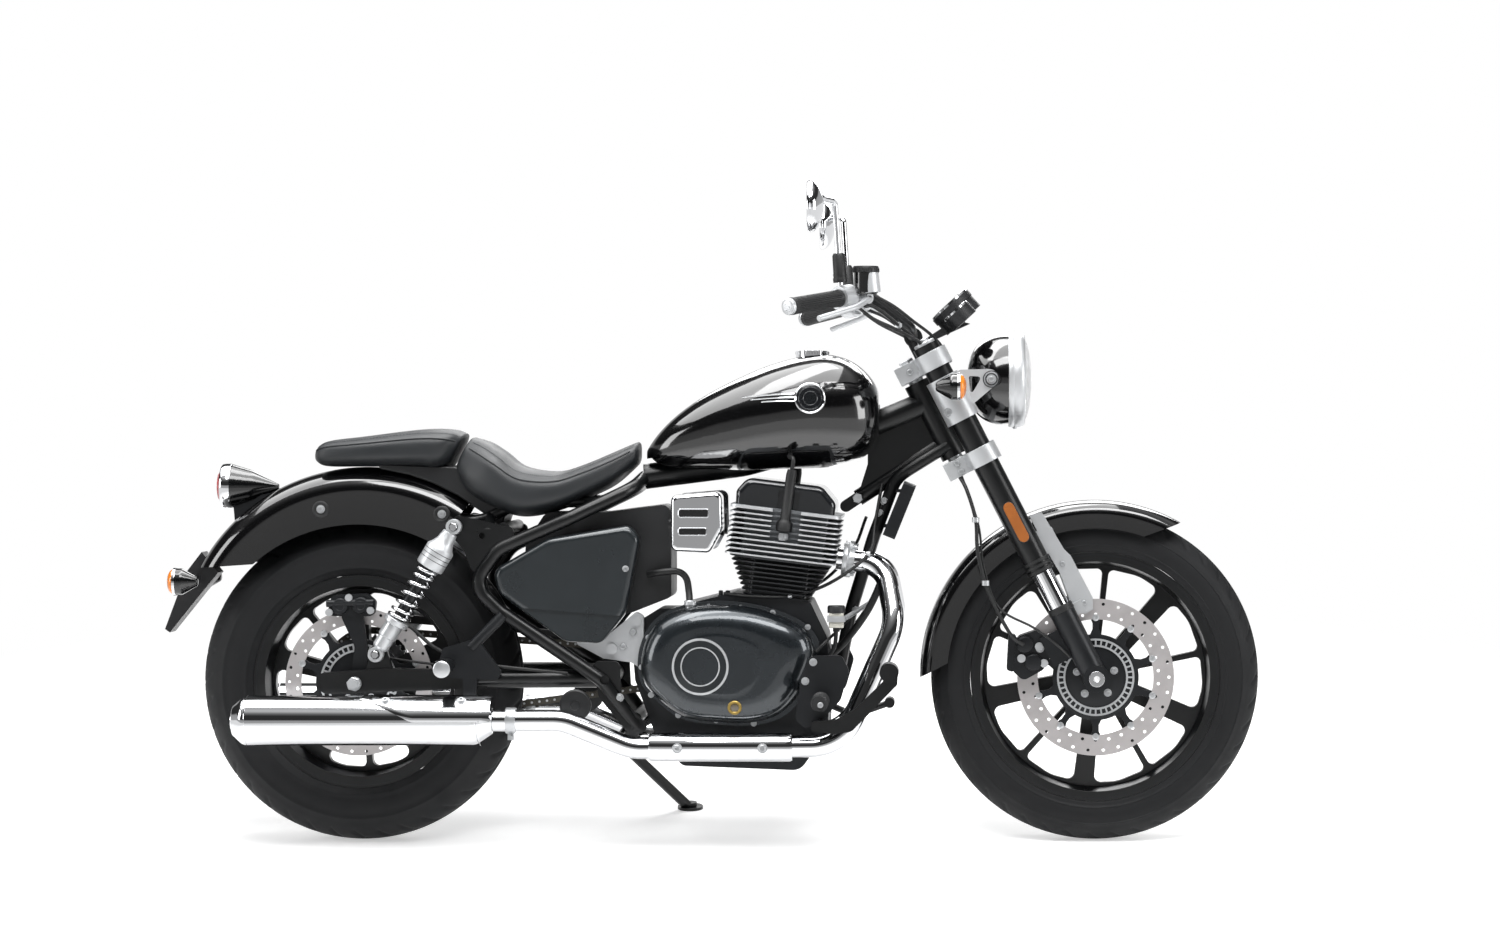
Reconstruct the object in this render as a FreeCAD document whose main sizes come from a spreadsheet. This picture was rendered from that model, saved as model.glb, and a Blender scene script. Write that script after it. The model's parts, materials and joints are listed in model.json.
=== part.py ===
"""Cruiser motorcycle with a parallel twin engine, leaning on its side stand.

The bike is drawn upright, X forward from the rear axle, Y to its left and Z up from the ground, in
millimetres. Each finished piece then gets one placement that leans the bike on its stand and puts the
origin on the floor, under the middle of its outline.
"""

import FreeCAD
import Part

import math
import os

import Sketcher

# Driving sizes, in millimetres and degrees. Places are given in the upright bike.
SIZES = {
    # Whole bike
    "wheelbase": 1500,
    "lean_angle": 8,
    "rake": 27.2,
    "steer_offset": 50.5,
    "seat_clearance": 0.3,
    # Front wheel
    "front_tyre_radius": 336,
    "front_tyre_section": 50,
    "front_bed_radius": 241,
    "front_rim_lip": 255,
    "front_rim_width": 88,
    "front_window_radius": 222,
    "front_hub_radius": 52,
    "front_hub_half": 61.7,
    "front_disc_radius": 160,
    "disc_band_radius": 118,
    # Rear wheel
    "rear_tyre_radius": 327,
    "rear_tyre_section": 75,
    "rear_bed_radius": 203,
    "rear_rim_lip": 217,
    "rear_rim_width": 128,
    "rear_window_radius": 181,
    "rear_hub_radius": 60,
    "rear_hub_half": 73.7,
    "rear_disc_radius": 150,
    "disc_thickness": 5,
    "tyre_wall": 11,
    "rim_lip_depth": 9,
    "brake_gap": 5,
    "rim_web": 20,
    # Axles
    "axle_radius": 10,
    "axle_bore_gap": 0.05,
    "front_axle_bore": 6,
    "front_axle_over": 30,
    # Chain drive, on the left side
    "chain_pitch": 15.875,
    "chain_line": 96,
    "chain_width": 18,
    "chain_plate_half": 7,
    "rear_teeth": 38,
    "front_teeth": 15,
    "chain_links": 102,
    "front_sprocket_rise": 18,
    # Fork and steering
    "fork_half_spacing": 102,
    "fork_tube_radius": 27,
    "slider_radius": 21.5,
    "lower_clamp_w": 508,
    "upper_clamp_w": 726,
    "fork_bottom_w": 242,
    "casting_top_w": 165,
    "stem_radius": 16,
    "head_tube_radius": 27,
    "clamp_thickness": 36,
    # Frame
    "main_tube_radius": 14,
    "side_loop_y": 130,
    "down_tube_y": 26,
    "spine_radius": 26,
    "rail_radius": 12,
    "rail_height": 694,
    "low_rail_height": 648,
    "rail_y": 74,
    "luggage_hole_x": 256,
    "luggage_hole_z": 626,
    "luggage_hole_radius": 6.5,
    "luggage_plate": 8,
    "pivot_x": 505,
    "pivot_height": 335,
    "swingarm_y": 122,
    "swingarm_half": 13,
    "swingarm_tube": 19,
    "swingarm_foot_y": 86,
    "shock_y": 164,
    "shock_top_x": 204,
    "shock_top_z": 645,
    "shock_foot_x": 47,
    "shock_foot_z": 388,
    "shock_coil": 21,
    # Engine
    "deck_x": 850,
    "deck_z": 500,
    "cylinder_tilt": 7,
    "barrel_height": 80,
    "head_height": 100,
    "fin_pitch": 9.4,
    "head_fin_pitch": 10.4,
    "fin_thickness": 3,
    "case_half": 115,
    "gearbox_half": 78,
    "cover_depth": 82,
    "cover_flange": 11,
    "rocker_half": 125,
    "head_half_length": 112,
    "air_box_half": 82,
    "throttle_face": 158,
    "panel_inner": 104,
    "panel_outer": 146,
    "panel_round": 14,
    # Exhaust
    "header_radius": 22,
    "muffler_radius": 50,
    "muffler_y": 192,
    "muffler_z": 257,
    "muffler_front": 286,
    "muffler_back": -236,
    # Tank and seats
    "tank_half_width": 152,
    "tank_tunnel": 84,
    "seat_half_width": 140,
    "pillion_half_width": 112,
    # Fenders
    "rear_fender_radius": 384,
    "rear_fender_x": 6,
    "rear_fender_z": 380,
    "rear_fender_half": 98,
    "front_fender_radius": 361,
    "front_fender_half": 66,
    "fender_wall": 3,
    # Side stand
    "stand_pivot_x": 520,
    "stand_pivot_y": 112,
    "stand_pivot_z": 185,
    "stand_length": 250,
    "stand_tube_radius": 11,
    "stand_out": 0.60,
    "stand_forward": 0.53,
    "stand_eye": 18,
    "stand_ear": 7,
    "stand_pin_radius": 6,
    # Handlebar
    "bar_radius": 11,
    "grip_radius": 17,
    "bar_end_x": 893,
    "bar_end_y": 420,
    "bar_end_z": 1081,
    "grip_inner_x": 990,
    "grip_inner_y": 297,
    "grip_inner_z": 1102,
    "riser_u": -14,
    "riser_height": 43,
    "plate_bar_half": 62,
    "sleeve_wall": 8,
    "stay_thickness": 2.7,
    # Lamps
    "headlamp_radius": 96,
    "headlamp_x": 1238,
    "headlamp_z": 943,
    "headlamp_rim_x": 1326,
    "mirror_radius": 51,
}

DOC = FreeCAD.newDocument("cruiser_motorcycle")
SHEET = DOC.addObject("Spreadsheet::Sheet", "sizes")
V = FreeCAD.Vector
X_AXIS = V(1, 0, 0)
Y_AXIS = V(0, 1, 0)
Z_AXIS = V(0, 0, 1)
NODES = []
KEPT = {}


class Size:
    """A size together with the sheet expression that gives it."""

    def __init__(self, value, text):
        self.value = float(value)
        self.text = text

    def __float__(self):
        return self.value

    def __add__(self, other):
        other = as_size(other)
        return Size(self.value + other.value, f"({self.text} + {other.text})")

    def __radd__(self, other):
        return as_size(other) + self

    def __sub__(self, other):
        other = as_size(other)
        return Size(self.value - other.value, f"({self.text} - {other.text})")

    def __rsub__(self, other):
        return as_size(other) - self

    def __mul__(self, other):
        other = as_size(other)
        return Size(self.value * other.value, f"({self.text} * {other.text})")

    def __rmul__(self, other):
        return as_size(other) * self

    def __truediv__(self, other):
        other = as_size(other)
        return Size(self.value / other.value, f"({self.text} / {other.text})")

    def __neg__(self):
        return Size(-self.value, f"(-{self.text})")


def as_size(number):
    """The number as a Size, so that both kinds can be added."""
    if isinstance(number, Size):
        return number
    return Size(number, f"({float(number):.6f})")


def s(name):
    """The named driving size, bound to its cell."""
    return Size(SIZES[name], f"sizes.{name}")


def sine(angle):
    """The sine of an angle in degrees, bound to the sheet where the angle is."""
    angle = as_size(angle)
    return Size(math.sin(math.radians(angle.value)), f"sin({angle.text})")


def cosine(angle):
    """The cosine of an angle in degrees, bound to the sheet where the angle is."""
    angle = as_size(angle)
    return Size(math.cos(math.radians(angle.value)), f"cos({angle.text})")


def tangent(angle):
    """The tangent of an angle in degrees, bound to the sheet where the angle is."""
    return sine(angle) / cosine(angle)


def fill_sheet():
    """Write the driving sizes to the sheet, one cell and one alias each."""
    for row, (name, value) in enumerate(SIZES.items(), start=1):
        SHEET.set(f"A{row}", name)
        SHEET.set(f"B{row}", str(value))
        SHEET.setAlias(f"B{row}", name)
    row = len(SIZES) + 1
    for name in ("origin_x", "origin_y"):
        SHEET.set(f"A{row}", name)
        SHEET.set(f"B{row}", "0")
        SHEET.setAlias(f"B{row}", name)
        row += 1
    DOC.recompute()


# Derived places of the upright bike

# The leaning tyre rests on its round crown, so the axle that it hangs on sits a little lower.
LIFT = s("rear_tyre_section") * (1 - cosine(s("lean_angle")))
REAR_AXLE_Z = s("rear_tyre_radius")
FRONT_AXLE_Z = (
    s("front_tyre_radius")
    - s("front_tyre_section")
    + (s("front_tyre_section") - LIFT) / cosine(s("lean_angle"))
)
REAR_SPROCKET_RADIUS = s("chain_pitch") * s("rear_teeth") / (2 * math.pi)
FRONT_SPROCKET_RADIUS = s("chain_pitch") * s("front_teeth") / (2 * math.pi)


def plane_expression():
    """The placement that leans the bike on its stand and sets the origin."""
    return (
        "create(<<placement>>; create(<<vector>>; -sizes.origin_x; -sizes.origin_y; "
        f"{LIFT.text}); create(<<rotation>>; create(<<vector>>; 1; 0; 0); -sizes.lean_angle))"
    )


def local_expression(x, y, z, axis, angle):
    """A placement inside the upright bike, as expression text."""
    spin = f"create(<<rotation>>; create(<<vector>>; {axis[0]}; {axis[1]}; {axis[2]}); {as_size(angle).text})"
    place = f"{as_size(x).text}; {as_size(y).text}; {as_size(z).text}"
    return f"create(<<placement>>; create(<<vector>>; {place}); {spin})"


def put(thing, x=0, y=0, z=0, axis=(0, 0, 1), angle=0):
    """Place an object inside the upright bike, turned about one axis."""
    thing.setExpression("Placement", local_expression(x, y, z, axis, angle))
    return thing


def node(name, thing, x=0, y=0, z=0, axis=(0, 0, 1), angle=0):
    """Name a finished piece and lean it with the bike."""
    thing.Label = name
    thing.setExpression("Placement", f"{plane_expression()} * {local_expression(x, y, z, axis, angle)}")
    NODES.append(thing)
    return thing


def fork_place():
    """Where fork pieces are placed: the front axle, with the local Z up along the fork."""
    return {
        "x": s("wheelbase"),
        "y": 0,
        "z": FRONT_AXLE_Z,
        "axis": (0, 1, 0),
        "angle": -s("rake"),
    }


def in_fork(u, y, w):
    """A point given ahead of the fork's line, to the left and up along it, in the upright bike."""
    rake = math.radians(float(s("rake")))
    x = float(s("wheelbase")) + u * math.cos(rake) - w * math.sin(rake)
    z = float(FRONT_AXLE_Z) + u * math.sin(rake) + w * math.cos(rake)
    return V(x, y, z)


# Primitive objects, bound to the sheet


def new(kind, name):
    """A new object with a free internal name."""
    return DOC.addObject(kind, name)


def box(name, length, width, height):
    """A box with its corner at its own origin."""
    thing = new("Part::Box", name)
    thing.setExpression("Length", as_size(length).text)
    thing.setExpression("Width", as_size(width).text)
    thing.setExpression("Height", as_size(height).text)
    return thing


def cylinder(name, radius, height):
    """A cylinder along its own Z."""
    thing = new("Part::Cylinder", name)
    thing.setExpression("Radius", as_size(radius).text)
    thing.setExpression("Height", as_size(height).text)
    return thing


def cross_cylinder(name, radius, length, x, y, z):
    """A cylinder along Y, centred on the given point."""
    thing = cylinder(name, radius, length)
    return put(thing, x, as_size(y) - as_size(length) / 2, z, (1, 0, 0), -90)


def torus(name, ring, tube):
    """A torus about its own Z."""
    thing = new("Part::Torus", name)
    thing.setExpression("Radius1", as_size(ring).text)
    thing.setExpression("Radius2", as_size(tube).text)
    return thing


def fuse(name, parts):
    """Several touching or overlapping objects as one."""
    thing = new("Part::MultiFuse", name)
    thing.Shapes = parts
    thing.Refine = True
    return thing


def cut(name, base, tool):
    """The base less the tool."""
    thing = new("Part::Cut", name)
    thing.Base = base
    thing.Tool = tool
    return thing


def group(name, parts):
    """Several separate objects as one node."""
    thing = new("Part::Compound", name)
    thing.Links = parts
    return thing


def mirrored(thing):
    """The same object on the other side of the bike."""
    other = new("Part::Mirroring", f"{thing.Name}_other")
    other.Source = thing
    other.Normal = Y_AXIS
    return other


def both(name, thing):
    """The object and its mirror image."""
    return group(name, [thing, mirrored(thing)])


def feature(name, shape):
    """An object whose shape is made by this script from the sheet's sizes."""
    thing = new("Part::Feature", name)
    thing.Shape = shape
    return thing


# Part Design helpers


def body(name):
    """An empty body that may hold several solids."""
    thing = new("PartDesign::Body", name)
    thing.AllowCompound = True
    return thing


def sketch(owner, plane, shift=0, name="profile"):
    """A sketch on one of the body's own planes, moved along the plane's normal."""
    drawing = owner.newObject("Sketcher::SketchObject", f"{owner.Name}_{name}")
    origin_plane = next(p for p in owner.Origin.OriginFeatures if p.Role == plane)
    drawing.AttachmentSupport = [(origin_plane, "")]
    drawing.MapMode = "FlatFace"
    drawing.setExpression("AttachmentOffset.Base.z", as_size(shift).text)
    return drawing


def bind(drawing, kind, geometry, point, size):
    """Add one distance or radius to a sketch and bind it to the sheet."""
    size = as_size(size)
    if point is None:
        index = drawing.addConstraint(Sketcher.Constraint(kind, geometry, size.value))
    else:
        index = drawing.addConstraint(Sketcher.Constraint(kind, geometry, point, size.value))
    drawing.setExpression(f"Constraints[{index}]", size.text)


def circle(drawing, x, y, radius):
    """A full circle in a sketch."""
    centre = V(float(x), float(y), 0)
    index = drawing.addGeometry(Part.Circle(centre, Z_AXIS, float(radius)), False)
    bind(drawing, "Radius", index, None, radius)
    bind(drawing, "DistanceX", index, 3, x)
    bind(drawing, "DistanceY", index, 3, y)


def outline(drawing, corners):
    """A closed outline; a corner is (x, y) or (x, y, radius)."""
    count = len(corners)
    points = [V(float(c[0]), float(c[1]), 0) for c in corners]
    radii = [float(c[2]) if len(c) == 3 else 0.0 for c in corners]
    entries = []
    exits = []
    arcs = []
    for i in range(count):
        back = (points[i - 1] - points[i]).normalize()
        ahead = (points[(i + 1) % count] - points[i]).normalize()
        if radii[i] == 0:
            entries.append(points[i])
            exits.append(points[i])
            arcs.append(None)
            continue
        half = math.acos(max(-1.0, min(1.0, back.dot(ahead)))) / 2
        reach = radii[i] / math.tan(half)
        entries.append(points[i] + back * reach)
        exits.append(points[i] + ahead * reach)
        centre = points[i] + (back + ahead).normalize() * (radii[i] / math.sin(half))
        arcs.append((centre, back.cross(ahead).z < 0))
    lines = []
    for i in range(count):
        segment = Part.LineSegment(exits[i], entries[(i + 1) % count])
        lines.append(drawing.addGeometry(segment, False))
    for i in range(count):
        before = lines[i - 1]
        after = lines[i]
        if arcs[i] is None:
            drawing.addConstraint(Sketcher.Constraint("Coincident", before, 2, after, 1))
            bind(drawing, "DistanceX", after, 1, corners[i][0])
            bind(drawing, "DistanceY", after, 1, corners[i][1])
            continue
        centre, counter = arcs[i]
        first, last = (entries[i], exits[i]) if counter else (exits[i], entries[i])
        start = math.atan2(first.y - centre.y, first.x - centre.x)
        end = math.atan2(last.y - centre.y, last.x - centre.x)
        if end < start:
            end += 2 * math.pi
        round_arc = Part.ArcOfCircle(Part.Circle(centre, Z_AXIS, radii[i]), start, end)
        arc = drawing.addGeometry(round_arc, False)
        drawing.addConstraint(Sketcher.Constraint("Tangent", before, 2, arc, 1 if counter else 2))
        drawing.addConstraint(Sketcher.Constraint("Tangent", arc, 2 if counter else 1, after, 1))
        bind(drawing, "Radius", arc, None, corners[i][2])
        corner = drawing.addGeometry(Part.Point(points[i]), True)
        drawing.addConstraint(Sketcher.Constraint("PointOnObject", corner, 1, before))
        drawing.addConstraint(Sketcher.Constraint("PointOnObject", corner, 1, after))
        bind(drawing, "DistanceX", corner, 1, corners[i][0])
        bind(drawing, "DistanceY", corner, 1, corners[i][1])


def pad(owner, drawing, length, midplane=False, backwards=False, taper=0):
    """Pad a sketch."""
    thing = owner.newObject("PartDesign::Pad", f"{owner.Name}_pad")
    thing.Profile = drawing
    thing.setExpression("Length", as_size(length).text)
    thing.Midplane = midplane
    thing.Reversed = backwards
    thing.TaperAngle = taper
    return thing


def pocket(owner, drawing, length=None, midplane=False, backwards=False):
    """Cut a sketch into the body, through everything where no length is given."""
    thing = owner.newObject("PartDesign::Pocket", f"{owner.Name}_pocket")
    thing.Profile = drawing
    if length is None:
        thing.Type = "ThroughAll"
    else:
        thing.setExpression("Length", as_size(length).text)
    thing.Midplane = midplane
    thing.Reversed = backwards
    return thing


def revolve(owner, drawing, axis="V_Axis"):
    """Turn a sketch about one of its own axes."""
    thing = owner.newObject("PartDesign::Revolution", f"{owner.Name}_revolution")
    thing.Profile = drawing
    thing.ReferenceAxis = (drawing, [axis])
    thing.Angle = 360
    return thing


def polar(owner, originals, axis_sketch, axis, count):
    """Repeat features about a sketch's axis."""
    thing = owner.newObject("PartDesign::PolarPattern", f"{owner.Name}_polar")
    thing.Originals = originals
    thing.Axis = (axis_sketch, [axis])
    thing.Angle = 360
    thing.setExpression("Occurrences", as_size(count).text)
    owner.Tip = thing
    return thing


def linear(owner, originals, axis_sketch, axis, length, count):
    """Repeat features along a sketch's axis."""
    thing = owner.newObject("PartDesign::LinearPattern", f"{owner.Name}_linear")
    thing.Originals = originals
    thing.Direction = (axis_sketch, [axis])
    thing.setExpression("Length", as_size(length).text)
    thing.setExpression("Occurrences", as_size(count).text)
    owner.Tip = thing
    return thing


# Curved shapes that neither primitives nor sketches fit


def route(points, radii):
    """Straight runs through the points, joined by tangent arcs of the given radii."""
    edges = []
    start = points[0]
    for i in range(1, len(points) - 1):
        back = (points[i - 1] - points[i]).normalize()
        ahead = (points[i + 1] - points[i]).normalize()
        half = math.acos(max(-1.0, min(1.0, back.dot(ahead)))) / 2
        radius = radii[i - 1]
        reach = radius / math.tan(half)
        middle = points[i] + (back + ahead).normalize() * (radius / math.sin(half) - radius)
        entry = points[i] + back * reach
        leave = points[i] + ahead * reach
        if (entry - start).Length > 0.01:
            edges.append(Part.LineSegment(start, entry).toShape())
        edges.append(Part.Arc(entry, middle, leave).toShape())
        start = leave
    edges.append(Part.LineSegment(start, points[-1]).toShape())
    return Part.Wire(edges)


def ring(centre, normal, radius):
    """A round wire."""
    return Part.Wire([Part.makeCircle(float(radius), centre, normal)])


def tube(points, radii, radius):
    """A solid rod or closed tube along a route."""
    radius = float(radius)
    if len(points) == 2:
        return Part.makeCylinder(radius, (points[1] - points[0]).Length, points[0], points[1] - points[0])
    path = route(points, radii)
    return path.makePipeShell([ring(points[0], points[1] - points[0], radius)], True, False)


def smooth_ring(points):
    """A closed smooth wire through the points."""
    curve = Part.BSplineCurve()
    curve.interpolate(points, PeriodicFlag=True)
    return Part.Wire([curve.toShape()])


def station(x, low, high, half, square=2.5, rake=0.0, count=16):
    """A rounded cross-section of the bike at one X, from low to high and half wide on each side."""
    middle = (low + high) / 2
    rise = (high - low) / 2
    points = []
    for i in range(count):
        angle = 2 * math.pi * i / count
        c, d = math.cos(angle), math.sin(angle)
        y = half * math.copysign(abs(c) ** (2 / square), c)
        z = rise * math.copysign(abs(d) ** (2 / square), d)
        points.append(V(x + rake * z, y, middle + z))
    return smooth_ring(points)


def loft(wires, ruled=False):
    """A solid through closed wires."""
    return Part.makeLoft(wires, True, ruled)


def flat_solid(points, depth):
    """A flat plate: a polygon pushed along a vector."""
    return Part.Face(Part.makePolygon(points + [points[0]])).extrude(depth)


def rounded_plate(corners, y, thickness):
    """A plate square to Y: corners are (x, z, radius), one face at y."""
    points = [V(c[0], y, c[1]) for c in corners]
    count = len(points)
    edges = []
    exits = []
    entries = []
    for i in range(count):
        back = (points[i - 1] - points[i]).normalize()
        ahead = (points[(i + 1) % count] - points[i]).normalize()
        radius = corners[i][2]
        half = math.acos(max(-1.0, min(1.0, back.dot(ahead)))) / 2
        reach = radius / math.tan(half)
        entries.append(points[i] + back * reach)
        exits.append(points[i] + ahead * reach)
        if radius > 0:
            middle = points[i] + (back + ahead).normalize() * (radius / math.sin(half) - radius)
            edges.append(Part.Arc(entries[i], middle, exits[i]).toShape())
    for i in range(count):
        edges.append(Part.LineSegment(exits[i], entries[(i + 1) % count]).toShape())
    wire = Part.Wire(Part.__sortEdges__(edges))
    return Part.Face(wire).extrude(V(0, thickness, 0))


def both_sides(shape):
    """A shape and its mirror image across the bike."""
    return [shape, shape.mirror(V(0, 0, 0), Y_AXIS)]


def joined(shapes):
    """One solid from overlapping shapes."""
    return shapes[0].multiFuse(shapes[1:]).removeSplitter()


# Wheels


def tyre(name, side, x, axle_z):
    """A round tyre, hollow and open towards the rim, cut back round the rim's lips."""
    section = s(f"{side}_tyre_section")
    middle = s(f"{side}_tyre_radius") - section
    bed = s(f"{side}_bed_radius") + s("seat_clearance")
    lip = s(f"{side}_rim_lip") + s("seat_clearance")
    between = s(f"{side}_rim_width") - 2 * (s("rim_lip_depth") + s("seat_clearance"))
    outer = torus(f"{name}_outer", middle, section)
    inner = torus(f"{name}_inner", middle, section - s("tyre_wall"))
    bore = put(cylinder(f"{name}_bore", bed, section * 2), 0, 0, -section)
    lips = put(cylinder(f"{name}_lips", lip, section * 2), 0, 0, -section)
    seat = put(cylinder(f"{name}_seat", lip + 1, between), 0, 0, between / -2)
    edge = cut(f"{name}_edge", lips, seat)
    shell = cut(f"{name}_shell", outer, fuse(f"{name}_hollow", [inner, bore, edge]))
    return node(name, shell, x, 0, axle_z, (1, 0, 0), 90)


def rim(name, side, x, axle_z, wide_angle, wide_half, thin_half, window_in):
    """A cast wheel: bed with two lips, web with five wide and five thin spokes, and a hub."""
    wheel = body(name)
    bed = s(f"{side}_bed_radius")
    lip = s(f"{side}_rim_lip")
    half = s(f"{side}_rim_width") / 2
    window = s(f"{side}_window_radius")
    section = sketch(wheel, "XY_Plane", name="bed")
    outline(section, [
        (window + 5, s("rim_web") / -2), (window + 13, -half), (lip, -half), (lip, -half + 5),
        (bed, -half + 9), (bed, half - 9), (lip, half - 5), (lip, half),
        (window + 13, half), (window + 5, s("rim_web") / 2),
    ])
    revolve(wheel, section)
    hub = sketch(wheel, "XY_Plane", name="hub")
    hub_half = s(f"{side}_hub_half")
    hub_radius = s(f"{side}_hub_radius")
    bore = s("axle_radius") + s("axle_bore_gap")
    outline(hub, [
        (bore, -hub_half), (hub_radius - 22, -hub_half), (hub_radius, -20), (window + 7, s("rim_web") / -2),
        (window + 7, s("rim_web") / 2), (hub_radius, 20), (hub_radius - 22, hub_half), (bore, hub_half),
    ])
    revolve(wheel, hub)
    windows = sketch(wheel, "XZ_Plane", name="windows")
    for turn in (1, -1):
        wide = math.radians(wide_angle)
        thin = math.radians(wide_angle + 36 * turn)
        corners = []
        reach = float(window)
        for angle, radius, off in (
            (wide, window_in, wide_half * turn), (wide, reach - 3, (wide_half + 4) * turn),
            (0.5 * (wide + thin), reach + 1, 0), (thin, reach - 2, -(thin_half + 2) * turn),
            (thin, window_in, -thin_half * turn),
        ):
            corners.append((radius * math.cos(angle) - off * math.sin(angle),
                            radius * math.sin(angle) + off * math.cos(angle)))
        if turn < 0:
            corners.reverse()
        rounding = (11, 14, 80, 11, 9) if turn > 0 else (9, 11, 80, 14, 11)
        outline(windows, [(*c, r) for c, r in zip(corners, rounding)])
    opening = pocket(wheel, windows, midplane=True)
    polar(wheel, [opening], windows, "N_Axis", 5)
    return node(name, wheel, x, 0, axle_z)


def disc(name, side, x, axle_z, hub_radius):
    """A brake disc: a band held by the arms of its carrier, seated on the hub's right face."""
    rotor = body(name)
    radius = s(f"{side}_disc_radius")
    inner_face = s(f"{side}_hub_half") + s("seat_clearance")
    plate = sketch(rotor, "XZ_Plane", inner_face, "plate")
    circle(plate, 0, 0, radius)
    circle(plate, 0, 0, hub_radius)
    pad(rotor, plate, s("disc_thickness"))
    gap = sketch(rotor, "XZ_Plane", inner_face, "gap")
    far = s("disc_band_radius") - 4
    outline(gap, [(63, -12, 8), (far, -28, 10), (far + 4, 0, 60), (far, 28, 10), (63, 12, 8)])
    window = pocket(rotor, gap, midplane=True)
    polar(rotor, [window], gap, "N_Axis", 10)
    return node(name, rotor, x, 0, axle_z)


def rear_sprocket():
    """The rear sprocket, with one tooth for each link it carries."""
    wheel = body("rear_sprocket")
    root = REAR_SPROCKET_RADIUS - s("chain_plate_half") - 7
    tip = REAR_SPROCKET_RADIUS - s("chain_plate_half") - 1
    inner_face = s("chain_line") - 3
    hub_face = s("rear_hub_half") + s("seat_clearance")
    plate = sketch(wheel, "XZ_Plane", -inner_face - 6, "plate")
    circle(plate, 0, 0, root)
    circle(plate, 0, 0, 34)
    pad(wheel, plate, 6)
    teeth = sketch(wheel, "XZ_Plane", -inner_face - 6, "tooth")
    outline(teeth, [(root - 2, -4.5), (root, -4.5), (tip, -1.5), (tip, 1.5), (root, 4.5), (root - 2, 4.5)])
    tooth = pad(wheel, teeth, 6)
    polar(wheel, [tooth], teeth, "N_Axis", s("rear_teeth"))
    carrier = sketch(wheel, "XZ_Plane", -hub_face, "carrier")
    circle(carrier, 0, 0, 46)
    circle(carrier, 0, 0, 24)
    pad(wheel, carrier, inner_face - hub_face, backwards=True)
    return node("rear_sprocket", wheel, 0, 0, REAR_AXLE_Z)


def wheels():
    """Both wheels with their tyres, discs and the rear sprocket."""
    tyre("front_tyre", "front", s("wheelbase"), FRONT_AXLE_Z)
    rim("front_rim", "front", s("wheelbase"), FRONT_AXLE_Z, 48, 17, 4.5, 66)
    disc("front_disc", "front", s("wheelbase"), FRONT_AXLE_Z, 20)
    tyre("rear_tyre", "rear", 0, REAR_AXLE_Z)
    rim("rear_rim", "rear", 0, REAR_AXLE_Z, 22, 17, 5, 76)
    disc("rear_disc", "rear", 0, REAR_AXLE_Z, 24)
    rear_sprocket()


def axles():
    """The hollow front axle and the solid rear one, with their heads."""
    y = s("fork_half_spacing") + s("front_axle_over")
    rod = cross_cylinder("front_axle_rod", s("axle_radius"), 2 * y, 0, 0, 0)
    ends = []
    for name, side in (("head", -1), ("nut", 1)):
        ends.append(cross_cylinder(f"front_axle_{name}", 16, 5, 0, side * (y - 2.5), 0))
    solid = fuse("front_axle_solid", [rod, *ends])
    bore = cross_cylinder("front_axle_hollow", s("front_axle_bore"), 2 * y + 20, 0, 0, 0)
    node("front_axle", cut("front_axle_shape", solid, bore), s("wheelbase"), 0, FRONT_AXLE_Z)
    outer = s("swingarm_y") + s("swingarm_half") + s("seat_clearance")
    rear = cross_cylinder("rear_axle_rod", s("axle_radius"), 2 * outer + 2, 0, 0, 0)
    head = cross_cylinder("rear_axle_head", 14, 9, 0, -outer - 4.5, 0)
    nut = cross_cylinder("rear_axle_nut", 14, 9, 0, outer + 4.5, 0)
    node("rear_axle", fuse("rear_axle_set", [rear, head, nut]), 0, 0, REAR_AXLE_Z)


# Frame and rear suspension


def main_frame():
    """The welded frame."""
    KEPT["frame"] = frame_shape()
    return node("main_frame", feature("main_frame_shape", KEPT["frame"]))


def swingarm():
    """The rear fork: pivot tube and bolt, two legs, axle plates and shock lugs."""
    y = float(s("swingarm_y"))
    half = float(s("swingarm_half"))
    pivot = V(float(s("pivot_x")), 0, float(s("pivot_height")))
    axle = V(0, 0, float(REAR_AXLE_Z))
    shapes = [Part.makeCylinder(19, 220, pivot - V(0, 110, 0), Y_AXIS),
              Part.makeCylinder(9, 264, pivot - V(0, 132, 0), Y_AXIS)]
    lug_y = float(s("shock_y")) + 14
    for side in (-1, 1):
        shapes.append(tube([pivot + V(0, side * float(s("swingarm_foot_y")), 0), V(400, side * y, 337), V(240, side * y, 336)], [110],
                           float(s("swingarm_tube"))))
        shapes.append(rounded_plate([(-78, 318, 10), (-72, 348, 10), (60, 358, 40), (270, 354, 8), (270, 318, 8),
                                     (-60, 306, 10)], side * y - half, 2 * half))
        shapes.append(rounded_plate([(20, 345, 2), (78, 345, 2), (62, 402, 14), (32, 402, 14)], side * y - 8, 16))
        pin = V(float(s("shock_foot_x")), side * (y + lug_y) / 2, float(s("shock_foot_z")))
        reach = lug_y - y
        shapes.append(Part.makeCylinder(8, reach, pin - V(0, reach / 2, 0), Y_AXIS))
    arm = joined(shapes)
    bore = Part.makeCylinder(float(s("axle_radius")) + float(s("axle_bore_gap")), 300, axle - V(0, 150, 0), Y_AXIS)
    return node("swingarm", feature("swingarm_shape", arm.cut(bore)))


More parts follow.
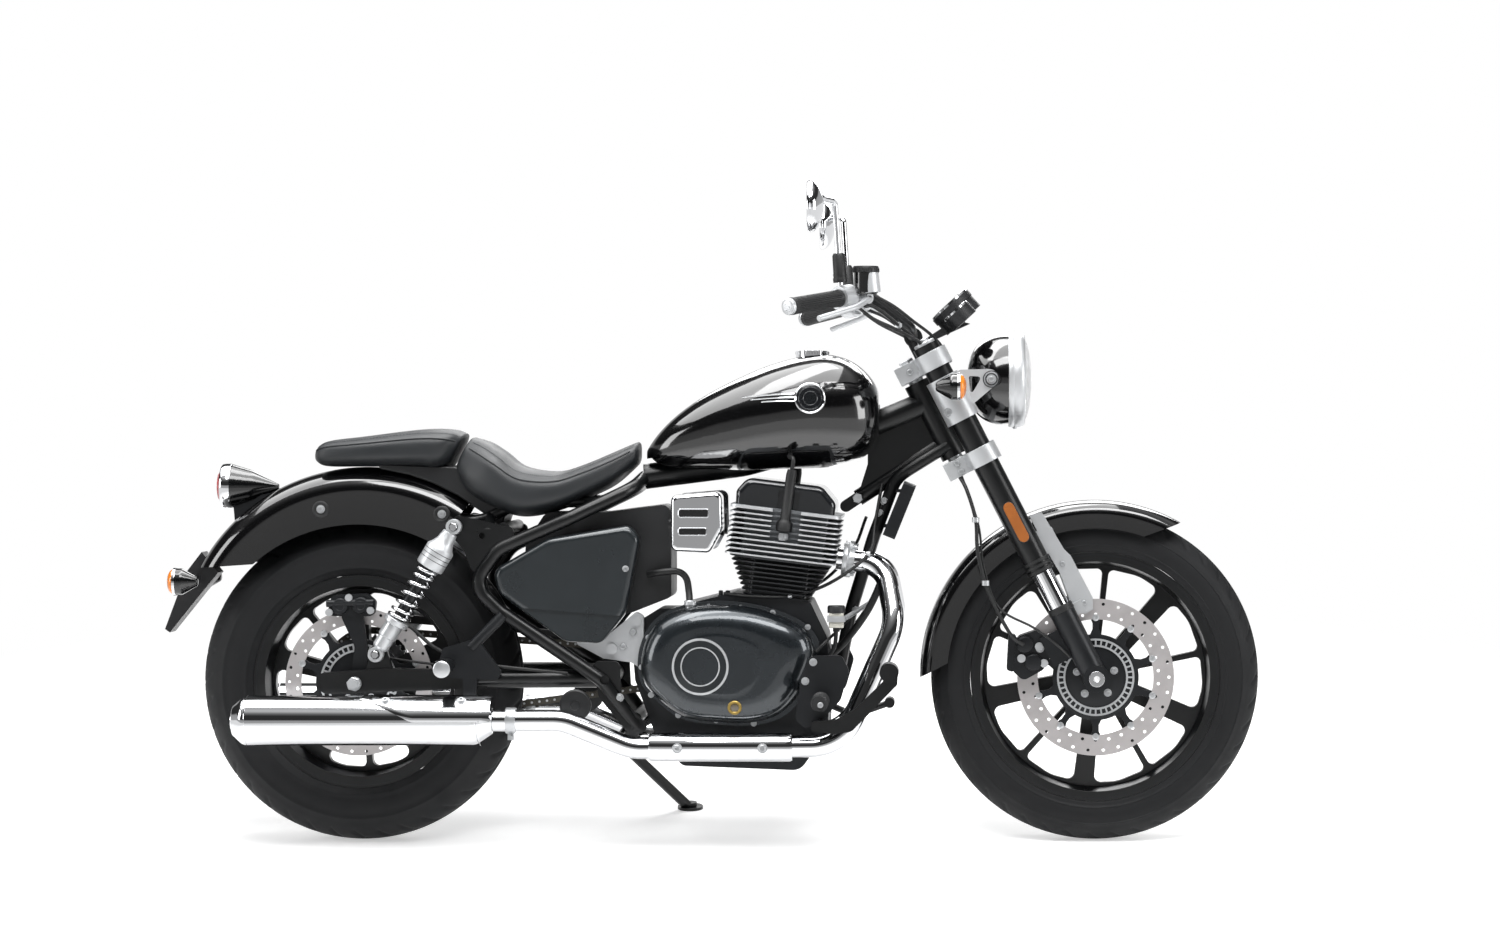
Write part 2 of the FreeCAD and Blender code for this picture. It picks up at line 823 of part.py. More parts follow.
def shock_absorbers():
    """Two rear shocks: eyes, damper, top shroud and coils."""
    y = float(s("shock_y"))
    foot = V(float(s("shock_foot_x")), y, float(s("shock_foot_z")))
    top = V(float(s("shock_top_x")), y, float(s("shock_top_z")))
    way = (top - foot).normalize()
    length = (top - foot).Length
    coil = float(s("shock_coil"))
    shapes = [
        Part.makeCylinder(15, 22, foot - V(0, 11, 0), Y_AXIS),
        Part.makeCylinder(15, 22, top - V(0, 11, 0), Y_AXIS),
        Part.makeCylinder(12, length, foot, way),
        Part.makeCylinder(18, 60, foot + way * 14, way),
        Part.makeCone(18, coil + 8, 14, top - way * 34, way * -1),
        Part.makeCylinder(coil + 8, 44, foot + way * (length - 92), way),
    ]
    turns = 8
    start = 76.0
    pitch = (length - 92 - start - 6) / (turns - 1)
    for i in range(turns):
        shapes.append(Part.makeTorus(coil, 4.8, foot + way * (start + i * pitch), way))
        shapes.append(Part.makeCylinder(coil - 1, 3, foot + way * (start + i * pitch - 1.5), way))
    eyes = [Part.makeCylinder(8.3, 60, point - V(0, 30, 0), Y_AXIS) for point in (foot, top)]
    shock = joined(shapes).cut(eyes[0]).cut(eyes[1])
    return node("shock_absorbers", both("shock_pair", feature("shock_shape", shock)))


# Engine


def engine_place():
    """Where the leaning cylinders are placed, with the local Z up along them."""
    return {
        "x": s("deck_x"),
        "y": 0,
        "z": s("deck_z"),
        "axis": (0, 1, 0),
        "angle": s("cylinder_tilt"),
    }


def crankcase():
    """The engine's lower half with its gearbox and sump."""
    case = body("crankcase")
    main = sketch(case, "XZ_Plane", 0, "main")
    outline(main, [(650, 160, 20), (900, 150, 30), (955, 230, 40), (960, 330, 40), (954, 420, 24),
                   (920, deck_height(920), 6), (764, deck_height(764), 5), (650, 482, 20)])
    pad(case, main, 2 * s("case_half"), midplane=True)
    rear = sketch(case, "XZ_Plane", 0, "gearbox")
    outline(rear, [(562, 330, 20), (552, 440, 20), (610, 476, 20), (700, 476, 10), (700, 200, 10), (610, 200, 20)])
    pad(case, rear, 2 * s("gearbox_half"), midplane=True)
    step = sketch(case, "XZ_Plane", s("gearbox_half"), "step")
    outline(step, [(590, 300, 30), (585, 440, 30), (620, 470, 20), (700, 470, 10), (700, 250, 10), (620, 250, 20)])
    pad(case, step, s("case_half") - s("gearbox_half"))
    return node("crankcase", case)


def domed_cover(points, centre, start, depth):
    """An engine cover on the right side: a flange, and a dome that narrows towards a centre."""
    flange = float(s("cover_flange"))
    base = smooth_ring([V(x, -start, z) for x, z in points])
    shapes = [Part.Face(base).extrude(V(0, -flange, 0))]
    wires = []
    for share, rise in ((0.95, 0), (0.945, 0.34), (0.9, 0.66), (0.8, 0.87), (0.62, 0.98), (0.45, 1)):
        y = -start - flange + 0.5 - rise * (depth - flange)
        ring_points = [V(centre[0] + (x - centre[0]) * share, y, centre[1] + (z - centre[1]) * share) for x, z in points]
        wires.append(smooth_ring(ring_points))
    shapes.append(loft(wires))
    return joined(shapes)


def clutch_cover():
    """The domed oval cover on the right side of the engine."""
    points = [(571, 357), (580, 415), (610, 460), (665, 486), (735, 494), (805, 488), (865, 471), (910, 448),
              (936, 416), (938, 378), (924, 338), (902, 296), (868, 262), (808, 243), (730, 244), (655, 258),
              (604, 297), (580, 324)]
    shape = domed_cover(points, (728, 368), float(s("case_half")) + 0.1, float(s("cover_depth")))
    return node("clutch_cover", feature("clutch_cover_shape", shape))


def alternator_cover():
    """The rounder domed cover on the left side of the engine."""
    points = [(664, 365), (676, 430), (725, 480), (800, 492), (868, 470), (912, 420), (924, 360), (906, 296),
              (860, 256), (800, 243), (738, 250), (686, 292)]
    shape = domed_cover(points, (796, 366), float(s("case_half")) + 0.1, float(s("cover_depth")) - 14)
    return node("alternator_cover", feature("alternator_cover_shape", shape.mirror(V(0, 0, 0), Y_AXIS)))


def sprocket_cover():
    """The plate over the front sprocket, on two bosses."""
    cover = body("sprocket_cover")
    inner_face = s("chain_line") + s("chain_width") / 2 + 4
    shape = sketch(cover, "XZ_Plane", -inner_face, "plate")
    outline(shape, [(550, 308, 14), (590, 290, 20), (646, 300, 20), (646, 400, 30), (600, 424, 30), (550, 424, 18)])
    pad(cover, shape, 14, backwards=True)
    bosses = sketch(cover, "XZ_Plane", -s("gearbox_half") - s("seat_clearance"), "bosses")
    circle(bosses, 633, 308, 7)
    circle(bosses, 570, 411, 7)
    pad(cover, bosses, inner_face - s("gearbox_half") - s("seat_clearance"), backwards=True)
    return node("sprocket_cover", cover)


def gearbox_plate():
    """The bare casting that shows behind the right side loop."""
    start = float(s("gearbox_half")) + float(s("seat_clearance"))
    corners = [(434, 411, 5), (500, 376, 8), (556, 368, 8), (581, 352, 6), (581, 462, 8), (566, 471, 7), (502, 418, 10)]
    plate = rounded_plate(corners, -start - 24, 24)
    boss = Part.makeCylinder(11, 30, V(517, -start, 396), V(0, -1, 0))
    second = Part.makeCylinder(9, 30, V(568, -start, 452), V(0, -1, 0))
    return node("gearbox_plate", feature("gearbox_plate_shape", joined([plate, boss, second])))


def finned_block(name, bottom, height, low_x, low_y, taper, core_x, core_y, pitch):
    """A block of cooling fins: a tapered block with grooves cut round a core."""
    block = body(name)
    base = sketch(block, "XY_Plane", bottom, "base")
    outline(base, [(-low_x, -low_y, 18), (low_x, -low_y, 18), (low_x, low_y, 18), (-low_x, low_y, 18)])
    pad(block, base, height, taper=taper)
    groove = sketch(block, "XY_Plane", bottom + s("fin_thickness"), "groove")
    far = 260
    outline(groove, [(-far, -far), (far, -far), (far, far), (-far, far)])
    outline(groove, [(-core_x, -core_y, 12), (core_x, -core_y, 12), (core_x, core_y, 12), (-core_x, core_y, 12)])
    first = pocket(block, groove, pitch - s("fin_thickness"), backwards=True)
    count = int(float(height) / float(pitch))
    linear(block, [first], groove, "N_Axis", pitch * (count - 1), count)
    return block


def cylinders():
    """The finned barrels, the finned head with its plug recesses, and the rocker cover."""
    barrels = finned_block("cylinder_block", as_size(0), s("barrel_height"), 66, 124, 26, 58, 112, s("fin_pitch"))
    node("cylinder_block", barrels, **engine_place())
    bottom = s("barrel_height") + 0.1
    head = finned_block("head_fins", bottom, s("head_height"), s("head_half_length"), 165, 0, 84, 136,
                        s("head_fin_pitch"))
    recesses = []
    for side in (-1, 1):
        recess = box(f"plug_recess_{len(recesses)}", 58, 40, s("head_height"))
        recesses.append(put(recess, -26, side * 161 - 20, bottom + 3 * s("head_fin_pitch") + s("fin_thickness")))
    node("cylinder_head", cut("head_with_recesses", head, fuse("plug_recesses", recesses)), **engine_place())
    base = float(s("barrel_height")) + float(s("head_height")) + 0.2
    half = float(s("rocker_half"))
    side = rounded_plate([(-104, base, 0), (-106, base + 26, 16), (-86, base + 55, 26), (66, base + 55, 28),
                          (98, base + 24, 22), (98, base, 0)], -half, 2 * half)
    edges = [edge for edge in side.Edges if edge.BoundBox.YLength < 0.01 and edge.BoundBox.ZMax > base + 1]
    cover = side.makeFillet(13, edges)
    for turn in (-1, 1):
        channel = Part.makeBox(44, 30, 38, V(-20, turn * (half + 1) - 15, base - 1))
        cover = cover.cut(channel)
    node("rocker_cover", feature("rocker_cover_shape", cover), **engine_place())


def throttle_covers():
    """The slotted covers over the intakes, one on each side."""
    face = float(s("throttle_face"))
    blank = rounded_plate([(640, 596, 14), (718, 592, 14), (744, 640, 18), (742, 716, 14), (640, 708, 14)], -face,
                          face - 84.3)
    edges = [edge for edge in blank.Edges if abs(edge.BoundBox.YMin + face) < 0.01 and edge.BoundBox.YLength < 0.01]
    cover = blank.makeFillet(9, edges)
    for corners in (((656, 664), (716, 664), (716, 680), (656, 680)), ((656, 628), (712, 628), (712, 642), (656, 642))):
        slot = rounded_plate([(x, z, 6.5) for x, z in corners], -face - 2, 22)
        cover = cover.cut(slot)
    return node("throttle_covers", both("throttle_pair", feature("throttle_cover", cover)))


def air_box():
    """The dark box between the side panels, with its two intake stubs."""
    housing = body("air_box")
    side = sketch(housing, "XZ_Plane", 0, "side")
    outline(side, [(330, 470, 20), (420, 430, 20), (560, 470, 20), (636, 500, 12), (636, 690, 20), (500, 672, 20),
                   (380, 672, 20), (340, 610, 20)])
    pad(housing, side, 2 * s("air_box_half"), midplane=True)
    stubs = sketch(housing, "YZ_Plane", 630, "stubs")
    for turn in (-1, 1):
        circle(stubs, turn * 60, 648, 24)
    pad(housing, stubs, 112)
    return node("air_box", housing)


def side_panels():
    """The painted covers between the side loops, domed at the edge, on posts from the dark box."""
    outer = float(s("panel_outer"))
    inner = float(s("panel_inner"))
    blank = rounded_plate([(278, 556, 26), (392, 622, 60), (556, 648, 24), (576, 620, 24), (548, 470, 60),
                           (498, 408, 26), (426, 412, 34), (292, 508, 40)], -outer, outer - inner)
    edges = [edge for edge in blank.Edges if abs(edge.BoundBox.YMin + outer) < 0.01 and edge.BoundBox.YLength < 0.01]
    panel = blank.makeFillet(float(s("panel_round")), edges)
    step = flat_solid([V(270, -outer - 1, 486), V(600, -outer - 1, 460), V(600, -outer - 1, 380), V(270, -outer - 1, 380)],
                      V(0, 6, 0))
    panel = panel.cut(step)
    start = float(s("air_box_half")) + float(s("seat_clearance"))
    posts = [Part.makeCylinder(8, inner - start + 1, V(x, -start, z), V(0, -1, 0))
             for x, z in ((360, 580), (540, 620), (480, 450))]
    return node("side_panels", both("panel_pair", feature("side_panel", joined([panel, *posts]))))


# Exhaust


def exhaust_headers():
    """The two header pipes, from the head round the front and back under the engine."""
    y = float(s("muffler_y"))
    z = float(s("muffler_z"))
    port = float(s("barrel_height")) + 12
    front = float(s("head_half_length")) + float(s("seat_clearance"))
    pipe = tube([engine_point(front, 70, port), engine_point(front + 98, 70, port), V(1092, 132, 448), V(985, 170, 204),
                 V(560, 172, 200), V(425, y, z), V(float(s("muffler_front")) + float(s("seat_clearance")), y, z)],
                [62, 110, 95, 110, 80], float(s("header_radius")))
    return node("exhaust_headers", both("header_pair", feature("header_shape", pipe)))


def mufflers():
    """The two silencers with their turned ends and open outlets."""
    pipe = body("muffler")
    length = s("muffler_front") - s("muffler_back")
    radius = s("muffler_radius")
    half = sketch(pipe, "XY_Plane", 0, "half")
    outline(half, [(0, 0), (length, 0), (length, 26, 4), (length - 34, radius, 26), (22, radius, 20), (0, 30, 6)])
    revolve(pipe, half, "H_Axis")
    outlet = sketch(pipe, "YZ_Plane", 0, "outlet")
    circle(outlet, 0, 0, 20)
    pocket(pipe, outlet, 60, backwards=True)
    put(pipe, s("muffler_back"), s("muffler_y"), s("muffler_z"))
    return node("mufflers", both("muffler_pair", pipe))


# Tank, seats and fenders


def fuel_tank():
    """The tank and the round filler cap that is let into its top."""
    KEPT["tank"] = tank_shape()
    node("fuel_tank", feature("fuel_tank_shape", KEPT["tank"]))
    cap = Part.makeCylinder(34, 26, V(920, 0, 976), Z_AXIS).cut(KEPT["tank"])
    cap = max(cap.Solids, key=lambda solid: solid.CenterOfMass.z)
    node("filler_cap", feature("filler_cap_shape", cap))


def rider_seat():
    """The rider's scooped seat, hollow underneath where it sits over the rails."""
    wide = float(s("seat_half_width"))
    wires = [
        station(206, 757, 826, 84, 2.8, 0.5),
        station(236, 714, 815, 112, 2.9, 0.45),
        station(276, 684, 795, wide - 8, 3, 0.25),
        station(330, 660, 765, wide, 3),
        station(400, 672, 755, wide - 4, 3),
        station(456, 696, 770, wide - 16, 3),
        station(515, 724, 795, 96, 2.8),
        station(568, 772, 818, 62, 2.5),
    ]
    top = float(s("rail_height")) + float(s("rail_radius")) + float(s("seat_clearance"))
    inside = float(s("rear_fender_half")) + 9
    hollow = Part.makeBox(340, 2 * inside, 200, V(180, -inside, top - 200))
    seat = loft(wires).cut(hollow)
    return node("rider_seat", feature("rider_seat_shape", seat))


def pillion_seat():
    """The passenger's pad on the rear fender."""
    wide = float(s("pillion_half_width"))
    base = crown_height(float(s("rear_fender_x"))) + float(s("seat_clearance"))
    wires = [
        station(-92, base + 10, base + 34, wide - 40, 2.6),
        station(-70, base + 1, base + 52, wide - 14, 3),
        station(6, base, base + 62, wide, 3),
        station(120, base - 2, base + 76, wide, 3),
        station(168, base - 6, base + 76, wide - 6, 3, 0.4),
        station(196, base - 2, base + 66, wide - 30, 2.8, 0.5),
    ]
    seat = loft(wires).cut(KEPT["fender"])
    return node("pillion_seat", feature("pillion_seat_shape", max(seat.Solids, key=lambda solid: solid.Volume)))


def fender_edge(radius, half, depth, crown):
    """One side of a fender's section, from its free edge up and over to the middle line."""
    points = []
    for i in range(7):
        angle = math.radians(15 * i)
        across = half * abs(math.cos(angle)) ** (2 / 2.8)
        rise = crown * abs(math.sin(angle)) ** (2 / 2.8)
        points.append(V(radius - crown + rise, across, 0))
    points[-1] = V(radius, 0, 0)
    return V(radius - depth, half, 0), points


def fender_shell(centre, radius, half, depth, start, sweep, crown, cuts):
    """A rounded channel turned about a cross axis through a sweep, with slanted ends."""
    wall = float(s("fender_wall"))
    edges = []
    feet = []
    for shrink in (0, wall):
        foot, points = fender_edge(radius - shrink, half - shrink, depth - shrink, crown - shrink)
        over = points + [V(p.x, -p.y, 0) for p in reversed(points[:-1])]
        curve = Part.BSplineCurve()
        curve.interpolate(over)
        other = V(foot.x, -foot.y, 0)
        edges += [Part.LineSegment(foot, over[0]).toShape(), curve.toShape(), Part.LineSegment(over[-1], other).toShape()]
        feet.append((foot, other))
    edges += [Part.LineSegment(feet[0][0], feet[1][0]).toShape(), Part.LineSegment(feet[0][1], feet[1][1]).toShape()]
    profile = Part.Face(Part.Wire(Part.__sortEdges__(edges)))
    profile.rotate(V(0, 0, 0), Y_AXIS, -start)
    profile.translate(centre)
    shell = profile.revolve(centre, V(0, -1, 0), sweep)
    for end in cuts:
        corners = []
        for reach, degrees in end:
            angle = math.radians(degrees)
            corners.append(centre + V(reach * math.cos(angle), -half - 5, reach * math.sin(angle)))
        shell = shell.cut(flat_solid(corners, V(0, 2 * half + 10, 0)))
    return shell


def rear_fender():
    """The deep rear fender."""
    centre = V(float(s("rear_fender_x")), 0, float(s("rear_fender_z")))
    radius = float(s("rear_fender_radius"))
    depth = 150
    tail = ((radius + 4, 152.6), (radius - depth - 20, 113.7), (radius - depth - 20, 165), (radius + 4, 165))
    shell = fender_shell(centre, radius, float(s("rear_fender_half")), depth, 55, 99, 54, (tail,))
    opening = Part.makeCylinder(float(s("rear_tyre_radius")) - 6, 300, V(0, -150, float(REAR_AXLE_Z)), Y_AXIS)
    KEPT["fender"] = shell.cut(opening)
    return node("rear_fender", feature("rear_fender_shape", KEPT["fender"]))


def front_fender():
    """The front fender, close round the tyre."""
    centre = V(float(s("wheelbase")), 0, float(FRONT_AXLE_Z))
    radius = float(s("front_fender_radius"))
    inside = radius - 70
    front = ((radius + 4, 60.2), (inside, 74), (inside, 50), (radius + 4, 50))
    back = ((radius + 4, 180.8), (inside, 173), (inside, 190), (radius + 4, 190))
    shell = fender_shell(centre, radius, float(s("front_fender_half")), 58, 60, 121, 32, (front, back))
    return node("front_fender", feature("front_fender_shape", shell))


# Lamps and small pieces on the frame


def tail_lamp():
    """The bullet-shaped tail lamp and the short pedestal that it stands on."""
    lamp = body("tail_lamp_bullet")
    half = sketch(lamp, "XY_Plane", 0, "half")
    outline(half, [(-12, 0), (-12, 30, 12), (0, 45, 3), (14, 45, 8), (56, 32, 60), (108, 5, 4), (108, 0)])
    revolve(lamp, half, "H_Axis")
    put(lamp, -284, 0, 724)
    node("tail_lamp", group("tail_lamp_set", [lamp]))
    foot = feature("tail_lamp_block", flat_solid([V(-262, -15, 620), V(-180, -15, 650), V(-186, -15, 712),
                                                  V(-240, -15, 700), V(-268, -15, 690)], V(0, 30, 0)))
    fender = feature("tail_lamp_seat", KEPT["fender"].copy())
    shape = cut("tail_lamp_foot_shape", foot, fuse("tail_lamp_around", [lamp, fender]))
    DOC.recompute()
    outer = max(shape.Shape.Solids, key=lambda solid: solid.CenterOfMass.z)
    return node("tail_lamp_foot", feature("tail_lamp_foot_solid", outer))


def indicator_shell(name):
    """One bowl-shaped flasher, its lens facing along its own minus X."""
    shell = body(name)
    half = sketch(shell, "XY_Plane", 0, "half")
    outline(half, [(-12, 0), (-12, 18, 8), (0, 27, 2), (16, 27, 12), (48, 8, 7), (48, 0)])
    revolve(shell, half, "H_Axis")
    return shell


def rear_indicators():
    """The two rear flashers on their stems."""
    shell = put(indicator_shell("rear_flasher"), -366, 128, 533)
    start = float(s("plate_bar_half")) + float(s("seat_clearance"))
    stem = feature("rear_flasher_stem", tube([V(-344, start, 536), V(-344, 106, 534)], [], 8))
    return node("rear_indicators", both("rear_flasher_pair", fuse("rear_flasher_set", [shell, stem])))


def plate_bracket():
    """The bracket behind the rear fender for the flashers and the number plate."""
    half = float(s("plate_bar_half"))
    arm = flat_solid([V(-330, -30, 590), V(-296, -30, 548), V(-335, -30, 500), V(-395, -30, 425), V(-405, -30, 432),
                      V(-362, -30, 548)], V(0, 60, 0))
    bar = tube([V(-344, -half, 536), V(-344, half, 536)], [], 8)
    plate = flat_solid([V(-392, -90, 520), V(-412, -90, 392), V(-415, -90, 392), V(-395, -90, 520)], V(0, 180, 0))
    shape = joined([arm, bar, plate]).cut(KEPT["fender"])
    return node("plate_bracket", feature("plate_bracket_shape", max(shape.Solids, key=lambda solid: solid.Volume)))


def chain_centres():
    """The two sprocket centres: rear and front."""
    pitch = float(s("chain_pitch"))
    links = float(s("chain_links"))
    rear = float(s("rear_teeth"))
    front = float(s("front_teeth"))
    rest = links - (rear + front) / 2
    spread = ((rear - front) / (2 * math.pi)) ** 2
    distance = pitch / 4 * (rest + math.sqrt(rest * rest - 8 * spread))
    rise = float(s("front_sprocket_rise"))
    back = V(0, 0, float(REAR_AXLE_Z))
    return back, back + V(math.sqrt(distance * distance - rise * rise), 0, rise)


def chain_band(offset):
    """A closed wire at an offset from the chain's pitch line, at Y zero."""
    back, ahead = chain_centres()
    big = float(REAR_SPROCKET_RADIUS) + offset
    small = float(FRONT_SPROCKET_RADIUS) + offset
    line = ahead - back
    slope = math.atan2(line.z, line.x)
    lean = math.asin((big - small) / line.Length)
    up = V(math.cos(slope + math.pi / 2 - lean), 0, math.sin(slope + math.pi / 2 - lean))
    down = V(math.cos(slope - math.pi / 2 + lean), 0, math.sin(slope - math.pi / 2 + lean))
    way = line.normalize()
    edges = [
        Part.LineSegment(back + up * big, ahead + up * small).toShape(),
        Part.Arc(ahead + up * small, ahead + way * small, ahead + down * small).toShape(),
        Part.LineSegment(ahead + down * small, back + down * big).toShape(),
        Part.Arc(back + down * big, back - way * big, back + up * big).toShape(),
    ]
    return Part.Wire(edges)


def drive_chain():
    """The closed loop of the drive chain."""
    half = float(s("chain_plate_half"))
    band = Part.Face(chain_band(half)).cut(Part.Face(chain_band(-half)))
    width = float(s("chain_width"))
    band.translate(V(0, float(s("chain_line")) - width / 2, 0))
    return node("drive_chain", feature("drive_chain_shape", band.extrude(V(0, width, 0))))


def chain_guard():
    """The guard over the chain's upper run, on a tab from the swingarm."""
    y = float(s("chain_line")) - 14
    guard = rounded_plate([(-20, 447, 4), (300, 419, 20), (395, 410, 4), (395, 421, 4), (300, 433, 20),
                           (60, 457, 20), (-20, 459, 4)], y, 30)
    top = 356.6 + float(s("seat_clearance"))
    tab = Part.makeBox(30, 4, 78, V(150, y + 26, top))
    return node("chain_guard", feature("chain_guard_shape", joined([guard, tab])))


def rear_caliper():
    """The rear brake's caliper on its arm."""
    inner = -float(s("rear_hub_half")) - float(s("seat_clearance"))
    outer = inner - float(s("disc_thickness"))
    gap = float(s("brake_gap"))
    arm = rounded_plate([(-17, 312, 10), (17, 312, 10), (20, 400, 20), (10, 470, 10), (-38, 470, 10), (-6, 400, 20)],
                        outer - gap - 14, 9)
    near = rounded_plate([(-62, 462, 12), (34, 462, 12), (38, 492, 10), (20, 508, 10), (-52, 504, 12)],
                         outer - gap - 20, 20)
    far = rounded_plate([(-52, 470, 10), (26, 470, 10), (26, 496, 8), (-48, 496, 8)], inner + gap, 10)
    bridge = rounded_plate([(-46, 484, 4), (22, 484, 4), (18, 506, 8), (-44, 502, 8)], outer - gap - 10,
                           inner - outer + 2 * gap + 16)
    disc_room = Part.makeCylinder(float(s("rear_disc_radius")) + gap, 5 + 2 * gap,
                                  V(0, outer - gap, float(REAR_AXLE_Z)), Y_AXIS)
    axle_room = Part.makeCylinder(float(s("axle_radius")) + 0.3, 200, V(0, -200, float(REAR_AXLE_Z)), Y_AXIS)
    caliper = joined([arm, near, far, bridge.cut(disc_room)]).cut(axle_room)
    return node("rear_caliper", feature("rear_caliper_shape", caliper))


def foot_rests():
    """The rider's plates and pegs, on bosses from the crankcase."""
    start = float(s("case_half")) + float(s("seat_clearance"))
    plate = rounded_plate([(893, 258, 12), (913, 243, 10), (943, 254, 14), (984, 299, 24), (1001, 358, 18),
                           (986, 389, 14), (921, 387, 18), (904, 340, 40)], 199, 9)
    boss = tube([V(938, start, 300), V(938, 204, 300)], [], 12)
    peg = tube([V(945, 204, 300), V(945, 318, 298)], [], 15)
    rest = joined([plate, boss, peg])
    return node("foot_rests", both("foot_rest_pair", feature("foot_rest", rest)))


def foot_controls():
    """The brake pedal on the right and the gear lever on the left."""
    face = 208 + float(s("seat_clearance"))
    hub = tube([V(945, -face, 250), V(945, -240, 250)], [], 11)
    arm = rounded_plate([(926, 240, 6), (968, 234, 8), (1006, 238, 20), (1098, 332, 8), (1100, 372, 12),
                         (1070, 372, 14), (1062, 352, 10), (1072, 341, 6), (1014, 284, 30), (974, 262, 20),
                         (928, 260, 8)], -246, 12)
    pad_block = tube([V(1082, -222, 358), V(1082, -284, 358)], [], 19)
    pedal = joined([hub, arm, pad_block])
    axle = tube([V(940, face, 262), V(940, 236, 262)], [], 10)
    lever = tube([V(940, 228, 262), V(1000, 236, 236), V(1075, 240, 262)], [60], 7)
    toe = tube([V(1075, 232, 262), V(1075, 284, 262)], [], 11)
    return node("foot_controls", group("foot_control_set", [
        feature("brake_pedal_shape", pedal),
        feature("gear_lever_shape", joined([axle, lever, toe])),
    ]))


def pillion_rests():
    """The passenger's pegs on their brackets, which also hang the silencers."""
    bracket = rounded_plate([(172, 366, 14), (180, 400, 10), (250, 420, 12), (300, 352, 12), (290, 336, 6),
                             (190, 340, 14)], 146, 12)
    strut = tube([V(236, 152, 400), V(300, 140, 466)], [], 11)
    peg = tube([V(192, 156, 366), V(192, 262, 372)], [], 13)
    hanger = rounded_plate([(220, 350, 3), (250, 350, 3), (246, 270, 3), (224, 270, 3)], 150, 8)
    silencer = Part.makeCylinder(float(s("muffler_radius")) + float(s("seat_clearance")), 500,
                                 V(0, float(s("muffler_y")), float(s("muffler_z"))), X_AXIS)
    rest = joined([bracket, strut, peg, hanger]).cut(silencer).cut(KEPT["frame"])
    rest = max(rest.Solids, key=lambda solid: solid.Volume)
    return node("pillion_rests", both("pillion_rest_pair", feature("pillion_rest", rest)))


def oil_cooler():
    """The finned cooler in front of the down tubes, on two tabs."""
    cooler = body("oil_cooler_core")
    core = sketch(cooler, "YZ_Plane", 0, "core")
    outline(core, [(-90, 0, 4), (90, 0, 4), (90, 116, 4), (-90, 116, 4)])
    pad(cooler, core, 26, midplane=True)
    fins = sketch(cooler, "YZ_Plane", 6, "fins")
    outline(fins, [(-76, 8), (76, 8), (76, 12), (-76, 12)])
    first = pocket(cooler, fins, 12, backwards=True)
    linear(cooler, [first], fins, "V_Axis", 94, 11)
    put(cooler, 1078, 0, 622, (0, 1, 0), 22)
    tabs = []
    for x, z in ((1036, 640), (1060, 712)):
        for side in (-1, 1):
            tab = Part.makeBox(60, 8, 6, V(x, side * float(s("down_tube_y")) - 4, z)).cut(KEPT["frame"])
            front = max(tab.Solids, key=lambda solid: solid.CenterOfMass.x)
            tabs.append(feature(f"cooler_tab_{len(tabs)}", front))
    return node("oil_cooler", fuse("oil_cooler_set", [cooler, *tabs]))


# Steering


def fork_clamps():
    """The upper and lower clamps with the steering stem."""
    y = float(s("fork_half_spacing"))
    offset = -float(s("steer_offset"))
    low = float(s("lower_clamp_w"))
    high = float(s("upper_clamp_w"))
    thick = float(s("clamp_thickness"))
    shapes = []
    for w in (low - thick / 2, high - thick / 2):
        bridge = Part.makeBox(72, 2 * y, thick, V(offset - 30, -y, w))
        shapes.append(bridge)
        for side in (-1, 1):
            shapes.append(Part.makeCylinder(float(s("fork_tube_radius")) + 9, thick, V(0, side * y, w), Z_AXIS))
    shapes.append(Part.makeCylinder(float(s("stem_radius")), high - low, V(offset, 0, low), Z_AXIS))
    clamp = joined(shapes)
    for side in (-1, 1):
        bore = Part.makeCylinder(float(s("fork_tube_radius")) + 0.1, high, V(0, side * y, low - 100), Z_AXIS)
        clamp = clamp.cut(bore)
    return node("fork_clamps", feature("fork_clamps_shape", clamp), **fork_place())


def fork_legs():
    """The upper tubes, the bright sliders and the castings that hold the axle."""
    y = s("fork_half_spacing")
    top = s("upper_clamp_w") + 34
    upper = cylinder("fork_tube_one", s("fork_tube_radius"), top - s("fork_bottom_w"))
    put(upper, 0, y, s("fork_bottom_w"))
    node("fork_tubes", both("fork_tube_pair", upper), **fork_place())
    slider = cylinder("slider_one", s("slider_radius"), s("fork_bottom_w") - s("casting_top_w") - 0.2)
    put(slider, 0, y, s("casting_top_w") + 0.1)
    node("fork_sliders", both("slider_pair", slider), **fork_place())
    middle = float(y)
    leg = Part.makeCone(25, 26, float(s("casting_top_w")) + 6, V(0, middle, -6), Z_AXIS)
    eye = Part.makeCylinder(27, 50, V(0, middle - 25, 0), Y_AXIS)
    bore = Part.makeCylinder(float(s("axle_radius")) + float(s("axle_bore_gap")), 80, V(0, middle - 40, 0), Y_AXIS)
    heads = Part.makeCylinder(16.3, 40, V(0, middle + float(s("front_axle_over")) - 5.3, 0), Y_AXIS)
    casting = joined([leg, eye]).cut(bore).cut(heads)
    start = caliper_face() + float(s("seat_clearance"))
    ear = Part.makeBox(50, 12, 64, V(-66, start, 60))
    right = joined([casting, ear]).mirror(V(0, 0, 0), Y_AXIS)
    KEPT["castings"] = [casting, right]
    node("fork_castings", group("casting_pair", [feature("casting_left", casting), feature("casting_right", right)]),
         **fork_place())


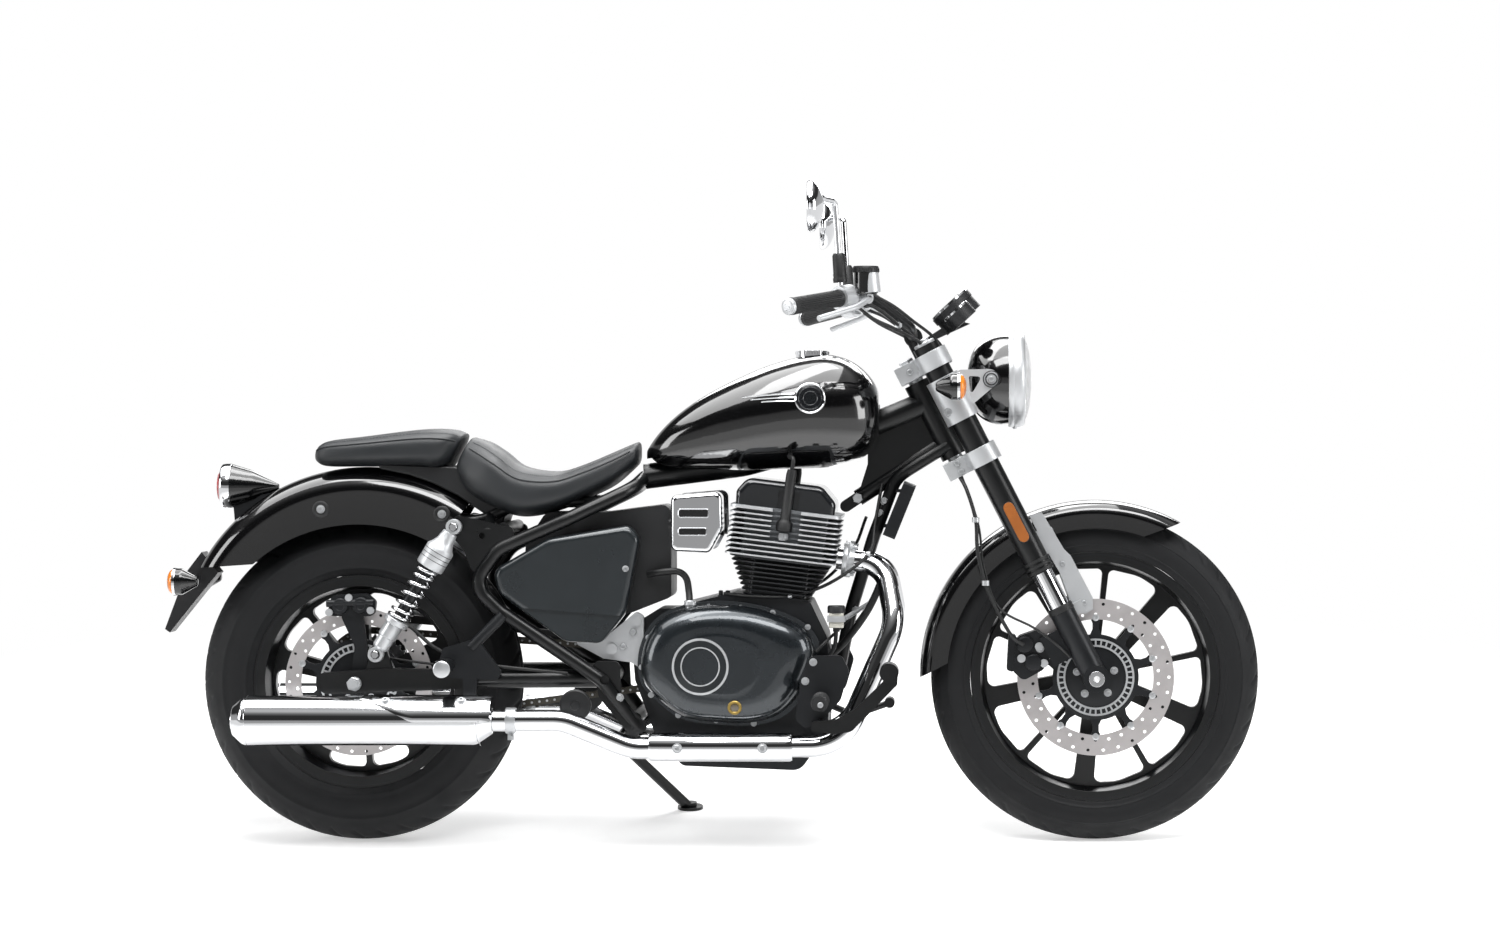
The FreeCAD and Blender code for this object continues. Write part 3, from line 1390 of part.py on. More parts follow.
def front_caliper():
    """The front brake's caliper behind the right leg."""
    outer = caliper_face()
    inner = float(s("front_hub_half")) + float(s("seat_clearance")) - float(s("brake_gap"))
    half = [(1352, 330, 14), (1392, 352, 12), (1420, 402, 12), (1380, 434, 16), (1340, 420, 14), (1330, 350, 12)]
    shapes = [rounded_plate(half, -outer, 20), rounded_plate(half, -inner, 12)]
    shapes.append(rounded_plate([(1318, 352, 6), (1334, 346, 6), (1338, 424, 6), (1322, 424, 6)], -outer + 2, outer - inner + 8))
    return node("front_caliper", feature("front_caliper_shape", joined(shapes)))


def fork_brace():
    """The plates in front of the fork legs that carry the front fender."""
    inner = float(s("front_fender_half")) + float(s("seat_clearance"))
    disc_face = float(s("front_hub_half")) + float(s("seat_clearance")) + float(s("disc_thickness"))
    face = disc_face + float(s("brake_gap"))
    outer = face + float(s("stay_thickness"))
    long_side = ((30, 356), (56, 350), (62, 262), (68, 244), (69, 148), (58, 126), (40, 125), (22, 142), (32, 224), (30, 258))
    clamp_side = ((-12, 318), (34, 318), (34, 268), (-12, 268))
    top_side = ((22, 322), (60, 314), (60, 294), (22, 302))
    foot_side = ((-14, 156), (44, 156), (44, 130), (-14, 130))
    shapes = []
    for corners, start, end in ((long_side, face, outer), (clamp_side, face, outer), (top_side, inner, face),
                                (foot_side, face, face + 12)):
        points = [in_fork(u, start, w) for u, w in corners]
        shapes.append(flat_solid(points, V(0, end - start, 0)))
    stay = joined(shapes)
    leg = Part.makeCone(25 + 0.3, 26 + 0.3, float(s("casting_top_w")) + 6,
                        in_fork(0, float(s("fork_half_spacing")), -6), in_fork(0, 0, 1) - in_fork(0, 0, 0))
    stay = max(stay.cut(leg).Solids, key=lambda solid: solid.Volume)
    return node("fender_stays", both("fender_stay_pair", feature("fender_stay", stay)))


def handlebar():
    """The swept handlebar on its two risers."""
    radius = float(s("bar_radius"))
    end = V(float(s("bar_end_x")), float(s("bar_end_y")), float(s("bar_end_z")))
    inner = V(float(s("grip_inner_x")), float(s("grip_inner_y")), float(s("grip_inner_z")))
    outward = (inner - end).normalize()
    knee = inner + outward * 78
    base = float(s("upper_clamp_w")) + float(s("clamp_thickness")) / 2 + float(s("seat_clearance"))
    saddle = in_fork(float(s("riser_u")), 60, base + float(s("riser_height")))
    right = [V(p.x, -p.y, p.z) for p in (end, knee, V(saddle.x - 6, 116, saddle.z + 20), saddle)]
    left = [V(p.x, -p.y, p.z) for p in reversed(right)]
    shapes = [tube(right + left, [75, 60, 30, 30, 60, 75], radius)]
    for side in (-1, 1):
        foot = in_fork(float(s("riser_u")), side * 42, base)
        top = in_fork(float(s("riser_u")), side * 42, base + float(s("riser_height")))
        shapes.append(Part.makeCylinder(17, (top - foot).Length, foot, top - foot))
        shapes.append(Part.makeCylinder(19, 30, top - V(0, 15, 0), Y_AXIS))
    return node("handlebar", feature("handlebar_shape", joined(shapes)))


def grips():
    """The two rubber grips with their end weights."""
    end = V(float(s("bar_end_x")), float(s("bar_end_y")), float(s("bar_end_z")))
    inner = V(float(s("grip_inner_x")), float(s("grip_inner_y")), float(s("grip_inner_z")))
    way = (inner - end).normalize()
    length = (inner - end).Length - 12
    sleeve = Part.makeCylinder(float(s("grip_radius")), length, end, way)
    bore = Part.makeCylinder(float(s("bar_radius")) + 0.1, length + 20, end - way * 2, way)
    weight = Part.makeCylinder(16, 22, end - way * 22.3, way)
    flange = Part.makeCylinder(22, 8, inner - way * 20, way)
    grip = joined([sleeve, flange]).cut(bore)
    pieces = both_sides(grip) + both_sides(weight)
    return node("grips", group("grip_set", [feature(f"grip_{i}", p) for i, p in enumerate(pieces)]))


def hand_controls():
    """The switch housings, perches, levers and the brake fluid pot."""
    inner = V(float(s("grip_inner_x")), float(s("grip_inner_y")), float(s("grip_inner_z")))
    end = V(float(s("bar_end_x")), float(s("bar_end_y")), float(s("bar_end_z")))
    way = (inner - end).normalize()
    bore = Part.makeCylinder(float(s("bar_radius")) + 0.1, 200, inner - way * 80, way)
    housing = Part.makeCylinder(24, 34, inner - way * 11.7, way)
    perch = Part.makeCylinder(17, 32, inner + way * 22, way)
    ahead = way.cross(Z_AXIS).normalize()
    if ahead.x < 0:
        ahead = ahead * -1
    hinge = inner + way * 40 + ahead * 38 - V(0, 0, 6)
    arm = tube([inner + way * 40, hinge], [], 11)
    lever = tube([hinge, hinge - way * 60 + ahead * 14 - V(0, 0, 12), hinge - way * 165 + ahead * 6 - V(0, 0, 22)],
                 [90], 6)
    base = joined([housing, perch, arm, lever]).cut(bore)
    pot = Part.makeCylinder(24, 50, inner + way * 44 + ahead * 32 + V(0, 0, 4), Z_AXIS + X_AXIS * -0.12)
    right = joined([base, pot]).cut(bore).mirror(V(0, 0, 0), Y_AXIS)
    return node("hand_controls", group("hand_control_pair", [feature("left_control", base),
                                                             feature("right_control", right)]))


def mirrors():
    """The two round mirrors on their bent stems."""
    inner = V(float(s("grip_inner_x")), float(s("grip_inner_y")), float(s("grip_inner_z")))
    foot = inner + V(-4, 0, 24.4)
    stem = tube([foot, V(975, 310, 1292), V(945, 360, 1296)], [12], 6)
    boot = Part.makeCone(11, 9, 52, foot + V(0, 0, 7), V(975, 310, 1292) - foot)
    radius = float(s("mirror_radius"))
    half = [V(926, 0, 0), V(926, radius, 0), V(932, radius + 1, 0), V(942, radius - 6, 0), V(950, radius - 20, 0),
            V(955, 14, 0), V(956, 0, 0)]
    curve = Part.BSplineCurve()
    curve.interpolate(half[2:])
    edges = [Part.LineSegment(half[0], half[1]).toShape(), Part.LineSegment(half[1], half[2]).toShape(),
             curve.toShape(), Part.LineSegment(half[-1], half[0]).toShape()]
    head = Part.Face(Part.Wire(edges)).revolve(V(0, 0, 0), X_AXIS, 360)
    head.translate(V(0, 372, 1280))
    return node("mirrors", both("mirror_pair", feature("mirror_one", joined([stem, boot, head]))))


def headlamp():
    """The headlamp's rounded bowl, its rim and its lens."""
    radius = float(s("headlamp_radius")) - 2
    depth = float(s("headlamp_rim_x")) - float(s("headlamp_x"))
    rim_x = float(s("headlamp_rim_x"))
    z = float(s("headlamp_z"))
    points = []
    for i in range(9):
        angle = math.radians(90 * i / 8)
        points.append(V(rim_x - depth * math.cos(angle) ** (2 / 2.5), 0, z + radius * math.sin(angle) ** (2 / 2.5)))
    curve = Part.BSplineCurve()
    curve.interpolate(points)
    edges = [curve.toShape(), Part.LineSegment(points[-1], V(rim_x, 0, z)).toShape(),
             Part.LineSegment(V(rim_x, 0, z), points[0]).toShape()]
    bowl = Part.Face(Part.Wire(edges)).revolve(V(0, 0, z), X_AXIS, 360)
    node("headlamp_bowl", feature("headlamp_bowl_shape", bowl))
    front = body("headlamp_lens")
    face = sketch(front, "XY_Plane", 0, "face")
    outline(face, [(0.2, 0), (0.2, s("headlamp_radius"), 3), (28, s("headlamp_radius"), 8), (34, 78, 8), (44, 30, 60),
                   (45, 0)])
    revolve(front, face, "H_Axis")
    node("headlamp_lens", front, s("headlamp_rim_x"), 0, s("headlamp_z"))
    lamp_brackets(bowl)


def lamp_brackets(bowl):
    """The castings on the upper tubes that hold the headlamp and the front flashers."""
    y = float(s("fork_half_spacing"))
    radius = float(s("fork_tube_radius"))
    low = float(s("lower_clamp_w"))
    up = in_fork(0, 0, 1) - in_fork(0, 0, 0)
    sleeve = Part.makeCylinder(radius + float(s("sleeve_wall")), 96, in_fork(0, y, low + 82), up)
    bore = Part.makeCylinder(radius + 0.1, 140, in_fork(0, y, low + 62), up)
    arm = rounded_plate([(1216, 962, 10), (1290, 964, 18), (1308, 942, 18), (1240, 884, 8), (1215, 900, 8)], y - 4, 8)
    gap = rounded_plate([(1241, 950, 4), (1268, 948, 5), (1244, 908, 4)], y - 10, 20)
    pin = tube([V(1287, y + 8, 944), V(1287, 70, 944)], [], 12)
    holder = joined([sleeve, arm.cut(gap), pin]).cut(bore).cut(bowl)
    return node("lamp_brackets", both("lamp_bracket_pair", feature("lamp_bracket_one", holder)))


def front_indicators():
    """The two front flashers, out to the side of the fork."""
    shell = indicator_shell("front_flasher")
    put(shell, 1222, 172, 927, (0, 0, 1), 180)
    start = float(s("fork_half_spacing")) + float(s("fork_tube_radius")) + float(s("sleeve_wall")) + float(s("seat_clearance"))
    stem = feature("front_flasher_stem", tube([V(1197, start, 927), V(1197, 156, 927)], [], 9))
    return node("front_indicators", both("front_flasher_pair", fuse("front_flasher_set", [shell, stem])))


def instruments():
    """The round instrument, tilted towards the rider, on its bracket."""
    way = V(-0.68, 0, 0.74).normalize()
    centre = V(1218, 0, 1080)
    base = float(s("upper_clamp_w")) + float(s("clamp_thickness")) / 2 + float(s("seat_clearance"))
    pod = Part.makeCylinder(46, 34, centre - way * 20, way)
    face = Part.makeCylinder(48, 14, centre + way * 8, way)
    small = Part.makeCylinder(31, 26, centre - way * 14 + V(6, -72, -8), way)
    foot = flat_solid([in_fork(-22, -20, base), in_fork(-9, -20, base), in_fork(-6, -20, base + 20), V(1244, -20, 1058),
                       V(1212, -20, 1066), in_fork(-22, -20, base + 26)], V(0, 40, 0))
    web = flat_solid([V(1200, -74, 1050), V(1234, -74, 1060), V(1230, -74, 1068), V(1196, -74, 1058)], V(0, 74, 0))
    return node("instruments", feature("instruments_shape", joined([pod, face, small, foot, web])))


# Side stand


def stand_frame():
    """The stand's own directions: deployed, folded and the axis that joins them."""
    forward = float(s("stand_forward"))
    out = float(s("stand_out"))
    down = V(forward, out, -math.sqrt(1 - forward * forward - out * out))
    folded = V(-1, 0.1, -0.05).normalize()
    return down, folded, down.cross(folded).normalize()


def side_stand():
    """The stand: pivot eye, leg and a foot flat on the floor."""
    pivot = V(float(s("stand_pivot_x")), float(s("stand_pivot_y")), float(s("stand_pivot_z")))
    down, _, axis = stand_frame()
    lean = math.radians(float(s("lean_angle")))
    lift = float(LIFT)
    up = V(0, -math.sin(lean), math.cos(lean))
    # The floor holds the points whose height along up is minus the lift.
    reach = -(lift + up.dot(pivot)) / up.dot(down)
    foot = pivot + down * reach
    radius = float(s("stand_tube_radius"))
    width = float(s("stand_eye"))
    eye = Part.makeCylinder(15, width, pivot - axis * width / 2, axis)
    bore = Part.makeCylinder(float(s("stand_pin_radius")) + 0.05, 60, pivot - axis * 30, axis)
    leg = tube([pivot + down * 4, foot - down * 8], [], radius)
    sole = Part.makeCylinder(27, 6, foot, up)
    heel = Part.makeCylinder(14, 14, foot, up)
    below = Part.makeBox(200, 200, 60, V(-100, -100, -60))
    below.Placement = FreeCAD.Placement(foot, FreeCAD.Rotation(Z_AXIS, up))
    slab = Part.makeBox(60, 60, 40, V(-30, -30, width / 2))
    slab.Placement = FreeCAD.Placement(pivot, FreeCAD.Rotation(Z_AXIS, axis))
    other = Part.makeBox(60, 60, 40, V(-30, -30, -40 - width / 2))
    other.Placement = FreeCAD.Placement(pivot, FreeCAD.Rotation(Z_AXIS, axis))
    stand = joined([eye, leg, sole, heel]).cut(bore).cut(below).cut(slab).cut(other)
    node("side_stand", feature("side_stand_shape", stand))


def link_plate(a, b, normal, radius, thickness):
    """A flat bar with round ends between two points, its middle plane through them."""
    along = (b - a).normalize()
    across = normal.cross(along).normalize() * radius
    edges = [
        Part.LineSegment(a + across, b + across).toShape(),
        Part.Arc(b + across, b + along * radius, b - across).toShape(),
        Part.LineSegment(b - across, a - across).toShape(),
        Part.Arc(a - across, a - along * radius, a + across).toShape(),
    ]
    face = Part.Face(Part.Wire(edges))
    face.translate(normal * (-thickness / 2))
    return face.extrude(normal * thickness)


def stand_lug():
    """The fork-shaped lug that holds the side stand's eye, with its pivot bolt."""
    pivot = V(float(s("stand_pivot_x")), float(s("stand_pivot_y")), float(s("stand_pivot_z")))
    down, folded, axis = stand_frame()
    inward = (down + folded).normalize() * -1
    half = float(s("stand_eye")) / 2
    ear = float(s("stand_ear"))
    shapes = []
    for side in (-1, 1):
        middle = pivot + axis * side * (half + 0.3 + ear / 2)
        shapes.append(link_plate(middle, middle + inward * 52, axis, 15, ear))
    root = pivot + inward * 46
    shapes.append(Part.makeCylinder(10, 2 * (half + ear), root - axis * (half + ear), axis))
    shapes.append(Part.makeCylinder(float(s("stand_pin_radius")), 2 * (half + ear) + 6, pivot - axis * (half + ear + 3), axis))
    shapes.append(tube([root, V(563, 82, 252)], [], 12))
    return joined(shapes)


def frame_shape():
    """Steering head, spine, down tubes, seat rails, side loops, pivot plates and the stand's lug."""
    radius = float(s("main_tube_radius"))
    offset = -float(s("steer_offset"))
    low = in_fork(offset, 0, float(s("lower_clamp_w")) + 24)
    high = in_fork(offset, 0, float(s("upper_clamp_w")) - 24)
    head = Part.makeCylinder(float(s("head_tube_radius")), (high - low).Length, low, high - low)
    bore = Part.makeCylinder(float(s("stem_radius")) + float(s("axle_bore_gap")), (high - low).Length, low, high - low)
    middle = in_fork(offset, 0, float(s("lower_clamp_w")) + 147)
    spine = tube([middle, V(1010, 0, 835), V(780, 0, 770), V(576, 0, 744)], [160, 260], float(s("spine_radius")))
    peg_half = float(s("tank_tunnel")) / 2 - float(s("seat_clearance"))
    shapes = [head, spine, Part.makeCylinder(15, 2 * peg_half, V(940, -peg_half, 812), Y_AXIS)]
    foot_y = float(s("down_tube_y"))
    loop_y = float(s("side_loop_y"))
    plate_half = float(s("luggage_plate")) / 2
    rail_r = float(s("rail_radius"))
    rail_y = float(s("rail_y"))
    low_rail_z = float(s("low_rail_height"))
    fender_inside = float(s("rear_fender_half")) - float(s("fender_wall")) - float(s("seat_clearance"))
    box_side = float(s("air_box_half")) + float(s("seat_clearance"))
    rail_z = float(s("rail_height"))
    pin_reach = float(s("shock_y")) + 14
    hanger = V(1014, 0, 700)
    shapes.append(tube([V(1190, 0, 815), hanger], [], 17))
    shapes.append(Part.makeCylinder(9, 72, hanger - V(0, 36, 0), Y_AXIS))
    shapes.append(flat_solid([V(1165, -12, 885), V(1034, -12, 848), V(1034, -12, 770), V(1016, -12, 712),
                              V(1090, -12, 742), V(1190, -12, 806)], V(0, 24, 0)))
    for side in (-1, 1):
        knee = in_fork(offset, side * 18, float(s("lower_clamp_w")) + 50)
        shapes.append(tube([knee, V(1092, side * 20, 742), V(1046, side * foot_y, 620), V(1000, side * foot_y, 470),
                            V(975, side * foot_y, 345)], [70, 300, 300], 13))
        shapes.append(link_plate(hanger + V(0, side * 28, 0), V(990, side * 28, 684), Y_AXIS, 12, 6))
        shapes.append(tube([V(575, 0, 742), V(560, side * 95, 722), V(430, side * loop_y, 660),
                            V(288, side * loop_y, 598), V(238, side * loop_y, 526), V(292, side * loop_y, 474),
                            V(500, side * loop_y, 333), V(572, side * 112, 235)], [60, 200, 62, 42, 62, 70], radius))
        shapes.append(tube([V(470, side * 80, rail_z), V(330, side * 78, rail_z), V(236, side * rail_y, low_rail_z),
                            V(150, side * rail_y, low_rail_z + 16), V(-96, side * rail_y, low_rail_z + 28)],
                           [160, 120, 300], rail_r))
        for x, z in ((150, low_rail_z + 15), (-86, low_rail_z + 27)):
            boss = fender_inside - rail_y
            shapes.append(Part.makeCylinder(9, boss, V(x, side * (rail_y + boss / 2) - boss / 2, z), Y_AXIS))
        tab = loop_y - box_side
        shapes.append(Part.makeCylinder(8, tab, V(430, side * (box_side + tab / 2) - tab / 2, 655), Y_AXIS))
        shapes.append(tube([V(462, side * 80, rail_z), V(500, side * 113, 692)], [], rail_r))
        shapes.append(tube([V(268, side * 76, low_rail_z + 16), V(268, side * loop_y, 632)], [], 11))
        shapes.append(rounded_plate([(205, 668, 10), (330, 640, 12), (300, 600, 12), (262, 560, 12), (240, 548, 12),
                                     (218, 600, 12), (182, 640, 14)], side * loop_y - plate_half, 2 * plate_half))
        shapes.append(rounded_plate([(478, 372, 12), (534, 372, 12), (538, 296, 20), (596, 238, 12), (560, 215, 12),
                                     (492, 300, 20)], side * 121 - 5, 10))
        pin = V(float(s("shock_top_x")), side * (loop_y + pin_reach) / 2, float(s("shock_top_z")))
        reach = pin_reach - loop_y
        shapes.append(Part.makeCylinder(8, reach, pin - V(0, reach / 2, 0), Y_AXIS))
    shapes.append(Part.makeCylinder(13, 2 * loop_y, V(300, -loop_y, 640), Y_AXIS))
    shapes.append(Part.makeCylinder(13, 236, V(565, -118, 255), Y_AXIS))
    shapes.append(stand_lug())
    hole = V(float(s("luggage_hole_x")), -200, float(s("luggage_hole_z")))
    drill = Part.makeCylinder(float(s("luggage_hole_radius")), 400, hole, Y_AXIS)
    pivot = V(float(s("pivot_x")), -200, float(s("pivot_height")))
    bolt = Part.makeCylinder(9.1, 400, pivot, Y_AXIS)
    return joined(shapes).cut(bore).cut(drill).cut(bolt)


def deck_height(x):
    """The height of the leaning cylinders' base at one X."""
    return s("deck_z") - 0.1 - (x - s("deck_x")) * tangent(s("cylinder_tilt"))


def engine_point(x, y, z):
    """A point given in the leaning cylinders' own directions, in the upright bike."""
    tilt = math.radians(float(s("cylinder_tilt")))
    return V(float(s("deck_x")) + x * math.cos(tilt) + z * math.sin(tilt), y,
             float(s("deck_z")) - x * math.sin(tilt) + z * math.cos(tilt))


def tank_shape():
    """The drop-shaped tank with a tunnel for the frame's spine."""
    wide = float(s("tank_half_width"))
    wires = [
        station(582, 776, 800, 26, 2.2),
        station(604, 764, 832, 56, 2.3),
        station(660, 757, 884, 88, 2.4),
        station(740, 755, 932, 118, 2.4),
        station(830, 756, 972, wide - 8, 2.3),
        station(920, 759, 994, wide, 2.3),
        station(985, 766, 988, wide - 8, 2.4),
        station(1030, 785, 960, wide - 32, 2.5),
        station(1058, 830, 915, wide - 80, 2.3),
    ]
    shell = loft(wires)
    half = float(s("tank_tunnel")) / 2
    path = flat_solid([V(560, -half, 700), V(1090, -half, 700), V(1090, -half, 905), V(1010, -half, 872),
                       V(780, -half, 806), V(560, -half, 778)], V(0, 2 * half, 0))
    return shell.cut(path)


def crown_height(x):
    """The top of the rear fender at one X."""
    radius = float(s("rear_fender_radius"))
    away = x - float(s("rear_fender_x"))
    return float(s("rear_fender_z")) + math.sqrt(radius * radius - away * away)


def caliper_face():
    """How far to the right the front caliper's outer half reaches."""
    disc_face = float(s("front_hub_half")) + float(s("seat_clearance")) + float(s("disc_thickness"))
    return disc_face + float(s("brake_gap")) + 20


def check():
    """Stop on any object that failed, and on any piece that is empty or not valid."""
    DOC.recompute()
    bad = [thing.Name for thing in DOC.Objects if "Invalid" in thing.State or "Error" in thing.State]
    bad += [thing.Label for thing in NODES if thing.Shape.isNull() or not thing.Shape.isValid() or not thing.Shape.Solids]
    if bad:
        raise RuntimeError(f"these failed: {bad}")


def set_origin():
    """Put the origin on the floor under the middle of the bike's outline."""
    bounds = FreeCAD.BoundBox()
    for thing in NODES:
        bounds.add(thing.Shape.optimalBoundingBox(False))
    row = len(SIZES) + 1
    SHEET.set(f"B{row}", f"{bounds.Center.x:.4f}")
    SHEET.set(f"B{row + 1}", f"{bounds.Center.y:.4f}")
    DOC.recompute()
    print(f"origin {bounds.Center.x:.4f} {bounds.Center.y:.4f} low {bounds.ZMin:.3f}")
    print(f"size {bounds.XLength:.1f} {bounds.YLength:.1f} {bounds.ZLength:.1f}")


def main():
    """Build every piece, check it and write the STEP files."""
    fill_sheet()
    wheels()
    axles()
    main_frame()
    swingarm()
    shock_absorbers()
    crankcase()
    clutch_cover()
    alternator_cover()
    sprocket_cover()
    gearbox_plate()
    cylinders()
    throttle_covers()
    air_box()
    side_panels()
    exhaust_headers()
    mufflers()
    fuel_tank()
    rider_seat()
    rear_fender()
    pillion_seat()
    front_fender()
    tail_lamp()
    rear_indicators()
    plate_bracket()
    drive_chain()
    chain_guard()
    rear_caliper()
    foot_rests()
    foot_controls()
    pillion_rests()
    oil_cooler()
    fork_clamps()
    fork_legs()
    front_caliper()
    fork_brace()
    handlebar()
    grips()
    hand_controls()
    mirrors()
    headlamp()
    front_indicators()
    instruments()
    side_stand()
    check()
    set_origin()
    check()
    os.makedirs("parts", exist_ok=True)
    for thing in NODES:
        thing.Shape.exportStep(os.path.join("parts", f"{thing.Label}.step"))
    print(len(NODES), "pieces")


main()
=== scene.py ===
"""Looks of a cruiser motorcycle with a parallel twin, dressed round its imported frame.

Pieces are drawn in the upright bike's millimetres, X forward from the rear axle, Y to the left and Z up,
and are leaned onto the side stand when they are placed. A turned profile is pairs of radius and distance.
"""

import json
import logging
import math
from collections.abc import Iterable, Sequence
from dataclasses import dataclass, field
from enum import Enum
from functools import lru_cache

import bmesh
import bpy
from mathutils import Matrix, Vector
from mathutils.bvhtree import BVHTree
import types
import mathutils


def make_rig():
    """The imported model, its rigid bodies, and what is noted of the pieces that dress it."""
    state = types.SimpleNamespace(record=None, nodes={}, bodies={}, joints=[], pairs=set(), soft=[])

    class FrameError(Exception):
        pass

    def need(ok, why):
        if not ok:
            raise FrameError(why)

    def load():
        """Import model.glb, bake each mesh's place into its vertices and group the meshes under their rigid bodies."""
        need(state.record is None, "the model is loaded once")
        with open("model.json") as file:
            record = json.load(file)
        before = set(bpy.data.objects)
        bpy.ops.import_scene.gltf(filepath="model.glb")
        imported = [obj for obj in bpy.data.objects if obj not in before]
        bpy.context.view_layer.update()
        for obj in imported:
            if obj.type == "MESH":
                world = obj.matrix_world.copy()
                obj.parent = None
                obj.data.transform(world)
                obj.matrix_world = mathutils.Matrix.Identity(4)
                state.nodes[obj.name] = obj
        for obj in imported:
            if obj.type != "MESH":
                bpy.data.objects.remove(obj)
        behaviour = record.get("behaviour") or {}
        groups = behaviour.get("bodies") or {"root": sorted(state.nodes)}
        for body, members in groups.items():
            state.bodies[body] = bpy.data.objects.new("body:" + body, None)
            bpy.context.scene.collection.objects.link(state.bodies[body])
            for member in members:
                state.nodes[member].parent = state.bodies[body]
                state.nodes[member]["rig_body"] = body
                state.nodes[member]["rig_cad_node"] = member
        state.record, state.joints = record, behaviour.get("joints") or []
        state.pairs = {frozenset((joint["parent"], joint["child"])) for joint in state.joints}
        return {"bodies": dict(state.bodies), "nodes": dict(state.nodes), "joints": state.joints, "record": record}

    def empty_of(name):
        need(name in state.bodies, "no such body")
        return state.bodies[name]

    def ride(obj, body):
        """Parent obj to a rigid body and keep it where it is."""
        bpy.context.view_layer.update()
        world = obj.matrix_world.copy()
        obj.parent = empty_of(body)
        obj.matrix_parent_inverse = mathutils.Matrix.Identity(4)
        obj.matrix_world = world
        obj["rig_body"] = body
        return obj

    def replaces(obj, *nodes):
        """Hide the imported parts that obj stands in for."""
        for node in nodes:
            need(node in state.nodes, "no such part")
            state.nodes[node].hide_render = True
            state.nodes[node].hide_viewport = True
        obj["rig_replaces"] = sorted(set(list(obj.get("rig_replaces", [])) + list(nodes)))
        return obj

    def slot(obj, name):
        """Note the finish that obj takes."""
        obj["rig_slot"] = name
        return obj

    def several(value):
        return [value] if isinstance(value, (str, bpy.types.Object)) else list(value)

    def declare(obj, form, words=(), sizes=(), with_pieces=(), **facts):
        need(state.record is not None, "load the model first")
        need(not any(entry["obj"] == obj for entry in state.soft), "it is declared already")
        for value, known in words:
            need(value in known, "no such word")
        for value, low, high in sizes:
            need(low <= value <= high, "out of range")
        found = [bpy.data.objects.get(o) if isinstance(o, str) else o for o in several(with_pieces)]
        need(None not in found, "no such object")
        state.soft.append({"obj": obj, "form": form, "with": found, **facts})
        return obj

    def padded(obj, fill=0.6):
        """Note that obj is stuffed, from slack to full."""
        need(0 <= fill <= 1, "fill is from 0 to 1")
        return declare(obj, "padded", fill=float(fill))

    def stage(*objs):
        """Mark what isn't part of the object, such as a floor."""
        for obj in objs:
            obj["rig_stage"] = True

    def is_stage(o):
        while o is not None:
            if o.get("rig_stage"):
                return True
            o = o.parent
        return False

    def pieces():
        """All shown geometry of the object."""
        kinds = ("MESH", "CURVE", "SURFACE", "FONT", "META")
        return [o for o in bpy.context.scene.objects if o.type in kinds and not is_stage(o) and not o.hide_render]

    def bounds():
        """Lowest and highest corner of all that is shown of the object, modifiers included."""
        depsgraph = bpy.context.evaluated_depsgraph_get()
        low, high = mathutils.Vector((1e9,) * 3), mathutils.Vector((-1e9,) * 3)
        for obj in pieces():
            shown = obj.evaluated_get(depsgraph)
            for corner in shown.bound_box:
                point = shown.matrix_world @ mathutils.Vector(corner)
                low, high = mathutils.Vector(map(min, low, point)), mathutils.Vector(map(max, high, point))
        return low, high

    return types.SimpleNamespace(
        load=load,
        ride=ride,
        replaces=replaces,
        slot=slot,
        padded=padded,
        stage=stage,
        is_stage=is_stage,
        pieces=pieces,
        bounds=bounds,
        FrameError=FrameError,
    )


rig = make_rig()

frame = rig.load()
CAD_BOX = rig.bounds()

LOG = logging.getLogger("cruiser")
MM = 0.001
LEAN_ANGLE = math.radians(8.0)
RAKE = math.radians(27.2)
CYLINDER_TILT = math.radians(7.0)
CYLINDER_FOOT = Vector((850.0, 0.0, 500.0))
WHEELBASE = 1500.0
REAR_AXLE = Vector((0.0, 0.0, 327.0))
FRONT_AXLE = Vector((WHEELBASE, 0.0, 335.755))
X_AXIS = Vector((1.0, 0.0, 0.0))
Y_AXIS = Vector((0.0, 1.0, 0.0))
Z_AXIS = Vector((0.0, 0.0, 1.0))
RIGHT = Vector((0.0, -1.0, 0.0))
SIDES = (-1, 1)
SHARP = math.radians(38.0)
OUTSIDE = 700.0
MERGE_DISTANCE = 0.004

Point = Vector | tuple[float, float, float]
Profile = Sequence[tuple[float, float]]


def lean_matrix() -> Matrix:
    """Where the upright bike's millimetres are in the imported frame.

    Returns:
        The matrix from upright millimetres to metres of the leaned bike.
    """
    hinge = next(j for j in frame["joints"] if j["name"] == "rear_wheel_spin")
    turned = Matrix.Rotation(-LEAN_ANGLE, 4, "X") @ Matrix.Scale(MM, 4)
    return Matrix.Translation(Vector(hinge["pos_m"]) - turned @ REAR_AXLE) @ turned


LEAN = lean_matrix()
UPRIGHT = LEAN.inverted()


def in_fork(u: float, y: float, w: float) -> Vector:
    """A point of the steered front end.

    Args:
        u: Distance ahead of the fork's line.
        y: Distance to the left.
        w: Height along the fork from the front axle.

    Returns:
        The point in the upright bike.
    """
    c, s = math.cos(RAKE), math.sin(RAKE)
    return FRONT_AXLE + Vector((u * c - w * s, y, u * s + w * c))


def engine_point(x: float, y: float, z: float) -> Vector:
    """A point of the tilted cylinders.

    Args:
        x: Distance ahead of their foot.
        y: Distance to the left.
        z: Height along them.

    Returns:
        The point in the upright bike.
    """
    c, s = math.cos(CYLINDER_TILT), math.sin(CYLINDER_TILT)
    return CYLINDER_FOOT + Vector((x * c + z * s, y, z * c - x * s))


FORK_UP = (in_fork(0, 0, 1) - in_fork(0, 0, 0)).normalized()
ENGINE_UP = (engine_point(0, 0, 1) - engine_point(0, 0, 0)).normalized()


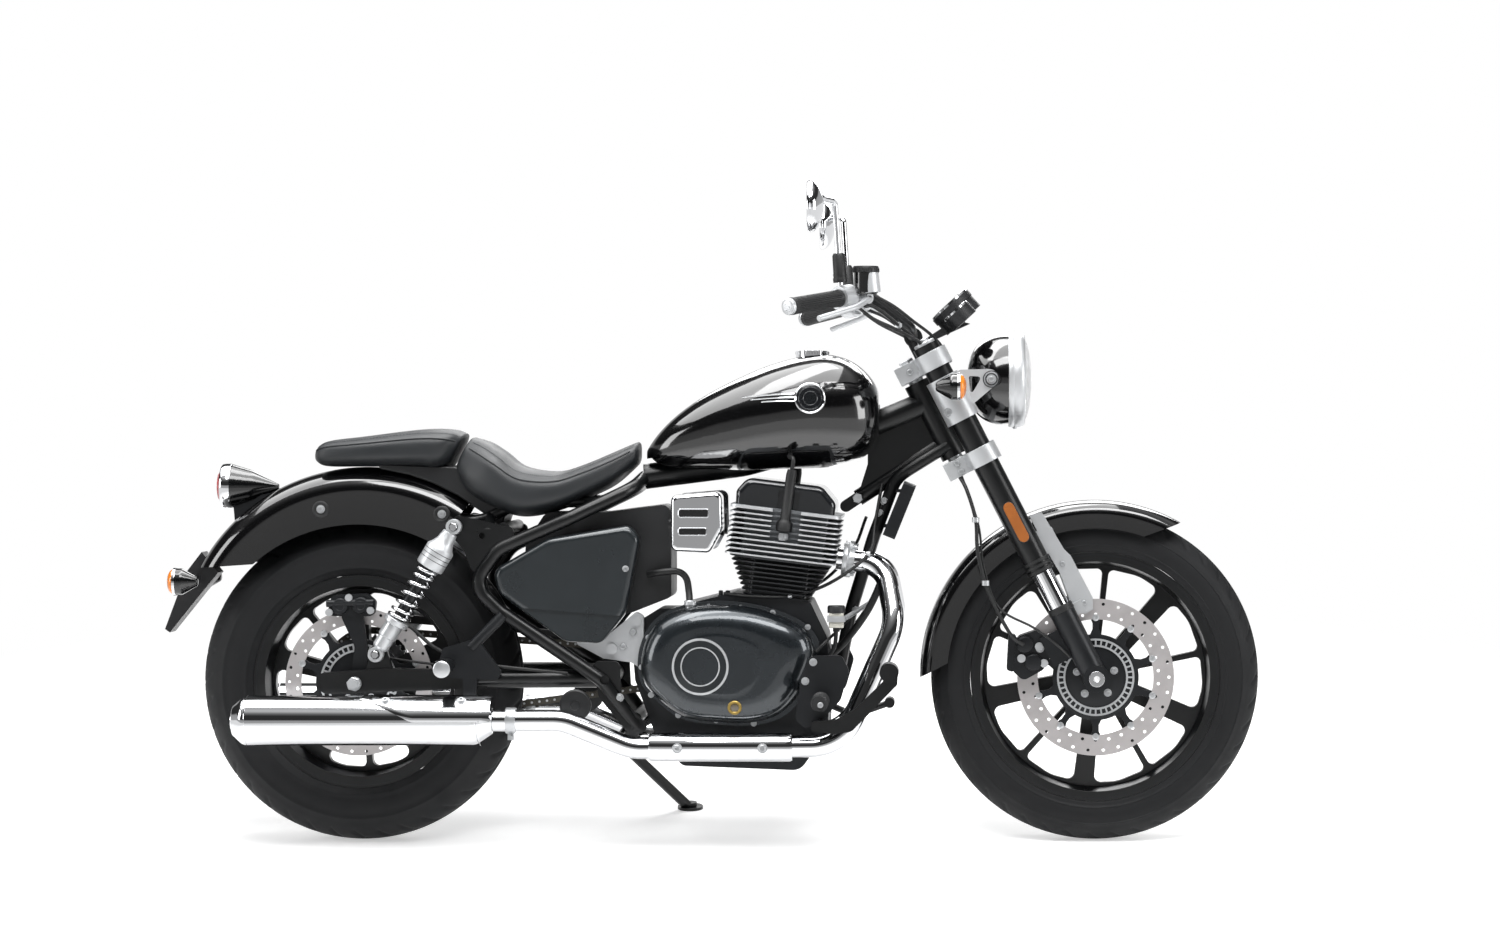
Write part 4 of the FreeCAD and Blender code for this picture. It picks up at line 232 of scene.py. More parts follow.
class Part(str, Enum):
    """The bodies that a piece can ride on."""

    FRAME = "frame"
    STEERING = "steering"
    FRONT_WHEEL = "front_wheel"
    REAR_WHEEL = "rear_wheel"


class Texture(Enum):
    """How a surface was made, which sets its pattern."""

    SMOOTH = "smooth"
    BRUSHED = "brushed"
    GRAINED = "grained"


def linear(hex_colour: str) -> tuple[float, ...]:
    """An sRGB hex colour as linear light.

    Args:
        hex_colour: Six hex digits.

    Returns:
        Red, green, blue and one.
    """
    shares = [int(hex_colour[i:i + 2], 16) / 255 for i in (0, 2, 4)]
    return *(s / 12.92 if s <= 0.04045 else ((s + 0.055) / 1.055) ** 2.4 for s in shares), 1.0


def add_node(tree: bpy.types.NodeTree, kind: str, inputs: dict | None = None, **settings) -> bpy.types.Node:
    """Add a node with its settings and links.

    Args:
        tree: The node tree.
        kind: The node's type, without its first word.
        inputs: Socket to value, or to a pair of node and output name.
        **settings: Attributes of the node.

    Returns:
        The node.
    """
    made = tree.nodes.new(f"ShaderNode{kind}")
    for name, value in settings.items():
        setattr(made, name, value)
    for name, value in (inputs or {}).items():
        if isinstance(value, tuple) and isinstance(value[0], bpy.types.Node):
            tree.links.new(value[0].outputs[value[1]], made.inputs[name])
        else:
            made.inputs[name].default_value = value
    return made


@dataclass(frozen=True)
class Finish:
    """One real material: its colour and how its surface was made, with its grain in millimetres."""

    name: str
    slot: str | None
    colour: str
    roughness: float
    metallic: float = 0.0
    grain: float = 1.0
    relief: float = 0.0
    mottle: float = 0.15
    coat: float = 0.0
    glass: float = 0.0
    alpha: float = 1.0
    glow: float = 0.0
    ior: float = 1.5
    texture: Texture = Texture.SMOOTH

    def material(self) -> bpy.types.Material:
        """The node material, made once.

        Returns:
            The material.
        """
        found = bpy.data.materials.get(self.name)
        if found:
            return found
        made = bpy.data.materials.new(self.name)
        made.use_nodes = True
        tree = made.node_tree
        shader = tree.nodes["Principled BSDF"]
        values = {"Roughness": self.roughness, "Metallic": self.metallic, "Coat Weight": self.coat,
                  "Coat Roughness": 0.02, "Transmission Weight": self.glass, "Alpha": self.alpha}
        if not self.metallic:
            values["IOR"] = self.ior
        if self.glow:
            values |= {"Emission Color": linear(self.colour), "Emission Strength": self.glow}
        for socket, value in values.items():
            shader.inputs[socket].default_value = value
        place = add_node(tree, "TexCoord")
        self.colouring(tree, shader, place)
        if self.relief:
            self.bumps(tree, shader, place)
        return made

    def colouring(self, tree: bpy.types.NodeTree, shader: bpy.types.Node, place: bpy.types.Node) -> None:
        """Broad variation of colour and roughness.

        Args:
            tree: The material's nodes.
            shader: Its principled shader.
            place: Its texture coordinates.
        """
        broad = add_node(tree, "TexNoise", {"Vector": (place, "Object"), "Scale": 14.0, "Detail": 4.0,
                                            "Roughness": 0.6})
        base = linear(self.colour)[:3]
        low = (*(c * (1 - self.mottle) for c in base), 1.0)
        high = (*(min(1.0, c * (1 + self.mottle)) for c in base), 1.0)
        tint = add_node(tree, "Mix", {0: (broad, "Fac"), 6: low, 7: high}, data_type="RGBA")
        worn = add_node(tree, "MapRange", {"Value": (broad, "Fac"), "From Min": 0.3, "From Max": 0.7,
                                           "To Min": self.roughness * 0.85,
                                           "To Max": min(1.0, self.roughness * 1.15 + 0.01)})
        tree.links.new(tint.outputs[2], shader.inputs["Base Color"])
        tree.links.new(worn.outputs["Result"], shader.inputs["Roughness"])

    def bumps(self, tree: bpy.types.NodeTree, shader: bpy.types.Node, place: bpy.types.Node) -> None:
        """The grain's fine relief.

        Args:
            tree: The material's nodes.
            shader: Its principled shader.
            place: Its texture coordinates.
        """
        stretch = (0.05, 1.0, 1.0) if self.texture is Texture.BRUSHED else (1.0, 1.0, 1.0)
        scaled = add_node(tree, "Mapping", {"Vector": (place, "Object"), "Scale": stretch})
        # Object coordinates are in metres, so a grain in millimetres repeats 1000 / grain times in each.
        where = {"Vector": (scaled, "Vector"), "Scale": 1000.0 / self.grain}
        if self.texture is Texture.GRAINED:
            # Pressed leather: rounded cells with sunken borders.
            height = (add_node(tree, "TexVoronoi", where, feature="DISTANCE_TO_EDGE"), "Distance")
        else:
            height = (add_node(tree, "TexNoise", {**where, "Detail": 3.0, "Roughness": 0.6}), "Fac")
        bump = add_node(tree, "Bump", {"Height": height, "Strength": 1.0, "Distance": self.relief * MM})
        tree.links.new(bump.outputs["Normal"], shader.inputs["Normal"])


# Enamels: deep black, dark grey metallic and dark slate, each under clear lacquer.
TANK_ENAMEL = Finish("black_enamel", "black_paint", "060607", 0.12, 0.0, 3.0, 0.002, 0.1, coat=1.0)
GREY_ENAMEL = Finish("grey_enamel", "black_paint", "1d1f22", 0.22, 0.3, 1.5, 0.002, coat=0.8)
PANEL_ENAMEL = Finish("slate_enamel", "black_paint", "24292c", 0.3, 0.35, 1.5, 0.002, 0.12, coat=0.5)
# Powder coat on tubes and wheels: satin black with a faint orange peel.
POWDER_COAT = Finish("satin_powder_coat", "satin_black", "0d0e0f", 0.32, 0.0, 2.2, 0.02, ior=1.42)
DARK_CASTING = Finish("dark_cast_alloy", "satin_black", "15171a", 0.4, 0.35, 1.4, 0.03, 0.2)
# Clutch and alternator covers: smooth castings in graphite metallic lacquer.
GRAPHITE = Finish("graphite_lacquered_alloy", "grey_alloy", "2a2f33", 0.26, 0.65, 1.2, 0.008, 0.12, coat=0.8)
CHROME = Finish("chrome_plate", "chrome", "d9dadc", 0.05, 1.0, 6.0, mottle=0.03)
ANODISED = Finish("satin_anodised_aluminium", "silver", "c6c8ca", 0.36, 0.6, 0.8, 0.012, 0.08)
# Machined fin edges: bare aluminium with a fine lay.
MACHINED = Finish("machined_aluminium", "silver", "d2d4d6", 0.34, 0.6, 0.7, 0.012, 0.12,
                  texture=Texture.BRUSHED)
GROUND_STEEL = Finish("ground_stainless_steel", "steel", "bab6b6", 0.36, 0.6, 0.5, 0.006, 0.08)
ZINC = Finish("zinc_plated_steel", "steel", "c2c4c6", 0.32, 0.65, 0.8, 0.01)
# The head between its fins: silver heat-proof paint, dulled and darker in the gaps.
HEAD_PAINT = Finish("silver_heat_paint", "grey_alloy", "74777a", 0.5, 0.4, 1.0, 0.03, 0.25)
COVER_PLATE = Finish("painted_cover_plate", "grey_alloy", "1d2124", 0.35, 0.4, 1.2, 0.008, coat=0.4)
CHAIN_STEEL = Finish("oiled_chain_steel", "steel", "55524c", 0.38, 0.9, 0.9, 0.02, 0.3)
BRASS = Finish("brass", None, "85713f", 0.3, 1.0, 0.8, 0.01)
TYRE_RUBBER = Finish("tyre_rubber", "tyre", "0f1012", 0.62, 0.0, 0.9, 0.05, 0.3, ior=1.36)
GRIP_RUBBER = Finish("grip_rubber", "rubber", "131415", 0.55, 0.0, 0.8, 0.04)
HOSE_RUBBER = Finish("hose_rubber", "rubber", "0c0d0e", 0.52, 0.0, 1.0, 0.02)
SEAT_VINYL = Finish("grained_seat_vinyl", "seat_cover", "181b1e", 0.5, 0.0, 1.8, 0.14, 0.2,
                    texture=Texture.GRAINED)
SEAT_THREAD = Finish("seat_thread", "seat_cover", "2b2e31", 0.7, 0.0, 0.6, 0.05)
ABS = Finish("textured_black_abs", "black_plastic", "121315", 0.45, 0.0, 0.9, 0.04)
GLOSS_ABS = Finish("gloss_black_abs", "black_plastic", "08090a", 0.15, 0.0, 4.0, coat=0.5)
AMBER = Finish("amber_acrylic", None, "dd7d1c", 0.12, 0.0, 2.0, 0.03, coat=0.6, glow=0.06)
# Prismatic reflex acrylic: small cells that break the amber up.
REFLEX = Finish("amber_reflex_acrylic", None, "9c571a", 0.2, 0.0, 3.0, 0.25, 0.35, coat=0.8,
                texture=Texture.GRAINED)
RED = Finish("red_acrylic", "red_lens", "a01018", 0.12, 0.0, 2.0, 0.03, coat=0.6, glow=0.08)
LENS_GLASS = Finish("lens_glass", "clear_lens", "f4f6f8", 0.03, mottle=0.0, glass=0.9, alpha=0.35)
REFLECTOR = Finish("vapour_coated_reflector", "chrome", "e6e7e9", 0.12, 1.0, mottle=0.02)
MIRROR = Finish("silvered_glass", None, "dfe3e6", 0.02, 1.0, mottle=0.0)
AMBER_OIL = Finish("oil_behind_glass", None, "4d4127", 0.1, coat=1.0, mottle=0.3)
FLUID_PLASTIC = Finish("milky_polyethylene", None, "c9c7bd", 0.35, 0.0, 2.0, 0.01)
DIAL = Finish("printed_dial", "black_plastic", "0d0e10", 0.5)
DIAL_INK = Finish("white_dial_ink", None, "b9bbbb", 0.6, mottle=0.02)


def circle(count: int, first: float = 0.0, sweep: float = 360.0, extra: int = 0) -> list[tuple[float, float]]:
    """Evenly spaced angles of a turn.

    Args:
        count: Divisions of the sweep.
        first: The first angle in degrees.
        sweep: The turn in degrees.
        extra: Angles added past the last division.

    Returns:
        Each angle's cosine and sine.
    """
    turns = [math.radians(first + sweep * k / count) for k in range(count + extra)]
    return [(math.cos(a), math.sin(a)) for a in turns]


def rounded(corners: Sequence[tuple[float, float]], radius: float, steps: int = 5) -> list[Vector]:
    """A polygon with rounded corners.

    Args:
        corners: The corners.
        radius: Their rounding.
        steps: Points in each rounding.

    Returns:
        The outline's points.
    """
    points = []
    for i, corner in enumerate(corners):
        here = Vector(corner)
        back = (Vector(corners[i - 1]) - here).normalized()
        ahead = (Vector(corners[(i + 1) % len(corners)]) - here).normalized()
        half = back.angle(ahead) / 2
        reach = radius / math.tan(half)
        centre = here + (back + ahead).normalized() * (radius / math.sin(half))
        first = here + back * reach - centre
        turn = first.angle_signed(here + ahead * reach - centre)
        points += [centre + Matrix.Rotation(-turn * k / steps, 2) @ first for k in range(steps + 1)]
    return points


def box(low: tuple[float, float], high: tuple[float, float], radius: float, steps: int = 5) -> list[Vector]:
    """A rounded rectangle.

    Args:
        low: Its lowest corner.
        high: Its highest corner.
        radius: Its corners' rounding.
        steps: Points in each rounding.

    Returns:
        The outline's points.
    """
    return rounded((low, (high[0], low[1]), high, (low[0], high[1])), radius, steps)


def smooth_line(points: Sequence[Vector], per: int = 6) -> list[Vector]:
    """A smooth line through points.

    Args:
        points: The points that it passes.
        per: Steps between two points.

    Returns:
        The line's points.
    """
    if len(points) < 3:
        return list(points)
    padded = [points[0] * 2 - points[1], *points, points[-1] * 2 - points[-2]]
    line = []
    for i in range(1, len(padded) - 2):
        a, b, c, d = padded[i - 1:i + 3]
        for k in range(per):
            t = k / per
            line.append(0.5 * ((2 * b) + (c - a) * t + (2 * a - 5 * b + 4 * c - d) * t * t
                               + (3 * b - a - 3 * c + d) * t ** 3))
    return [*line, points[-1].copy()]


class Shape:
    """Collects the faces of one piece, in the upright bike's millimetres."""

    def __init__(self) -> None:
        """Start with no faces."""
        self.mesh = bmesh.new()

    def face(self, points: Iterable[Vector]) -> "Shape":
        """Add one face with corners of its own."""
        self.mesh.faces.new([self.mesh.verts.new(p) for p in points])
        return self

    def grid(self, rows: Sequence[Sequence[Vector]], around: bool = False, along: bool = False,
             ends: bool = False) -> "Shape":
        """Faces between rows of points.

        Args:
            rows: Rows of equal length.
            around: Whether each row closes on itself.
            along: Whether the last row joins the first.
            ends: Whether the first and the last row are filled.

        Returns:
            This shape.
        """
        made = [[self.mesh.verts.new(p) for p in row] for row in rows]
        count = len(made[0])
        for i in range(len(made) if along else len(made) - 1):
            row, after = made[i], made[(i + 1) % len(made)]
            for k in range(count if around else count - 1):
                m = (k + 1) % count
                self.mesh.faces.new((row[k], row[m], after[m], after[k]))
        return self.face(rows[0]).face(rows[-1]) if ends else self

    def lathe(self, profile: Profile, centre: Point, axis: Vector, steps: int = 40,
              first: Vector | None = None, start: float = 0.0, sweep: float = 360.0) -> "Shape":
        """Turn a profile about an axis. One that stays off the axis at both ends is a closed loop.

        Args:
            profile: Pairs of radius and distance along the axis.
            centre: The axis's zero point.
            axis: Its direction.
            steps: Divisions of the turn.
            first: The direction of angle zero.
            start: The first angle in degrees.
            sweep: The turn in degrees.

        Returns:
            This shape.
        """
        centre, w = Vector(centre), axis.normalized()
        u = w.orthogonal().normalized() if first is None else (first - w * first.dot(w)).normalized()
        v = w.cross(u)
        whole = sweep >= 360
        closed = len(profile) > 2 and profile[0][0] > 0 and profile[-1][0] > 0
        rows = [[centre + w * h + (u * c + v * s) * r for r, h in profile]
                for c, s in circle(steps, start, sweep, 0 if whole else 1)]
        return self.grid(rows, closed, whole, closed and not whole)

    def rod(self, start: Point, end: Point, radius: float, steps: int = 20) -> "Shape":
        """Add a closed rod between two points."""
        way = Vector(end) - Vector(start)
        return self.lathe([(0, 0), (radius, 0), (radius, way.length), (0, way.length)], start, way, steps)

    def torus(self, centre: Point, axis: Vector, ring: float, thick: float, steps: int = 48,
              sides: int = 6) -> "Shape":
        """Add a round ring of round section."""
        return self.lathe([(ring + thick * c, thick * s) for c, s in circle(sides)], centre, axis, steps)

    def tube(self, points: Sequence[Point], radius: float, sides: int = 10, per: int = 6) -> "Shape":
        """A round tube on a smooth line, closed at both ends.

        Args:
            points: The points that the line passes.
            radius: The tube's radius.
            sides: Sides of its section.
            per: Steps between two points.

        Returns:
            This shape.
        """
        line = smooth_line([Vector(p) for p in points], per)
        side = (line[1] - line[0]).normalized().orthogonal().normalized()
        rows = []
        for i, p in enumerate(line):
            way = (line[min(i + 1, len(line) - 1)] - line[max(i - 1, 0)]).normalized()
            side = (side - way * side.dot(way)).normalized()
            other = way.cross(side)
            rows.append([p + (side * c + other * s) * radius for c, s in circle(sides)])
        return self.grid(rows, around=True, ends=True)

    def prism(self, outline: Sequence[Point], depth: Vector) -> "Shape":
        """Push a flat outline along a vector.

        Args:
            outline: Its points.
            depth: The vector.

        Returns:
            This shape.
        """
        near = [Vector(p) for p in outline]
        far = [p + depth for p in near]
        return self.grid([near, far], around=True, ends=True)

    def bolt(self, at: Point, axis: Vector, radius: float = 6.0, height: float = 5.0) -> "Shape":
        """A domed socket-head bolt on a washer.

        Args:
            at: The middle of its seat.
            axis: Its outward direction.
            radius: The head's radius.
            height: The head's height.

        Returns:
            This shape.
        """
        washer = [(0, -0.5), (radius * 1.35, -0.5), (radius * 1.35, 1.0), (radius, 1.0)]
        head = [(radius, height * 0.7), (radius * 0.82, height), (radius * 0.5, height),
                (radius * 0.5, height * 0.45), (0, height * 0.45)]
        return self.lathe(washer + head, at, axis, 12)

    def hexagon(self, at: Point, axis: Vector, radius: float, height: float) -> "Shape":
        """Add a plain hexagon nut or head."""
        return self.lathe([(0, 0), (radius, 0), (radius, height * 0.85), (radius * 0.9, height), (0, height)],
                          at, axis, 6)

    def place(self, name: str, finish: Finish, part: Part = Part.FRAME, bevel: float = 0.0,
              angle: float = 38.0, replaces: Iterable[str] = (), subdivide: int = 0) -> bpy.types.Object:
        """Turn the faces into a piece of the leaned bike.

        Args:
            name: The piece's name.
            finish: Its material.
            part: The body that it rides on.
            bevel: The edges' rounding in millimetres.
            angle: The angle in degrees past which an edge stays sharp.
            replaces: Nodes that it stands for.
            subdivide: Levels of subdivision surface.

        Returns:
            The piece.
        """
        bmesh.ops.remove_doubles(self.mesh, verts=self.mesh.verts, dist=MERGE_DISTANCE)
        bmesh.ops.recalc_face_normals(self.mesh, faces=self.mesh.faces)
        self.mesh.transform(LEAN)
        data = bpy.data.meshes.new(name)
        self.mesh.to_mesh(data)
        self.mesh.free()
        data.polygons.foreach_set("use_smooth", [True] * len(data.polygons))
        data.set_sharp_from_angle(angle=math.radians(angle))
        data.materials.append(finish.material())
        obj = bpy.data.objects.new(name, data)
        bpy.context.scene.collection.objects.link(obj)
        if bevel:
            soften(obj, bevel, math.radians(angle)).harden_normals = True
        if subdivide:
            smooth = obj.modifiers.new("smooth", "SUBSURF")
            smooth.levels = smooth.render_levels = subdivide
        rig.ride(obj, part.value)
        if finish.slot:
            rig.slot(obj, finish.slot)
        if replaces:
            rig.replaces(obj, *replaces)
        LOG.info("%s", name)
        return obj


def soften(obj: bpy.types.Object, width: float, angle: float) -> bpy.types.Modifier:
    """Round a piece's sharp edges.

    Args:
        obj: The piece.
        width: The rounding in millimetres.
        angle: The angle past which an edge is rounded.

    Returns:
        The modifier.
    """
    edge = obj.modifiers.new("edges", "BEVEL")
    edge.width = width * MM
    edge.segments = 2
    edge.limit_method = "ANGLE"
    edge.angle_limit = angle
    return edge


@lru_cache(maxsize=None)
def skin(name: str) -> BVHTree:
    """A node's faces, ready for finding points on them.

    Args:
        name: The node.

    Returns:
        Its tree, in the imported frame.
    """
    node = frame["nodes"][name]
    points = [node.matrix_world @ vertex.co for vertex in node.data.vertices]
    return BVHTree.FromPolygons(points, [tuple(face.vertices) for face in node.data.polygons])


def on_skin(name: str, start: Vector, way: Vector, lift: float = 0.0) -> tuple[Vector, Vector]:
    """Where a straight line meets a node.

    Args:
        name: The node.
        start: The line's start in the upright bike.
        way: Its direction.
        lift: How far off the face the point is set.

    Returns:
        The point and the face's outward direction.

    Raises:
        ValueError: If the line misses the node.
    """
    place, normal, _, _ = skin(name).ray_cast(LEAN @ start, (LEAN.to_3x3() @ way).normalized())
    if place is None:
        raise ValueError(f"nothing of {name} from {start}")
    out = (UPRIGHT.to_3x3() @ normal).normalized()
    if out.dot(way) > 0:
        out = -out
    return UPRIGHT @ place + out * lift, out


def from_side(name: str, x: float, z: float, side: float, lift: float = 0.0) -> tuple[Vector, Vector]:
    """The place on a node's outer face straight in from the bike's side."""
    return on_skin(name, Vector((x, side * OUTSIDE, z)), Y_AXIS * -side, lift)


def outermost(x: float, z: float, side: float) -> Vector:
    """The first face of any node straight in from the bike's side.

    Args:
        x: Where it is along the bike.
        z: Its height.
        side: The side's sign along Y.

    Returns:
        The point.
    """
    hits = []
    for name in frame["nodes"]:
        try:
            hits.append(from_side(name, x, z, side)[0])
        except ValueError:
            continue
    return max(hits, key=lambda p: p.y * side)


def polar(radius: float, degrees: float) -> Vector:
    """A reach from a wheel's axle, from the front upwards."""
    a = math.radians(degrees)
    return Vector((math.cos(a), 0.0, math.sin(a))) * radius


@dataclass
class BareNodes:
    """The nodes whose own shape is right: each gets its finish, and all but the plain ones get softened edges; the
    plain ones get their sharp edges split.
    """

    finishes: Sequence[tuple[Finish, str]] = (
        (POWDER_COAT, "main_frame swingarm front_rim rear_rim foot_controls fork_tubes handlebar side_stand"),
        (CHROME, "front_axle throttle_covers exhaust_headers mufflers filler_cap fork_sliders mirrors"),
        (ANODISED, "gearbox_plate fork_clamps fender_stays hand_controls lamp_brackets"),
        (TANK_ENAMEL, "fuel_tank rear_fender front_fender headlamp_bowl"),
        (GLOSS_ABS, "tail_lamp rear_indicators front_indicators"),
        (ABS, "air_box plate_bracket chain_guard instruments"),
        (GRAPHITE, "clutch_cover alternator_cover"),
        (ZINC, "rear_sprocket rear_axle"),
        (MACHINED, "cylinder_head"),
        (GREY_ENAMEL, "rocker_cover"),
        (PANEL_ENAMEL, "side_panels"),
    )
    other: Finish = DARK_CASTING
    soft_edge: float = 0.7
    split_angle: float = 32.0
    flat_weight: int = 60
    weld: float = 2e-6
    plain: Sequence[str] = ("fuel_tank", "front_fender", "rear_fender", "exhaust_headers", "headlamp_bowl")

    def build(self) -> None:
        """Give every node its material and its edges."""
        known = {name: finish for finish, names in self.finishes for name in names.split()}
        for name, node in frame["nodes"].items():
            node.data.materials.clear()
            node.data.materials.append(known.get(name, self.other).material())
            custom = node.data.attributes.get("custom_normal")
            if custom:
                node.data.attributes.remove(custom)
            node.data.polygons.foreach_set("use_smooth", [True] * len(node.data.polygons))
            node.modifiers.new("weld", "WELD").merge_threshold = self.weld
            if name in self.plain:
                node.modifiers.new("split", "EDGE_SPLIT").split_angle = math.radians(self.split_angle)
                continue
            soften(node, self.soft_edge, SHARP)
            even = node.modifiers.new("even", "WEIGHTED_NORMAL")
            even.weight = self.flat_weight
            even.keep_sharp = False
        LOG.info("dressed %d nodes", len(frame["nodes"]))


@dataclass
class Tyre:
    """A road tyre with moulded sidewall rings and cut tread.

    The long groove's place and half width and the slanted grooves' reach are shares of the half width.
    """

    name: str
    part: Part
    axle: Vector
    side: Profile
    crown: float
    half_width: float
    pitches: int
    steps: int = 480
    rows: int = 24
    groove_depth: float = 3.2
    crown_power: float = 2.2
    long_groove: float = 0.2
    long_half: float = 0.045
    wave: float = 0.035
    slant: float = 1.1
    slant_half: float = 0.09
    slant_reach: tuple[float, float] = (0.3, 0.8)

    def outline(self) -> list[tuple[float, float]]:
        """Pairs of radius and offset from bead to bead over the crown."""
        shoulder_radius, shoulder = self.side[-1]
        drop = self.crown - shoulder_radius
        shares = [-1 + 2 * i / self.rows for i in range(1, self.rows)]
        across = [(self.crown - drop * abs(t) ** self.crown_power, t * shoulder) for t in shares]
        return [(r, -y) for r, y in self.side] + across + list(reversed(self.side))

    def groove(self, angle: float, offset: float) -> float:
        """How deep the tread is cut at one place.

        Args:
            angle: The angle round the axle in radians.
            offset: The distance from the middle.

        Returns:
            The depth in millimetres.
        """
        across = abs(offset) / self.half_width
        wave = self.wave * math.sin(angle * self.pitches / 2)
        turn = angle * self.pitches / (2 * math.pi)
        phase = (turn + across * self.slant + (0.5 if offset > 0 else 0.0)) % 1.0
        near, far = self.slant_reach
        along = abs(across - self.long_groove - wave) < self.long_half
        slanted = near < across < far and abs(phase - 0.5) < self.slant_half
        return self.groove_depth if along or slanted else 0.0

    def build(self) -> None:
        """Build the tyre in place of its node."""
        outline = self.outline()
        rows = []
        for i, (c, s) in enumerate(circle(self.steps)):
            angle = 2 * math.pi * i / self.steps
            row = []
            for r, y in outline:
                depth = self.groove(angle, y) if r > self.side[-1][0] else 0.0
                row.append(self.axle + Vector((c * (r - depth), y, s * (r - depth))))
            rows.append(row)
        shape = Shape().grid(rows, around=True, along=True)
        shape.place(f"{self.name}_rubber", TYRE_RUBBER, self.part, angle=50, replaces=[self.name])


@dataclass
class Wheels:
    """Both tyres, the rims' lip edges and the valves."""

    front_side: Profile = (
        (255.6, 36.0), (255.6, 43.2), (262, 45.8), (266, 46.0), (267, 47.2), (269.5, 47.4), (270.5, 46.6),
        (278, 48.6), (286, 49.2), (294, 48.6), (300, 47.0), (301, 47.9), (303, 47.3), (304, 45.8),
        (311, 42.0))
    rear_side: Profile = (
        (217.6, 56.0), (217.6, 63.2), (225, 68.4), (230, 70.6), (231, 71.9), (234, 72.5), (235.4, 72.0),
        (243, 73.9), (254, 74.6), (266, 73.9), (277, 71.6), (278.4, 72.2), (281, 71.2), (282.4, 69.6),
        (293, 63.5))
    valve_angle: float = 100.0

    def build(self) -> None:
        """Build both wheels' pieces."""
        Tyre("front_tyre", Part.FRONT_WHEEL, FRONT_AXLE, self.front_side, 336.0, 42.0, 44).build()
        Tyre("rear_tyre", Part.REAR_WHEEL, REAR_AXLE, self.rear_side, 327.0, 63.5, 40).build()
        for side, part, axle, lip, half in (("front", Part.FRONT_WHEEL, FRONT_AXLE, 255, 44),
                                            ("rear", Part.REAR_WHEEL, REAR_AXLE, 217, 64)):
            lines = Shape()
            for way in SIDES:
                lines.torus(axle + Y_AXIS * way * (half - 1.2), Y_AXIS, lip - 6, 1.6, 120)
            lines.place(f"{side}_rim_lines", DARK_CASTING, part)
            root, neck, tip = (axle + polar(lip - depth, self.valve_angle) for depth in (36, 46, 70))
            Shape().rod(root, tip, 3.2).rod(root, neck, 5.0).place(f"{side}_valve", HOSE_RUBBER, part)


@dataclass
class Discs:
    """Brake discs: a drilled steel band on a dark carrier, with the slotted ring of the wheel sensor."""

    cells: int = 30
    band: float = 118.0
    thick: float = 5.0
    hole: float = 3.4
    slots: int = 40

    def build(self) -> None:
        """Build both discs in place of their nodes."""
        self.disc("front", Part.FRONT_WHEEL, FRONT_AXLE + RIGHT * 62.0, 160.0)
        self.disc("rear", Part.REAR_WHEEL, REAR_AXLE + RIGHT * 74.0, 150.0)

    def cell(self, shape: Shape, face: Vector, first: float, low: float, high: float) -> None:
        """One drilled cell of the band.

        Args:
            shape: The band so far.
            face: The middle of the band's inner face.
            first: The cell's first angle in degrees.
            low: Its inner radius.
            high: Its outer radius.
        """
        span = 360.0 / self.cells
        shares = (0, 0.25, 0.5, 0.75)
        loop = [(low, first + span * k) for k in shares]
        loop += [(low + (high - low) * k, first + span) for k in shares]
        loop += [(high, first + span * (1 - k)) for k in shares]
        loop += [(high - (high - low) * k, first) for k in shares]
        outer = [face + polar(r, a) for r, a in loop]
        middle = face + polar((low + high) / 2, first + span / 2)
        inner = [middle + (p - middle).normalized() * self.hole for p in outer]
        push = RIGHT * self.thick
        shape.grid([outer, inner, [p + push for p in inner], [p + push for p in outer]], around=True)

    def disc(self, side: str, part: Part, face: Vector, radius: float) -> None:
        """One disc.

        Args:
            side: Which wheel.
            part: The wheel's body.
            face: The middle of the disc's inner face.
            radius: The band's outer radius.
        """
        middle = (self.band + radius) / 2
        band, carrier, pins, ring = Shape(), Shape(), Shape(), Shape()
        for i in range(self.cells):
            first = i * 360.0 / self.cells
            self.cell(band, face, first, self.band, middle)
            self.cell(band, face, first + 180.0 / self.cells, middle, radius)
        for r in (self.band, radius):
            band.lathe([(r, 0), (r, self.thick)], face, RIGHT, self.cells * 4, first=X_AXIS)
        band.place(f"{side}_disc_band", GROUND_STEEL, part, angle=50, replaces=[f"{side}_disc"])
        carrier.lathe([(24, 0.6), (24, 5.6), (50, 5.6), (54, 4.4), (84, 4.4), (88, 3.6), (88, 0.6)],
                      face, RIGHT, 60)
        half = [(84, 13), (98, 6.5), (110, 6.5), (117, 9.5), (122, 7)]
        for a in range(18, 360, 36):
            out = polar(1, a)
            across = RIGHT.cross(out)
            corners = half + [(r, -w) for r, w in reversed(half)]
            carrier.prism([face + out * r + across * w + RIGHT * 0.8 for r, w in corners], RIGHT * 3.4)
            pins.lathe([(0, -0.8), (7, -0.8), (7, 6.2), (5.4, 6.8), (3.6, 6.8), (3.2, 5.2), (0, 5.2)],
                       face + out * 121.5, RIGHT, 18)
        for a in range(20, 360, 72):
            pins.bolt(face + polar(40, a) + RIGHT * 5.5, RIGHT)
        carrier.place(f"{side}_disc_carrier", DARK_CASTING, part, bevel=0.4)
        pins.place(f"{side}_disc_pins", ZINC, part)
        start = face + RIGHT * 5.2
        for r in (64.0, 77.0):
            ring.lathe([(r - 2, 0), (r - 2, 1.8), (r + 2, 1.8), (r + 2, 0)], start, RIGHT, 72)
        for i in range(self.slots):
            out = polar(1, 360 * i / self.slots)
            across = RIGHT.cross(out) * 1.7
            inner, outer = start + out * 65, start + out * 76
            ring.prism([inner - across, outer - across, outer + across, inner + across], RIGHT * 1.8)
        ring.place(f"{side}_pulse_ring", ZINC, part)


